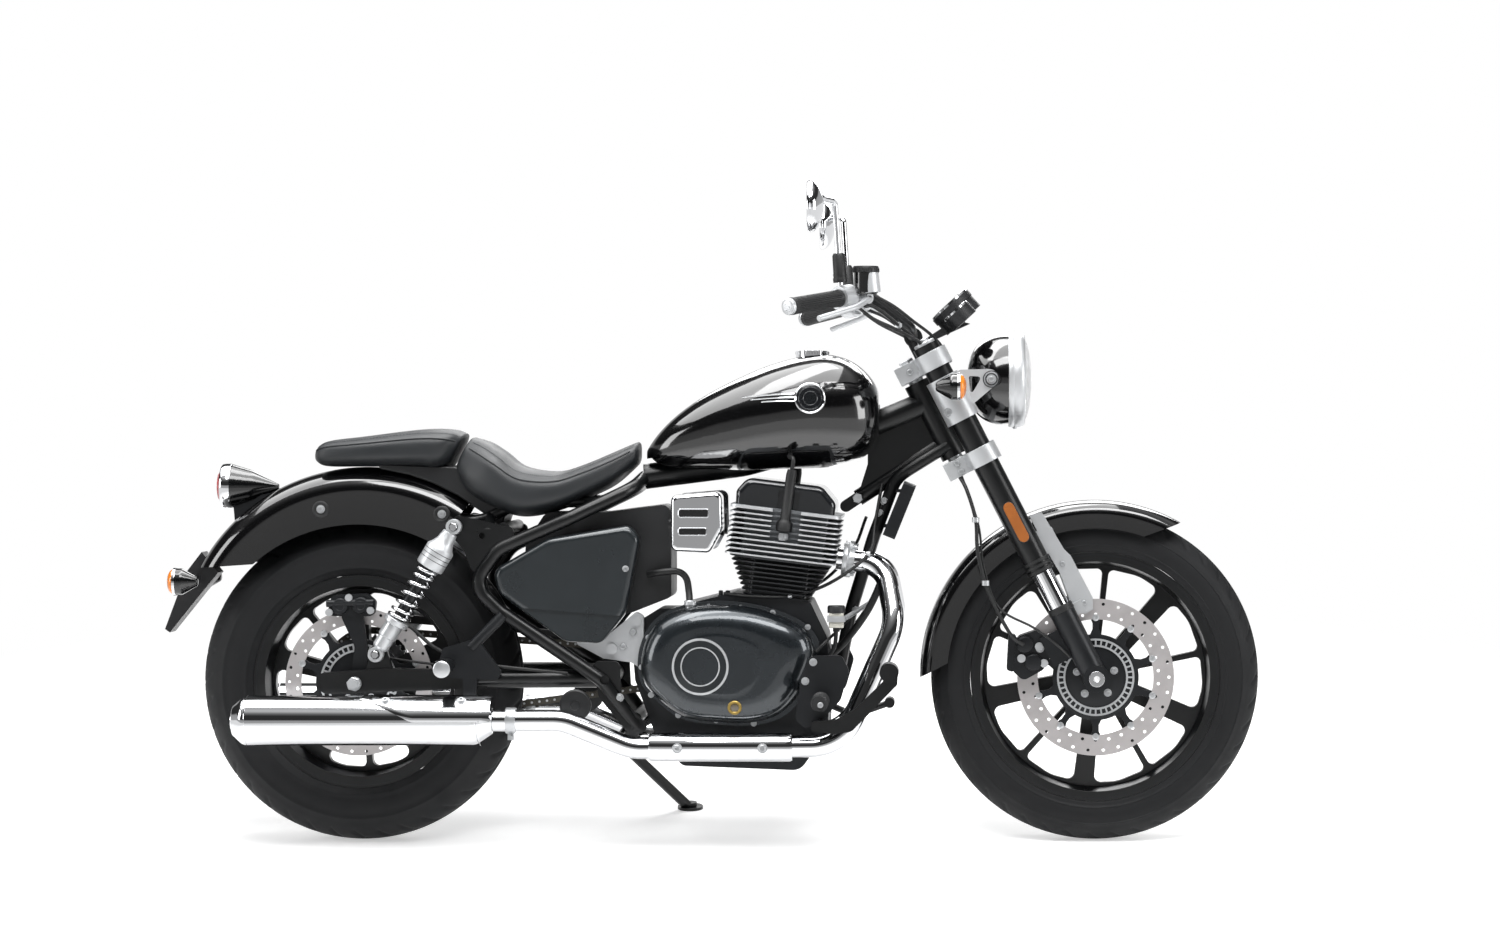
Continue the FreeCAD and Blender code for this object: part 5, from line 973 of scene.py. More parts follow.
@dataclass
class Chain:
    """The roller chain, link by link, in place of the plain band.

    A sprocket is its X, Z and radius. A pin or roller is half its length and its radius.
    """

    links: int = 102
    y: float = 96.0
    rear: tuple[float, float, float] = (0.0, 327.0, 96.01)
    front: tuple[float, float, float] = (596.19, 345.0, 37.9)
    steps: int = 400
    plate: float = 6.9
    plate_thick: float = 1.5
    inner: float = 5.6
    outer: float = 7.3
    pin: tuple[float, float] = (8.9, 2.6)
    roller: tuple[float, float] = (5.2, 5.0)

    def loop(self) -> list[Vector]:
        """The pins' places, evenly along the chain's line."""
        back = Vector((self.rear[0], self.y, self.rear[1]))
        ahead = Vector((self.front[0], self.y, self.front[1]))
        line = ahead - back
        slope = math.degrees(math.atan2(line.z, line.x))
        lean = math.degrees(math.asin((self.rear[2] - self.front[2]) / line.length))
        top, low = slope + 90 - lean, slope - 90 + lean
        dense = [ahead + Vector((c, 0, s)) * self.front[2] for c, s in circle(self.steps, top, low - top)]
        dense += [back + Vector((c, 0, s)) * self.rear[2]
                  for c, s in circle(self.steps, low + 360, top - low - 360)]
        dense.append(dense[0].copy())
        lengths = [0.0]
        for a, b in zip(dense, dense[1:]):
            lengths.append(lengths[-1] + (b - a).length)
        pins = []
        k = 0
        for i in range(self.links):
            want = lengths[-1] * i / self.links
            while lengths[k + 1] < want:
                k += 1
            pins.append(dense[k].lerp(dense[k + 1], (want - lengths[k]) / (lengths[k + 1] - lengths[k])))
        return pins

    def build(self) -> None:
        """Build plates and rollers."""
        pins = self.loop()
        plates, rollers = Shape(), Shape()
        for i, a in enumerate(pins):
            b = pins[(i + 1) % len(pins)]
            way = (b - a).normalized()
            up = way.cross(Y_AXIS)
            outline = [centre + (way * c + up * s) * self.plate
                       for centre, turn in ((b, -90), (a, 90)) for c, s in circle(4, turn, 180, 1)]
            reach = self.inner if i % 2 else self.outer
            for side in SIDES:
                out = Y_AXIS * side
                plates.prism([p + out * reach for p in outline], out * self.plate_thick)
            for (half, radius), steps in ((self.pin, 8), (self.roller, 12)):
                rollers.rod(a - Y_AXIS * half, a + Y_AXIS * half, radius, steps)
        plates.place("chain_plates", CHAIN_STEEL, replaces=["drive_chain"])
        rollers.place("chain_rollers", ZINC)


@dataclass
class Shocks:
    """The two rear shock absorbers, with wound springs."""

    foot: tuple[float, float, float] = (47.0, 164.0, 388.0)
    top: tuple[float, float, float] = (204.0, 164.0, 645.0)
    turns: float = 7.0
    ring: float = 21.0
    wire: float = 3.5

    def coil(self, foot: Vector, way: Vector, start: float, end: float) -> list[Vector]:
        """The spring's middle line.

        Args:
            foot: The damper's lower eye.
            way: Its direction.
            start: Where the spring begins along the damper.
            end: Where it ends.

        Returns:
            Its points.
        """
        across = way.cross(Y_AXIS).normalized()
        count = int(self.turns * 22)
        points = []
        for k, (c, s) in enumerate(circle(count, 0.0, 360 * self.turns, 1)):
            # Both ends are closed and ground flat, so the pitch is small there.
            eased = k / count - 0.055 * math.sin(2 * math.pi * k / count)
            middle = foot + way * (start + (end - start) * eased)
            points.append(middle + (Y_AXIS * c + across * s) * self.ring)
        return points

    def build(self) -> None:
        """Build both, in place of the plain node."""
        springs, dark, silver, bright = Shape(), Shape(), Shape(), Shape()
        way = (Vector(self.top) - Vector(self.foot)).normalized()
        end = (Vector(self.top) - Vector(self.foot)).length
        for side in SIDES:
            foot = Vector((self.foot[0], side * self.foot[1], self.foot[2]))
            springs.tube(self.coil(foot, way, 84.0, end - 98.0), self.wire, 10, 1)
            bright.rod(foot + way * 70, foot + way * (end - 60), 8)
            dark.rod(foot + way * 84, foot + way * (end - 96), 12.0)
            silver.lathe([(0, 12), (12, 12), (17, 18), (17, 40), (19, 42), (19, 70), (25, 72), (26, 76),
                          (26, 82), (22, 84), (0, 84)], foot, way, 32)
            silver.lathe([(0, end - 96), (27, end - 96), (29, end - 93), (29, end - 52), (27, end - 49),
                          (24, end - 46), (18, end - 34), (15, end - 14), (0, end - 12)], foot, way, 36)
            for back in (60, 69, 78):
                dark.torus(foot + way * (end - back), way, 29.0, 0.7, 36)
            for at in (foot, foot + way * end):
                silver.lathe([(9, -11), (15, -11), (15.6, -9), (15.6, 9), (15, 11), (9, 11)], at, Y_AXIS, 28)
                dark.lathe([(8.3, -10.5), (9.4, -10.5), (9.4, 10.5), (8.3, 10.5)], at, Y_AXIS, 24)
                bright.hexagon(at + Y_AXIS * side * 12, Y_AXIS * side, 8.5, 6)
        springs.place("shock_springs", CHROME, angle=60, replaces=["shock_absorbers"])
        dark.place("shock_dampers", DARK_CASTING, bevel=0.4)
        silver.place("shock_shrouds", ANODISED, bevel=0.5)
        bright.place("shock_rods", CHROME)


@dataclass
class Lamps:
    """Headlamp, tail lamp and flashers with their lenses, and the mirrors' glass."""

    lamp: tuple[float, float, float] = (1326.0, 0.0, 943.0)
    tail: tuple[float, float, float] = (-284.0, 0.0, 724.0)
    rear_flasher: tuple[float, float, float] = (-366.0, 128.0, 533.0)
    front_flasher: tuple[float, float, float] = (1222.0, 172.0, 927.0)
    flutes: int = 6

    def build(self) -> None:
        """Build every lens."""
        self.headlamp()
        self.tail_lamp()
        for k, side in enumerate(SIDES):
            x, y, z = self.rear_flasher
            self.flasher(k, (x, side * y, z), -X_AXIS, Part.FRAME)
            x, y, z = self.front_flasher
            self.flasher(k + 2, (x, side * y, z), X_AXIS, Part.STEERING)
            self.mirror("right" if side < 0 else "left", side)

    def turned(self, name: str, finish: Finish, part: Part, profile: Profile, at: Point, way: Vector,
               steps: int, angle: float = 38.0, replaces: Iterable[str] = ()) -> None:
        """One turned piece.

        Args:
            name: Its name.
            finish: Its material.
            part: The body that it rides on.
            profile: Pairs of radius and distance.
            at: The axis's zero point.
            way: Its direction.
            steps: Divisions of the turn.
            angle: The angle in degrees past which an edge stays sharp.
            replaces: Nodes that it stands for.
        """
        Shape().lathe(profile, at, way, steps).place(name, finish, part, angle=angle, replaces=replaces)

    def headlamp(self) -> None:
        """The silver rim, the domed glass, the fluted reflector and the bulb's shield."""
        x, _, z = self.lamp
        rim = ((91, -3), (96.4, -3), (97.6, 0), (97.6, 5), (96.2, 8), (97.4, 12), (97.2, 20), (95, 26),
               (91.5, 30), (88, 31), (86, 30), (88, 27), (91, 20), (91, 0))
        glass = ((87, 25), (84, 30), (74, 35.5), (56, 40.5), (36, 43.6), (16, 45), (0, 45.3))
        bowl = [(88 * math.sqrt(1 - (1 - k / 12) ** 2), 2 + 22 * k / 12) for k in range(13)]
        shield = ((0, 8), (16, 8), (20, 11), (20, 16), (14, 24), (0, 27))
        for name, finish, profile, steps, angle, replaces in (
                ("headlamp_rim", ANODISED, rim, 96, 38, ["headlamp_lens"]),
                ("headlamp_glass", LENS_GLASS, glass, 80, 80, ()),
                ("headlamp_reflector", REFLECTOR, bowl, 72, 80, ()),
                ("headlamp_bulb_shield", CHROME, shield, 32, 60, ())):
            self.turned(name, finish, Part.STEERING, profile, self.lamp, X_AXIS, steps, angle, replaces)
        ribs = Shape()
        for k in range(-self.flutes, self.flutes + 1):
            half = math.sqrt(78 ** 2 - (k * 12) ** 2)
            ribs.rod((x + 25, k * 12, z - half), (x + 25, k * 12, z + half), 1.2, 6)
        ribs.place("headlamp_flutes", LENS_GLASS, Part.STEERING)
        Shape().bolt((x + 10, 0, z - 97), -Z_AXIS, 4, 4).place("headlamp_screw", ZINC, Part.STEERING)

    def tail_lamp(self) -> None:
        """The red lens in its bright ring."""
        self.turned("tail_lens", RED, Part.FRAME, ((0, -18), (12, -17.4), (26, -15), (36, -10.5), (40.5, -5),
                                                   (41.5, 2), (0, 2)),
                    self.tail, X_AXIS, 56, 70)
        self.turned("tail_ring", CHROME, Part.FRAME, ((40.5, -7), (43.5, -8.5), (46, -6), (46.6, 0),
                                                      (46.6, 9), (45.6, 12), (44.4, 12), (41, -1)),
                    self.tail, X_AXIS, 72, 60)
        rings = Shape()
        for r, back in ((14.0, 17.4), (27.0, 14.6)):
            rings.torus(Vector(self.tail) - X_AXIS * back, X_AXIS, r, 0.8)
        rings.place("tail_lens_rings", RED)

    def flasher(self, k: int, at: Point, way: Vector, part: Part) -> None:
        """The amber lens, ring and bulb of one flasher.

        Args:
            k: Its number.
            at: Its lens's foot.
            way: Where it looks.
            part: The body that it rides on.
        """
        self.turned(f"flasher_lens_{k}", AMBER, part, ((0, 14.4), (8, 13.9), (16, 12), (22, 8.6), (25.2, 4),
                                                       (25.9, -3), (0, -3)), at, way, 40, 70)
        self.turned(f"flasher_ring_{k}", CHROME, part, ((25.4, -4), (25.4, 1.6), (27.8, 1.4), (28.2, -1),
                                                        (27.8, -4)), at, way, 48, 60)
        self.turned(f"flasher_bulb_{k}", DIAL_INK, part, ((0, 9), (5, 8), (7, 3), (0, 2)), at, way, 20)

    def mirror(self, name: str, side: int) -> None:
        """One mirror's glass, its lip and the ball joint on its stem.

        Args:
            name: Which mirror.
            side: Its sign along Y.
        """
        at = (926.0, side * 372.0, 1280.0)
        self.turned(f"mirror_glass_{name}", MIRROR, Part.STEERING,
                    ((0, 1.6), (20, 1.3), (38, 0.6), (47.5, 0.2), (47.5, -1), (0, -1)), at, -X_AXIS, 64, 50)
        lip = Shape().lathe([(47.5, -2), (47.5, 1.4), (50, 2.4), (52.4, 0.6), (52.6, -4), (51, -5)],
                            at, -X_AXIS, 72)
        lip.lathe([(0, -10), (7, -9), (9.5, -4), (9.5, 4), (7, 9), (0, 10)], (948.0, side * 352.0, 1296.0),
                  Vector((-0.5, side * 0.86, 0.1)), 24)
        lip.place(f"mirror_rim_{name}", CHROME, Part.STEERING, angle=55)


@dataclass
class Fasteners:
    """Bolts that show on the bike's sides, each group seated on a node's face or at a fixed distance."""

    groups: Sequence[tuple] = (
        ("clutch_cover_bolts", 126.0, Part.FRAME, (-1,), 4.6,
         ((640, 463), (714.5, 482), (779, 480), (844, 470), (915, 441), (593, 420), (579, 360), (598, 304),
          (653, 263), (729.5, 253), (806, 246), (926, 330))),
        ("alternator_bolts", 126.0, Part.FRAME, (1,), 4.6,
         ((700, 464), (779, 468), (858, 458), (903, 402), (908, 330), (870, 276), (790, 256), (712, 262),
          (684, 330), (682, 400))),
        ("guard_bolts", "foot_rests", Part.FRAME, SIDES, 6.0, ((929, 375), (913, 337), (947, 297))),
        ("loop_bolts", "main_frame", Part.FRAME, SIDES, 6.5, ((535, 299),)),
        ("fender_bolts", "rear_fender", Part.FRAME, SIDES, 6.5, ((-75, 679), (171, 669))),
        ("gearbox_bolts", "gearbox_plate", Part.FRAME, (-1,), 7.0, ((560, 430), (540, 400))),
        ("lamp_bracket_bolts", "lamp_brackets", Part.STEERING, SIDES, 7.0, ((1287, 943), (1200, 876))),
        ("stay_bolts", "fender_stays", Part.STEERING, SIDES, 5.0, ((1432, 568), (1476, 488))),
        ("panel_bolts", "side_panels", Part.FRAME, SIDES, 5.0, ((548, 560),)),
        ("front_caliper_bolts", "front_caliper", Part.STEERING, (-1,), 6.5, ((1386, 396),)),
        ("sprocket_cover_bolts", "sprocket_cover", Part.FRAME, (1,), 5.0,
         ((560, 345), (620, 392), (628, 300))),
    )
    hanger: tuple[float, float] = (1014.0, 700.0)
    tabs: Profile = ((1068.0, 694.0), (1059.0, 670.0), (1008.0, 472.0))

    def build(self) -> None:
        """Build each group of bolts as one piece, and those of the engine's hanger and the cooler's tabs."""
        for name, seat, part, sides, radius, places in self.groups:
            shape = Shape()
            for side in sides:
                for x, z in places:
                    fixed = isinstance(seat, float)
                    at = Vector((x, side * seat, z)) if fixed else from_side(seat, x, z, side)[0]
                    shape.bolt(at, Y_AXIS * side, radius, radius * (0.9 if fixed else 0.8))
            shape.place(name, ZINC, part)
        shape = Shape()
        for side in SIDES:
            shape.hexagon(outermost(*self.hanger, side), Y_AXIS * side, 11, 8)
            for x, z in self.tabs:
                shape.bolt(outermost(x, z, side), Y_AXIS * side)
        shape.place("frame_bolts", ZINC)


@dataclass
class Engine:
    """What is bolted on, plugged into and led round the parallel twin."""

    ring_centre: tuple[float, float] = (702.0, 365.0)
    ring_radius: float = 57.0
    window: tuple[float, float] = (771.0, 283.0)
    filler: tuple[float, float, float] = (678.0, -140.0, 424.0)
    bottle: tuple[float, float, float] = (973.0, -128.0, 462.0)
    fin_reach: tuple[float, float] = (104.0, 157.0)
    runs: Sequence[tuple] = (
        (3.4, ((1064, -34, 730), (1050, -60, 650), (1037, -92, 588), (960, -116, 530), (879, -122, 504),
               (800, -122, 503), (745, -112, 508))),
        (7.0, ((590, -90, 546), (615, -104, 551), (650, -110, 553), (668, -112, 540), (674, -116, 512),
               (677, -132, 484))),
        (3.2, ((1010, -60, 470), (978, -104, 436), (950, -128, 410), (932, -134, 392))),
        (3.4, ((1030, 44, 660), (1000, 78, 590), (930, 112, 520), (840, 118, 500), (752, 110, 500))),
    )

    def build(self) -> None:
        """Build every engine detail."""
        self.fin_edges()
        self.cover_ring()
        self.window_and_filler()
        self.plugs()
        self.cover_slots()
        self.cables()
        self.brake_bottle()
        self.cooler_hoses()
        self.rocker_details()

    def fin_edges(self) -> None:
        """Leave only the machined rims of the head's fins bright: the casting between them is painted."""
        node = frame["nodes"]["cylinder_head"]
        node.data.materials.append(HEAD_PAINT.material())
        tilt = Matrix.Rotation(-CYLINDER_TILT, 3, "Y")
        for face in node.data.polygons:
            place = tilt @ (UPRIGHT @ face.center - CYLINDER_FOOT)
            outer = abs(place.x) > self.fin_reach[0] or abs(place.y) > self.fin_reach[1]
            flat = abs((UPRIGHT.to_3x3() @ face.normal).normalized().dot(ENGINE_UP)) > 0.5
            face.material_index = 0 if outer and not flat else 1

    def cover_ring(self) -> None:
        """Two plain bright rings and a dark plate, pressed onto the clutch cover's dome."""
        middle_x, middle_z = self.ring_centre
        edge = self.ring_radius - 4.5
        for name, inner, outer, finish, lift in (("cover_ring", edge, self.ring_radius, ANODISED, 1.6),
                                                 ("cover_ring_inner", 37.0, 39.5, ANODISED, 1.6),
                                                 ("cover_disc", 39.5, edge, COVER_PLATE, 0.9)):
            rows = []
            for c, s in circle(72, extra=1):
                row = [from_side("clutch_cover", middle_x + r * c, middle_z + r * s, -1, lift)[0]
                       for r in (inner, (inner + outer) / 2, outer)]
                rows.append(row + [p + Y_AXIS * 2.2 for p in (row[-1], row[0])])
            Shape().grid(rows, around=True).place(name, finish, angle=40)

    def window_and_filler(self) -> None:
        """The oil level window in its brass ring, the filler with its plug, and two sensors."""
        at, out = from_side("clutch_cover", *self.window, -1)
        ring = Shape().lathe([(8.5, -3), (8.5, 2.2), (10, 3.4), (13, 3.4), (14.4, 2), (14.4, -3)],
                             at, out, 40)
        ring.place("level_window_ring", BRASS)
        pane = Shape().lathe([(0, 2.0), (6, 1.8), (8.8, 1.2), (8.8, -2), (0, -2)], at, out, 32)
        pane.place("level_window", AMBER_OIL)
        x, y, z = self.filler
        neck = Shape().lathe([(0, 0), (15, 0), (14, 34), (16.5, 36), (16.5, 50), (14.5, 52), (0, 52)],
                             self.filler, Z_AXIS, 32)
        neck.place("oil_filler_neck", GRAPHITE, bevel=0.5)
        cap = Shape().lathe([(0, 52), (9, 52), (9, 60), (12, 62), (12, 70), (10, 72), (0, 72)],
                            self.filler, Z_AXIS, 24)
        cap.rod((x - 12, y, z + 66), (x + 12, y, z + 66), 4.4)
        cap.place("oil_filler_plug", ZINC, bevel=0.4)
        sensors = Shape()
        for x in (738, 752):
            sensors.lathe([(0, -8), (6, -8), (6, 4), (4.4, 5), (4.4, 14), (0, 15)],
                          (x, -104, 500), Z_AXIS, 16)
        sensors.place("crankcase_sensors", ABS)

    def plugs(self) -> None:
        """Spark plugs, their long rubber caps and the leads to the coils under the tank."""
        caps, metal, leads = Shape(), Shape(), Shape()
        for side in SIDES:
            seat, top = engine_point(0, side * 143, 118), engine_point(2, side * 149, 262)
            way = (top - seat).normalized()
            length = (top - seat).length
            caps.lathe([(0, 18), (13, 18), (16.5, 20), (16.5, 36), (13.5, 39), (10.2, 44),
                        (10.2, length - 10), (8.5, length), (0, length)], seat, way, 28)
            metal.lathe([(0, 0), (9, 0), (9, 3), (0, 3)], seat, way, 24)
            metal.hexagon(seat + way * 3, way, 11.5, 12)
            leads.tube([top - way * 6, top + way * 22, (878, side * 128, 786), (884, side * 96, 800)],
                       4.2, 12)
        caps.place("plug_caps", HOSE_RUBBER, angle=50)
        metal.place("spark_plugs", ZINC)
        leads.place("plug_leads", HOSE_RUBBER)

    def cover_slots(self) -> None:
        """A dark sheet sunk in each slot of the throttle covers as painted shade of the slot's depth, and the slots'
        bright lips.
        """
        slot_shade, lips = Shape(), Shape()
        for side in SIDES:
            for last, low, high in ((716, 664, 680), (712, 628, 642)):
                outline = box((656, low), (last, high), 4)
                # Painted shade: a dark gloss sheet a few millimetres below each slot's lips stands for the dark depth
                # of the slot.
                slot_shade.prism([(p.x, side * 151.0, p.y) for p in outline], Y_AXIS * side * 4.5)
                lips.tube([(p.x, side * 158.2, p.y) for p in (*outline, outline[0])], 1.3, 6, 1)
        slot_shade.place("throttle_cover_slot_shade", GLOSS_ABS)
        lips.place("throttle_cover_lips", CHROME)

    def cables(self) -> None:
        """Clutch cable, breather hose and the loom down the front of the engine, with two clips."""
        shape, clips = Shape(), Shape()
        for radius, run in self.runs:
            shape.tube(run, radius, 12 if radius > 5 else 10)
        shape.place("engine_cables", HOSE_RUBBER)
        for k in (4, 2):
            clips.lathe([(3.2, -4), (5.4, -4), (5.4, 4), (3.2, 4)], self.runs[0][1][k], X_AXIS, 20)
        clips.place("cable_clips", ZINC)

    def brake_bottle(self) -> None:
        """The rear brake's fluid bottle: translucent body, black cap and steel strap."""
        x, y, z = self.bottle
        body = Shape().prism([(x + p.x, y + p.y, z - 22) for p in box((-15, -15), (15, 15), 4)], Z_AXIS * 30)
        body.place("rear_fluid_bottle", FLUID_PLASTIC, bevel=1.2)
        cap = Shape().lathe([(0, 8), (18, 8), (18, 20), (16, 23), (0, 23)], self.bottle, Z_AXIS, 28)
        cap.lathe([(0, -30), (7, -30), (7, -22), (0, -22)], self.bottle, Z_AXIS, 20)
        cap.tube([(x, y, z - 28), (x - 4, y + 4, z - 60), (x - 20, y + 10, z - 88)], 4.2)
        cap.place("rear_fluid_cap", ABS)
        outline = ((-16.4, -16.4), (16.4, -16.4), (16.4, 20), (18, 20), (18, -18), (-18, -18), (-18, 20),
                   (-16.4, 20))
        strap = Shape().prism([(x + a, y + b, z - 10) for a, b in outline], Z_AXIS * 12)
        strap.rod((x + 17, y + 16, z - 4), (1040, -34, 486), 5.0)
        strap.place("rear_fluid_strap", ZINC)

    def cooler_hoses(self) -> None:
        """The oil cooler's two hoses with their unions."""
        hoses, ends = Shape(), Shape()
        run = ((1070, 74, 566), (1062, 76, 530), (1034, 72, 470), (990, 62, 410), (952, 52, 372))
        for side in SIDES:
            points = [Vector((x, side * y, z)) for x, y, z in run]
            hoses.tube(points, 7.5, 14)
            ends.lathe([(0, 0), (10, 0), (10, 12), (8.4, 14), (8.4, 24), (0, 24)], points[0],
                       points[1] - points[0], 18)
        hoses.place("cooler_hoses", HOSE_RUBBER)
        ends.place("cooler_unions", ZINC)

    def rocker_details(self) -> None:
        """Studs on the rocker cover and the exhaust flanges on the head."""
        studs, flanges = Shape(), Shape()
        way = (engine_point(1, 0, 0) - CYLINDER_FOOT).normalized()
        for side in SIDES:
            for x in (-92, 84):
                studs.bolt(engine_point(x, side * 104, 188), Y_AXIS * side, 6.5, 5)
            base = engine_point(118, side * 70, 92)
            flanges.lathe([(21, 6), (34, 6), (35, 8), (35, 15), (33, 17), (25, 19), (24, 30), (22.5, 30),
                           (21, 20)],
                          base, way, 40)
            for turn in SIDES:
                seat = base + ENGINE_UP * (turn * 28) + way * 16
                flanges.hexagon(seat, way, 7.5, 9).rod(seat, seat + way * 16, 3.6)
        studs.place("rocker_studs", ZINC)
        flanges.place("exhaust_flanges", ANODISED, bevel=0.4)


@dataclass
class Exhaust:
    """Heat shields, seams and clamps on both silencers and pipes."""

    y: float = 192.0
    z: float = 257.0
    radius: float = 50.0
    pipe: tuple[float, float, float] = (594.0, 172.0, 202.0)
    pipe_profile: Profile = ((24.5, 4), (26.75, 4), (29, 8.5), (29, 287.5), (26.75, 292), (24.5, 292))
    steps: int = 34
    shield_start: float = 22.0
    shield_length: float = 262.0

    def build(self) -> None:
        """Build both sides."""
        seams, clamps, shields, pipes = Shape(), Shape(), Shape(), Shape()
        shield_bolts, pipe_bolts = Shape(), Shape()
        for side in SIDES:
            self.clamp(seams, clamps, Vector((0.0, side * self.y, self.z)))
            self.shield(shields, shield_bolts, side)
            x, y, z = self.pipe
            # Angles run from straight up about X, so the outer side is at 90 degrees on the right.
            first = 10.0 if side < 0 else -170.0
            pipes.lathe(self.pipe_profile, (x, side * y, z), X_AXIS, 24, Z_AXIS, first, 160.0)
            for x in (656.0, 827.0):
                pipe_bolts.bolt((x, side * 200.6, z), Y_AXIS * side, 7.5)
        for shape, name, finish, angle in ((pipes, "pipe_shields", CHROME, 50),
                                           (pipe_bolts, "pipe_shield_bolts", ZINC, 38),
                                           (shields, "silencer_shields", CHROME, 50),
                                           (shield_bolts, "silencer_shield_bolts", ZINC, 38),
                                           (seams, "silencer_seams", CHROME, 38),
                                           (clamps, "silencer_clamps", ZINC, 38)):
            shape.place(name, finish, angle=angle)

    def on_silencer(self, x: float, side: int, degrees: float, rise: float) -> tuple[Vector, Vector]:
        """A place on a silencer.

        Args:
            x: Where it is along the bike.
            side: The silencer's sign along Y.
            degrees: Its angle from straight up to the outside.
            rise: Its height off the silencer.

        Returns:
            The place and its outward direction.
        """
        a = math.radians(degrees)
        out = Vector((0.0, side * math.sin(a), math.cos(a)))
        return Vector((x, side * self.y, self.z)) + out * (self.radius + rise), out

    def shield(self, shape: Shape, bolts: Shape, side: int) -> None:
        """The raised shield on one silencer, ending in a point at the back.

        Args:
            shape: The shields.
            bolts: Their bolts.
            side: Its sign along Y.
        """
        rows = []
        for i in range(self.steps + 1):
            x = self.shield_start + self.shield_length * i / self.steps
            # The lower edge drops from the point at the back to the shield's full depth.
            last = 28 + 62 * min(1.0, i / (self.steps * 0.4))
            row = []
            for k in range(17):
                lift = 1.6 if 0 < i < self.steps and 0 < k < 16 else 0.2
                row.append(self.on_silencer(x, side, -24 + (last + 24) * k / 16, lift)[0])
            rows.append(row)
        shape.grid(rows)
        for x in (74.0, 226.0):
            bolts.bolt(*self.on_silencer(x, side, 36, 1.6), 7.0, 4.5)

    def clamp(self, seams: Shape, clamps: Shape, axle: Vector) -> None:
        """Seams of one silencer's end caps and the clamp at its inlet.

        Args:
            seams: The seams.
            clamps: The clamps.
            axle: The silencer's axis at X zero.
        """
        for x in (-206.0, 262.0):
            seams.torus(axle + X_AXIS * x, X_AXIS, self.radius, 0.9, 72)
        seams.lathe([(15, -238), (19, -239), (21, -236), (19, -200), (15, -200)], axle, X_AXIS, 40)
        clamps.lathe([(22.2, 312), (25.6, 312), (26.4, 314), (26.4, 330), (25.6, 332), (22.2, 332)],
                     axle, X_AXIS, 40)
        seat = axle + Vector((316, 0, -27))
        corners = ((0, -6, -12), (12, -6, -12), (12, -6, 4), (0, -6, 4))
        clamps.prism([seat + Vector(p) for p in corners], Y_AXIS * 12)
        clamps.rod(seat + Vector((6, -14, -5)), seat + Vector((6, 14, -5)), 3.6)


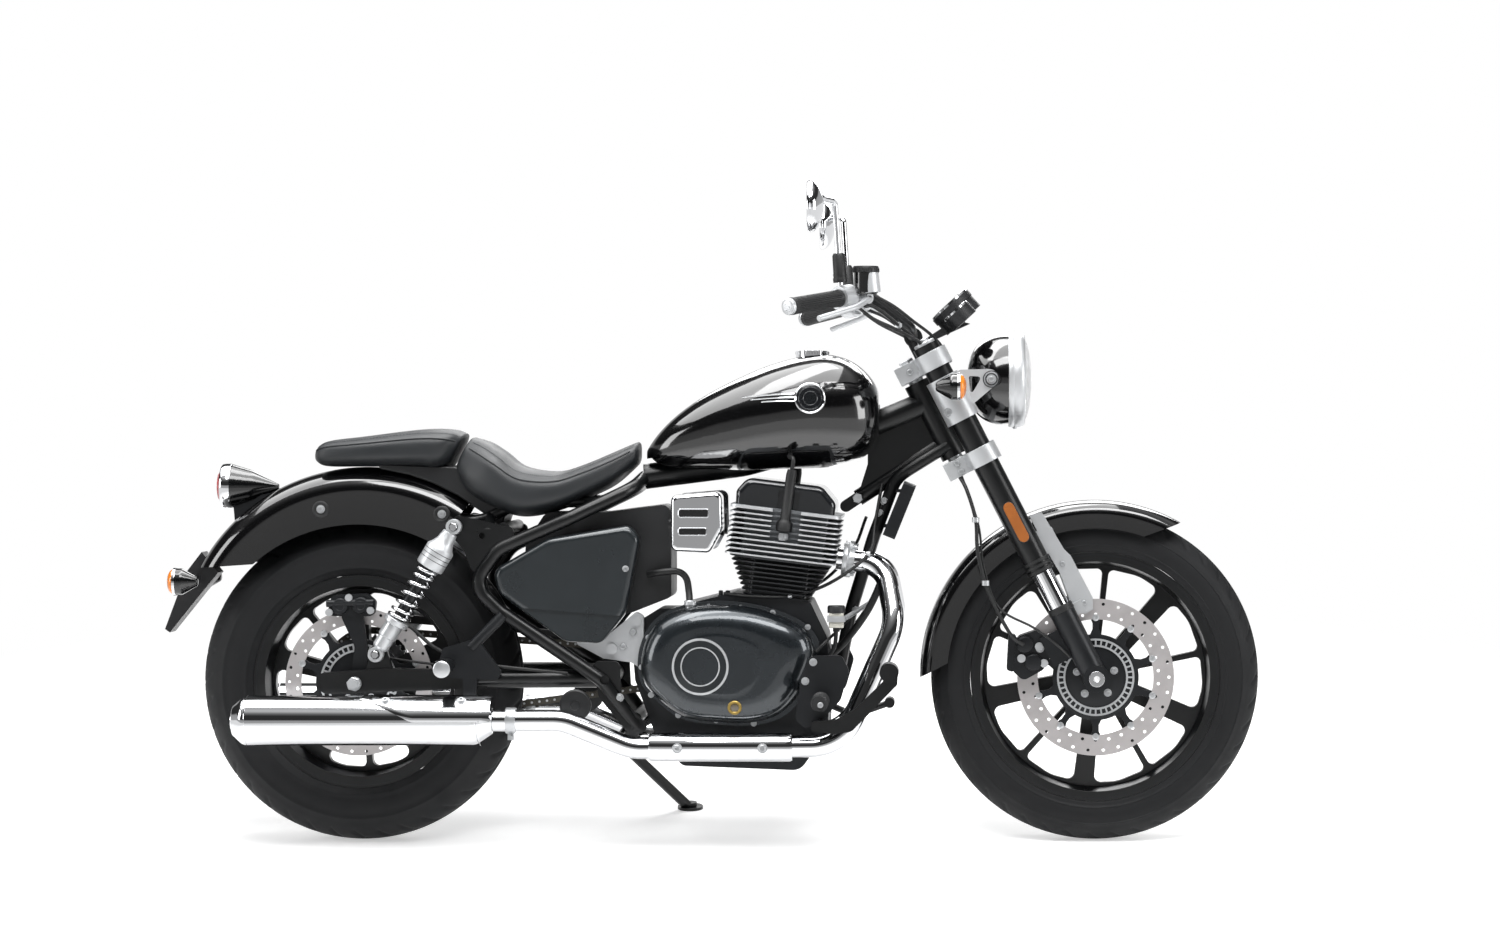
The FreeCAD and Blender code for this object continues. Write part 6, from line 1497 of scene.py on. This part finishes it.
@dataclass
class FrontEnd:
    """Fork, brake and lamp details that turn with the bar."""

    leg: float = 102.0
    hose: Sequence[Point] = ((1221, -92, 748), (1237, -112, 718), (1255, -122, 658), (1259, -124, 595),
                             (1276, -124, 524), (1302, -122, 467), (1330, -112, 420), (1352, -104, 404))
    lead: Sequence[Point] = ((1226, -86, 748), (1244, -108, 700), (1262, -116, 640), (1272, -118, 560),
                             (1302, -120, 480), (1372, -128, 440), (1420, -124, 404), (1446, -112, 380))
    pinch: Profile = ((-52, 518), (-52, 498), (-52, 726))
    pistons: Profile = ((1356, 404), (1372, 368))
    pins: Profile = ((1384, 400), (1348, 376), (1394, 366))

    def build(self) -> None:
        """Build every piece."""
        self.fork()
        self.bolts()
        self.brake()

    def fork(self) -> None:
        """Reflectors on the outer tubes, seal collars at their foot and plugs on their top."""
        amber, rims, dark, bright = Shape(), Shape(), Shape(), Shape()
        for side in SIDES:
            for made, half, out, depth in ((rims, 1.5, 127.0, 2.6), (amber, 0.0, 129.5, 1.8)):
                outline = box((-11 - half, 313 - half), (11 + half, 401 + half), 11, 6)
                made.prism([in_fork(p.x, side * out, p.y) for p in outline], Y_AXIS * side * depth)
            foot = in_fork(0, side * self.leg, 0)
            for w in (244.0, 254.0, 264.0):
                dark.lathe([(26.6, w), (29.2, w + 1), (29.2, w + 6), (26.6, w + 7)], foot, FORK_UP, 44)
            dark.lathe([(24, 150), (27, 152), (27, 163), (24, 165)], foot, FORK_UP, 44)
            bright.lathe([(0, 760), (22, 760), (22, 765), (20, 767), (12, 767), (12, 772), (10, 774),
                          (0, 774)],
                         foot, FORK_UP, 36)
        amber.place("fork_reflectors", REFLEX, Part.STEERING, bevel=0.6)
        rims.place("fork_reflector_frames", ABS, Part.STEERING)
        dark.place("fork_seal_collars", HOSE_RUBBER, Part.STEERING)
        bright.place("fork_top_plugs", ANODISED, Part.STEERING)

    def bolts(self) -> None:
        """Pinch bolts of both fork clamps, the stem's nut and the rings on the lamp's brackets."""
        shape, rings = Shape(), Shape()
        shape.hexagon(in_fork(-50.5, 0, 744), FORK_UP, 16, 9)
        for side in SIDES:
            for u, w in self.pinch:
                place = in_fork(u, 0, w)
                shape.bolt(from_side("fork_clamps", place.x, place.z, side)[0], Y_AXIS * side, 6.5, 6)
            seat, _ = from_side("lamp_brackets", 1287.0, 943.0, side)
            for radius, thick, steps in ((11.5, 1.3, 36), (16.5, 0.9, 40)):
                rings.torus(seat + Y_AXIS * side * 0.6, Y_AXIS, radius, thick, steps, 8)
        shape.place("fork_clamp_bolts", ZINC, Part.STEERING)
        rings.place("lamp_bracket_rings", DARK_CASTING, Part.STEERING)

    def brake(self) -> None:
        """The brake's hose, the wheel sensor's lead, their clips, and the caliper's pistons and pins."""
        lines, clips, pistons, pins = Shape(), Shape(), Shape(), Shape()
        lines.tube(self.hose, 3.9, 12).tube(self.lead, 2.5)
        for at in ((1255, -121, 658), (1275, -123, 530)):
            clips.lathe([(3.6, -5), (7.5, -5), (7.5, 5), (3.6, 5)], at, Z_AXIS, 20)
        for x, z in self.pistons:
            pistons.lathe([(0, -6), (17.5, -6), (17.5, 7), (15, 10), (8, 11), (0, 11)],
                          from_side("front_caliper", x, z, -1)[0], RIGHT, 36)
        for x, z in self.pins:
            pins.lathe([(0, -8), (6, -8), (6, 3), (8.5, 3), (8.5, 8), (0, 8)],
                       from_side("front_caliper", x, z, -1)[0], RIGHT, 24)
        lines.place("front_brake_hose", HOSE_RUBBER, Part.STEERING)
        clips.place("hose_clips", ZINC, Part.STEERING)
        pistons.place("front_caliper_pistons", DARK_CASTING, Part.STEERING, bevel=0.6)
        pins.place("front_caliper_pins", ZINC, Part.STEERING)


@dataclass
class Cockpit:
    """Grips, switches, brake fluid pot, cables and the instruments. Paired places are the left side's."""

    bar_end: tuple[float, float, float] = (893.0, 420.0, 1081.0)
    grip_root: tuple[float, float, float] = (990.0, 297.0, 1102.0)
    grip_ribs: int = 28
    pot_foot: float = 1110.0
    pot_above: float = 1122.0
    pot_ahead: float = 1030.0
    pot_ribs: int = 24
    dial_centre: Vector = field(default_factory=lambda: Vector((1218.0, 0.0, 1080.0)))
    small_dial: Vector = field(default_factory=lambda: Vector((1224.0, -72.0, 1072.0)))
    dial_way: Vector = field(default_factory=lambda: Vector((-0.68, 0.0, 0.74)).normalized())
    needle: float = 206.0
    runs: Sequence[tuple] = (
        (3.6, ((1030, -262, 1094), (1062, -236, 1080), (1100, -190, 1050), (1142, -120, 1016),
               (1168, -60, 985), (1176, -34, 940), (1172, -26, 900))),
        (3.2, ((1044, -258, 1112), (1090, -216, 1088), (1128, -160, 1060), (1168, -92, 1030),
               (1190, -40, 1000), (1188, -22, 950), (1180, -20, 905))),
        (3.2, ((1018, -268, 1086), (1050, -250, 1062), (1090, -212, 1044), (1130, -150, 1024),
               (1160, -84, 1006), (1182, -40, 980), (1196, -22, 930))),
        (3.6, ((1030, 262, 1094), (1066, 232, 1078), (1106, 184, 1048), (1146, 116, 1014), (1172, 56, 982),
               (1180, 30, 936), (1176, 24, 900))),
        (3.2, ((1020, 268, 1088), (1054, 246, 1064), (1096, 204, 1042), (1138, 140, 1020), (1166, 76, 1000),
               (1188, 34, 972), (1198, 22, 926))),
    )

    def build(self) -> None:
        """Build every piece."""
        self.bar()
        self.fluid_pot()
        self.cables()
        self.dials()

    def bar(self) -> None:
        """Ribbed grips, weights in the bar's ends, switches, lever clamps and the mirror stems' boots."""
        rubber, weights, housings, rockers, boots = Shape(), Shape(), Shape(), Shape(), Shape()
        back = Vector((-1.0, 0, 0.2)).normalized()
        for side in SIDES:
            end, root = (Vector((x, y * side, z)) for x, y, z in (self.bar_end, self.grip_root))
            way = (root - end).normalized()
            rubber.grid(self.grip(end, way, (root - end).length), around=True, ends=True)
            weights.lathe([(0, -13), (6, -13), (7, -11.5), (12, -11.5), (15.4, -10), (16.4, -7), (16.4, -2),
                           (13, 0.5), (0, 0.5)], end, way, 36)
            housings.lathe([(12, 1), (21, 1), (23.5, 4), (23.5, 26), (21, 30), (12, 30)], root, way, 32)
            housings.lathe([(12, 40), (16.5, 40), (17.5, 42), (17.5, 56), (16.5, 58), (12, 58)],
                           root, way, 32)
            housings.bolt(root + way * 49 - Z_AXIS * 17.5, -Z_AXIS, 4, 3.4)
            for h, rise in ((9, 4.0), (20, -3.2)):
                rockers.lathe([(0, -2), (5.4, -2), (5.4, 3), (4.4, 4.4), (0, 4.8)],
                              root + way * h + back * 21 + Z_AXIS * rise, back, 16)
            foot, top = Vector((986.0, side * 297.0, 1133.0)), Vector((982.5, side * 299.0, 1188.0))
            high = (top - foot).length
            boots.lathe([(0, -1), (13.8, -1), (14.4, 3), (14.4, 7), (13, 10), (13.8, 14), (13, 18),
                         (12.8, high - 3), (10, high + 2), (0, high + 2)], foot, top - foot, 28)
        rubber.place("grip_sleeves", GRIP_RUBBER, Part.STEERING, angle=32, replaces=["grips"])
        weights.place("bar_end_weights", ANODISED, Part.STEERING, bevel=0.3)
        housings.place("switch_housings", ANODISED, Part.STEERING, bevel=0.5)
        rockers.place("switch_rockers", ABS, Part.STEERING)
        boots.place("mirror_boots", HOSE_RUBBER, Part.STEERING, angle=50)

    def grip(self, end: Vector, way: Vector, length: float) -> list[list[Vector]]:
        """The rows of one grip, with its fine ribs and its flange.

        Args:
            end: The grip's outer end.
            way: Its direction towards the bike's middle.
            length: Its length.

        Returns:
            Its rows of points.
        """
        u = way.orthogonal().normalized()
        v = way.cross(u)
        rows = []
        for h, r, rib in ((0.0, 15.0, 0), (2.0, 17.2, 0), (9, 17.2, 0), (11, 16.8, 1.1),
                          (length - 16, 17.0, 1.1), (length - 14, 17.6, 0), (length - 6, 18.4, 0),
                          (length - 5, 23.5, 0), (length - 1, 23.5, 0), (length, 17, 0)):
            rows.append([end + way * h + (u * c + v * s) * (r if k % 4 else r - rib)
                         for k, (c, s) in enumerate(circle(self.grip_ribs * 4))])
        return rows

    def fluid_pot(self) -> None:
        """The front brake's round fluid pot and its ribbed cap, round the plain one of the controls' node."""
        found = [UPRIGHT @ vertex.co for vertex in frame["nodes"]["hand_controls"].data.vertices]
        found = [p for p in found if p.z > self.pot_above and p.x > self.pot_ahead and p.y < 0]
        high = Vector([max(p[i] for p in found) for i in range(3)])
        width = high.y - min(p.y for p in found)
        foot = Vector((high.x - width / 2, high.y - width / 2, self.pot_foot))
        radius = width / 2 + 0.5
        top = high.z - self.pot_foot
        pot = Shape().lathe([(0, -1), (radius - 4, -1), (radius, 3), (radius, top - 12), (0, top - 12)],
                            foot, Z_AXIS, 44)
        pot.place("fluid_pot", GLOSS_ABS, Part.STEERING, bevel=0.5)
        edge = radius + 1.6
        cap = Shape().lathe([(0, top - 12), (edge, top - 12), (edge, top - 3), (radius, top + 0.8),
                             (0, top + 0.8)],
                            foot, Z_AXIS, 44)
        for c, s in circle(self.pot_ribs):
            out = foot + Vector((c, s, 0)) * edge
            cap.rod(out + Z_AXIS * (top - 11), out + Z_AXIS * (top - 4), 1.0, 6)
        cap.place("fluid_pot_cap", ABS, Part.STEERING)

    def cables(self) -> None:
        """Throttle, clutch and brake lines from the bar to behind the headlamp."""
        lines, ties = Shape(), Shape()
        for radius, run in self.runs:
            lines.tube(run, radius)
        for _, run in (self.runs[0], self.runs[3]):
            ties.lathe([(3, -3), (6.4, -3), (6.4, 3), (3, 3)], run[2], Vector(run[3]) - Vector(run[1]), 18)
        lines.place("bar_cables", HOSE_RUBBER, Part.STEERING)
        ties.place("cable_ties", ZINC, Part.STEERING)

    def dials(self) -> None:
        """The dials' faces with plain marks and numbers under glass, in bright rings."""
        way = self.dial_way
        up = way.cross(Y_AXIS).normalized()
        up = -up if up.z < 0 else up
        face, ring, glass, ink = Shape(), Shape(), Shape(), Shape()
        for centre, radius, count in ((self.dial_centre, 42.0, 9), (self.small_dial, 26.0, 5)):
            seat, _ = on_skin("instruments", centre + way * 120, -way)
            face.lathe([(0, 0.4), (radius, 0.4), (radius, -2), (0, -2)], seat, way, 56)
            ring.lathe([(radius, -2), (radius, 3.6), (radius + 2, 5), (radius + 4, 4), (radius + 4.6, -2)],
                       seat, way, 64)
            glass.lathe([(0, 4.2), (radius * 0.6, 3.7), (radius, 2.6)], seat, way, 56)
            for k, (c, s) in enumerate(circle(count - 1, 215, -250, 1)):
                long, wide = (2.6, 0.35) if k % 2 else (5.0, 0.6)
                far = radius - 2.5
                self.mark(ink, seat + way * 0.4, up * s - Y_AXIS * c, (far, far - long), (wide, wide), 0.3)
                if count == 9 and k % 2 == 0:
                    self.number(ink, seat + way * 0.5 + (up * s - Y_AXIS * c) * 29.0, up, str(20 * k))
            c, s = circle(1, self.needle)[0]
            self.mark(ink, seat + way * 1.6, up * s - Y_AXIS * c, (radius - 8, -7), (0.4, 1.8), 0.8)
            ink.lathe([(0, 0.4), (4.4, 0.4), (4.4, 3), (0, 3)], seat, way, 20)
        face.place("dial_faces", DIAL, Part.STEERING)
        ring.place("dial_rings", CHROME, Part.STEERING)
        glass.place("dial_glass", LENS_GLASS, Part.STEERING, angle=80)
        ink.place("dial_marks", DIAL_INK, Part.STEERING)

    def mark(self, ink: Shape, seat: Vector, out: Vector, reach: tuple[float, float],
             half: tuple[float, float], thick: float) -> None:
        """One printed stroke or the needle.

        Args:
            ink: The shape that gets it.
            seat: The middle of the dial.
            out: Its direction from there.
            reach: How far out it begins and ends.
            half: Half its width at both places.
            thick: Its thickness.
        """
        side = self.dial_way.cross(out)
        (far, near), (tip, root) = reach, half
        ink.prism([seat + out * far + side * tip, seat + out * far - side * tip,
                   seat + out * near - side * root, seat + out * near + side * root], self.dial_way * thick)

    def number(self, ink: Shape, place: Vector, up: Vector, words: str) -> None:
        """One speed number.

        Args:
            ink: The shape that gets it.
            place: Its middle.
            up: The reader's up.
            words: Its digits.
        """
        text = bpy.data.curves.new("number", "FONT")
        text.body, text.size, text.extrude, text.resolution_u = words, 5.6, 0.12, 3
        text.align_x, text.align_y = "CENTER", "CENTER"
        made = bpy.data.objects.new("number", text)
        flat = bpy.data.meshes.new_from_object(made)
        corners = [ink.mesh.verts.new(place - Y_AXIS * v.co.x + up * v.co.y + self.dial_way * v.co.z)
                   for v in flat.vertices]
        for face in flat.polygons:
            ink.mesh.faces.new([corners[i] for i in face.vertices])
        bpy.data.objects.remove(made)
        bpy.data.curves.remove(text)
        bpy.data.meshes.remove(flat)


@dataclass
class Tank:
    """The tank's round badge plate, its trim lines and the filler cap's details."""

    badge: tuple[float, float] = (921.0, 904.0)
    radius: float = 31.0
    lines: Profile = ((9.0, 782.0), (1.5, 800.0), (-6.0, 822.0))
    line_steps: int = 16
    knurls: int = 36

    def build(self) -> None:
        """Build both sides and the cap."""
        plate, rim, trim = Shape(), Shape(), Shape()
        r = self.radius
        for side in SIDES:
            at, out = from_side("fuel_tank", *self.badge, side)
            u = (X_AXIS - out * out.x).normalized()
            plate.lathe([(0, 2.2), (20, 2.2), (r - 4, 1.9), (r - 2, 1.2), (r - 2, -4), (0, -4)],
                        at, out, 64, u)
            rim.lathe([(r - 2.5, -4), (r - 2.5, 2.2), (r - 1, 3.2), (r + 0.8, 2.2), (r + 1.2, -4)],
                      at, out, 72, u)
            for ring in (14.0, 23.0):
                rim.torus(at + out * 2.2, out, ring, 0.7, 60)
            start = self.badge[0] - r - 1
            for drop, far in self.lines:
                line = []
                for k in range(self.line_steps + 1):
                    t = k / self.line_steps
                    z = self.badge[1] + drop * (1 - 0.4 * t) - 4 * t ** 2
                    line.append(from_side("fuel_tank", start + (far - start) * t, z, side, 0.5)[0])
                trim.tube(line, 1.5, 8, 1)
        plate.place("tank_badge_plates", GREY_ENAMEL)
        rim.place("tank_badge_rims", CHROME, angle=50)
        trim.place("tank_trim_lines", CHROME)
        top, _ = on_skin("filler_cap", Vector((920.0, 0.0, 1100.0)), -Z_AXIS)
        cap = Shape().lathe([(0, 0), (9, 0), (9, 1.6), (7.6, 2.6), (0, 2.6)], top, Z_AXIS, 28)
        cap.lathe([(19, -0.4), (19, 1.2), (22, 1.2), (22, -0.4)], top, Z_AXIS, 56)
        for c, s in circle(self.knurls):
            out = top + Vector((c, s, 0)) * 33.6
            cap.rod(out - Z_AXIS * 7, out - Z_AXIS * 1.6, 1.1, 6)
        cap.place("filler_cap_details", CHROME)
        outline = ((-3.5, -0.7, 2.4), (3.5, -0.7, 2.4), (3.5, 0.7, 2.4), (-3.5, 0.7, 2.4))
        Shape().prism([top + Vector(p) for p in outline], Z_AXIS * 0.5).place("filler_cap_slot", ABS)


@dataclass
class RearEnd:
    """Axle ends, the caliper and its hose, covers, grommets, the seat's base and the pegs' rubber."""

    hoses: Sequence[tuple] = (
        (3.8, 12, ((70, -96, 452), (110, -112, 440), (160, -126, 400), (230, -138, 372), (330, -138, 358),
                   (430, -130, 348))),
        (2.5, 10, ((30, -92, 400), (60, -104, 380), (110, -122, 372), (180, -134, 364))),
    )
    base: Profile = ((40, 772), (196, 766), (208, 760), (238, 720), (278, 690), (302, 680), (288, 640),
                     (250, 672), (200, 706), (150, 731), (100, 748), (40, 760))
    peg: tuple[float, float, float] = (945, 226, 300)
    peg_length: float = 93.0

    def build(self) -> None:
        """Build every piece."""
        nuts, caps, grommets, rubber, ribs, bolts = Shape(), Shape(), Shape(), Shape(), Shape(), Shape()
        for side in SIDES:
            out = Y_AXIS * side
            at, _ = from_side("rear_axle", 0.0, 327.0, side)
            nuts.hexagon(at, out, 15, 10).rod(at, at + out * 15, 8.5)
            nuts.lathe([(0, 0), (17, 0), (17, 4), (14, 6), (0, 6)], outermost(192.0, 364.0, side), out, 32)
            caps.lathe([(0, -4), (32, -4), (32, 6), (29, 9), (10, 9), (10, 7), (0, 7)],
                       (446, side * 136, 284), out, 40)
            for x, z in ((-75, 679), (171, 669)):
                grommets.lathe([(0, -1), (17, -1), (17, 1.2), (14, 2.4), (9, 0.6), (0, 0.6)],
                               from_side("rear_fender", x, z, side)[0], out, 32)
            start = Vector((self.peg[0], side * self.peg[1], self.peg[2]))
            end = self.peg_length
            rubber.lathe([(9, 0), (15.5, 0), (16.5, 3), (16.5, end - 6), (14.5, end), (0, end)],
                         start, out, 28)
            for k in range(9):
                ribs.torus(start + out * (8 + 9.2 * k), out, 16.3, 1.4, 28)
        for a in range(10, 360, 72):
            bolts.bolt(REAR_AXLE + polar(54, a) + Y_AXIS * 100, Y_AXIS)
        base = Shape().prism([(x, -78.0, z) for x, z in self.base], Y_AXIS * 156)
        nuts.place("rear_axle_nuts", ZINC)
        caps.place("loop_caps", ABS, bevel=0.6)
        grommets.place("fender_grommets", HOSE_RUBBER)
        rubber.place("peg_rubbers", GRIP_RUBBER)
        ribs.place("peg_ribs", GRIP_RUBBER)
        bolts.place("sprocket_bolts", ZINC, Part.REAR_WHEEL)
        base.place("seat_base", ABS, bevel=5.0)
        self.brake()

    def brake(self) -> None:
        """The caliper's pistons and pins, and its hose and lead."""
        pistons, pins, lines = Shape(), Shape(), Shape()
        for x, z in ((-34, 482), (8, 484)):
            pistons.lathe([(0, -3), (17, -3), (17, 6), (14.5, 9), (9, 9), (8, 7.4), (0, 7.4)],
                          from_side("rear_caliper", x, z, -1)[0], RIGHT, 32)
        pistons.rod((-62, -106, 488), (34, -106, 490), 7.5)
        for x, z in ((-56, 470), (28, 474), (-16, 500)):
            pins.lathe([(0, -14), (5.5, -14), (5.5, 6), (7.5, 6), (7.5, 11), (0, 11)],
                       (x, -103, z), RIGHT, 20)
        for radius, sides, run in self.hoses:
            lines.tube(run, radius, sides)
        pistons.place("rear_caliper_pistons", DARK_CASTING, bevel=0.5)
        pins.place("rear_caliper_pins", ZINC)
        lines.place("rear_brake_hose", HOSE_RUBBER)


@dataclass
class Seats:
    """The rider's seat and the passenger's pad: tight vinyl over foam.

    A station is its X, low, high, half width, squareness and rake.
    """

    rider: Sequence[tuple[float, ...]] = (
        (206, 757, 826, 84, 2.8, 0.5), (236, 714, 815, 112, 2.9, 0.45), (276, 684, 795, 132, 3, 0.25),
        (330, 662, 765, 140, 3, 0.0), (400, 674, 755, 136, 3, 0.0), (456, 698, 770, 124, 3, 0.0),
        (515, 726, 795, 96, 2.8, 0.0), (568, 772, 818, 62, 2.5, 0.0))
    pillion: Sequence[tuple[float, ...]] = (
        (-92, 774, 800, 72, 2.6, 0.0), (-70, 765, 817, 98, 3, 0.0), (6, 764.5, 827, 112, 3, 0.0),
        (120, 763, 841, 112, 3, 0.0), (168, 758, 841, 106, 3, 0.4), (196, 762, 831, 82, 2.8, 0.5))
    around: int = 48

    def station(self, values: Sequence[float]) -> list[Vector]:
        """One cross-section of a seat.

        Args:
            values: The station.

        Returns:
            Its points.
        """
        x, low, high, half, square, rake = values
        middle, rise = (low + high) / 2, (high - low) / 2
        points = []
        for c, s in circle(self.around):
            y = half * math.copysign(abs(c) ** (2 / square), c)
            z = rise * math.copysign(abs(s) ** (2 / square), s)
            points.append(Vector((x + rake * z, y, middle + z)))
        return points

    def seam(self, rows: Sequence[Sequence[Vector]], share: float, lift: float) -> list[Vector]:
        """A line along a seat, two rows short of both ends.

        Args:
            rows: The seat's rows.
            share: The line's place as a share of the girth.
            lift: Its height off the seat.

        Returns:
            Its points.
        """
        k = round(share * self.around)
        points = []
        for row in rows[2:-2]:
            middle = sum(row, Vector()) / len(row)
            points.append(row[k] + (row[k] - middle).normalized() * lift)
        return points

    def build(self) -> None:
        """Build both pads with their piping and stitches."""
        for name, stations in (("rider_seat", self.rider), ("pillion_seat", self.pillion)):
            rings = [self.station(v) for v in stations]
            rows = list(zip(*(smooth_line(line) for line in zip(*rings))))
            cover, piping, thread = Shape().grid(rows, around=True, ends=True), Shape(), Shape()
            pad = cover.place(f"{name}_cover", SEAT_VINYL, angle=70, replaces=[name], subdivide=1)
            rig.padded(pad, fill=1.0)
            for share in (0.07, 0.43):
                piping.tube(self.seam(rows, share, 0.4), 2.0, 8, 1)
            for share in (0.115, 0.385):
                dense = smooth_line(self.seam(rows, share, 0.1))
                for a, b in zip(dense[::2], dense[1::2]):
                    thread.rod(a, b, 0.6, 6)
            piping.place(f"{name}_piping", SEAT_VINYL)
            thread.place(f"{name}_stitches", SEAT_THREAD)


@dataclass
class Studio:
    """Camera, lights, floor and backdrop. A light is its name, place, size and power."""

    lens: float = 93.385
    eye: tuple[float, float, float] = (1203.0, -8000.0, 850.0)
    shift: tuple[float, float] = (-200 / 1500, -50 / 1500)
    # A pale strip at the horizon, a dark wall up to about 31 degrees, then a slow rise to the ceiling.
    ramp: Profile = ((0.19, 0.62), (0.25, 0.05), (0.52, 0.06), (0.66, 0.3), (0.8, 1.0))
    middle: tuple[float, float, float] = (0.0, 0.0, 0.6)
    lights: Sequence[tuple] = (
        ("key", (0.6, -1.9, 3.9), (3.6, 1.2), 135), ("top", (-0.4, 0.3, 3.6), (3.6, 1.0), 75),
        ("back", (0.4, 3.4, 2.2), (3.0, 1.6), 70), ("nose", (3.6, -1.2, 1.6), (1.2, 1.8), 45),
        ("tail", (-3.6, -1.4, 1.6), (1.2, 1.8), 40))
    near: float = 1.3
    far: float = 2.6
    floor_edge: float = 40.0
    floor_grey: float = 0.86
    floor_glow: float = 0.46
    surround: float = 0.64

    def build(self) -> None:
        """Build the studio."""
        self.camera()
        self.world()
        self.floor()
        for name, place, size, power in self.lights:
            self.light(name, Vector(place), Vector(self.middle) - Vector(place), size, power)
        # A wide soft box overhead, which only shows as the pale top of the paint.
        sheen = self.light("sheen", Vector((-1.3, 0.6, 3.8)), Vector((0.0, 0.0, -1.0)), (5.4, 4.0), 260)
        sheen.visible_diffuse = False
        bpy.context.scene.view_settings.view_transform = "Standard"
        LOG.info("studio")

    def camera(self) -> None:
        """The camera at the photograph's view, level with the upright bike."""
        data = bpy.data.cameras.new("camera")
        data.lens, data.sensor_width, data.clip_end = self.lens, 36.0, 100.0
        data.shift_x, data.shift_y = self.shift
        made = bpy.data.objects.new("camera", data)
        bpy.context.scene.collection.objects.link(made)
        made.location = LEAN @ Vector(self.eye)
        made.rotation_euler = (math.radians(90) - LEAN_ANGLE, 0.0, 0.0)
        bpy.context.scene.camera = made

    def light(self, name: str, place: Vector, way: Vector, size: tuple[float, float],
              power: float) -> bpy.types.Object:
        """One rectangular soft light.

        Args:
            name: Its name.
            place: Where it is, in metres.
            way: Its direction.
            size: Width and height.
            power: Watts.

        Returns:
            The light.
        """
        data = bpy.data.lights.new(name, "AREA")
        data.shape, data.energy = "RECTANGLE", power
        data.size, data.size_y = size
        made = bpy.data.objects.new(name, data)
        bpy.context.scene.collection.objects.link(made)
        made.location = place
        made.rotation_euler = way.to_track_quat("-Z", "Y").to_euler()
        return made

    def world(self) -> None:
        """A white surround for the camera, and a studio with a darker wall for reflections."""
        world = bpy.data.worlds.new("studio")
        world.use_nodes = True
        tree = world.node_tree
        tree.nodes.clear()
        split = add_node(tree, "SeparateXYZ", {"Vector": (add_node(tree, "TexCoord"), "Generated")})
        ramp = add_node(tree, "ValToRGB", {"Fac": (split, "Z")})
        stops = ramp.color_ramp.elements
        stops[0].position, stops[0].color = 0.0, (0.75, 0.75, 0.75, 1)
        stops[1].position, stops[1].color = 1.0, (0.75, 0.75, 0.76, 1)
        for position, value in self.ramp:
            stops.new(position).color = (value, value, value, 1)
        paths = add_node(tree, "LightPath")
        studio = add_node(tree, "Background", {"Color": (ramp, "Color"), "Strength": self.surround})
        white = add_node(tree, "Background", {"Color": (1, 1, 1, 1), "Strength": 1.0})
        mixed = add_node(tree, "MixShader", {0: (paths, "Is Camera Ray"), 1: (studio, 0), 2: (white, 0)})
        add_node(tree, "OutputWorld", {"Surface": (mixed, 0)})
        bpy.context.scene.world = world

    def floor(self) -> None:
        """A pale floor that is white to the camera and keeps the shadow."""
        data = bpy.data.meshes.new("floor")
        e = self.floor_edge
        data.from_pydata([(-e, -e, 0), (e, -e, 0), (e, e, 0), (-e, e, 0)], [], [(0, 1, 2, 3)])
        made = bpy.data.objects.new("floor", data)
        bpy.context.scene.collection.objects.link(made)
        surface = bpy.data.materials.new("matt_white_floor")
        surface.use_nodes = True
        tree = surface.node_tree
        tree.nodes.clear()
        paint = add_node(tree, "BsdfDiffuse", {"Color": (*[self.floor_grey] * 3, 1)})
        glow = add_node(tree, "Emission", {"Color": (1, 1, 1, 1), "Strength": self.floor_glow})
        both = add_node(tree, "AddShader", {0: (paint, 0), 1: (glow, 0)})
        paths = add_node(tree, "LightPath")
        seen = add_node(tree, "Math", {0: (paths, "Is Camera Ray"), 1: (paths, "Is Glossy Ray")},
                        operation="MAXIMUM")
        # Away from the bike the floor is as white as the backdrop, so that no horizon shows.
        reach = add_node(tree, "VectorMath", {0: (add_node(tree, "TexCoord"), "Object")}, operation="LENGTH")
        fade = add_node(tree, "MapRange", {"Value": (reach, "Value"), "From Min": self.near,
                                           "From Max": self.far})
        white = add_node(tree, "Emission", {"Color": (1, 1, 1, 1), "Strength": 1.0})
        faded = add_node(tree, "MixShader", {0: (fade, "Result"), 1: (both, 0), 2: (white, 0)})
        mixed = add_node(tree, "MixShader", {0: (seen, 0), 1: (paint, 0), 2: (faded, 0)})
        add_node(tree, "OutputMaterial", {"Surface": (mixed, 0)})
        data.materials.append(surface)
        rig.stage(made)


def main() -> None:
    """Build the studio and every piece, in order."""
    logging.basicConfig(level=logging.INFO, format="%(message)s")
    for assembly in (Studio, BareNodes, Wheels, Discs, Chain, Shocks, Lamps, Seats, Engine, Exhaust, FrontEnd,
                     Cockpit, Tank, RearEnd, Fasteners):
        assembly().build()
    with open("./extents.json", "w") as out:
        json.dump([list(corner) for corner in (*CAD_BOX, *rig.bounds())], out)


if __name__ == "__main__":
    main()
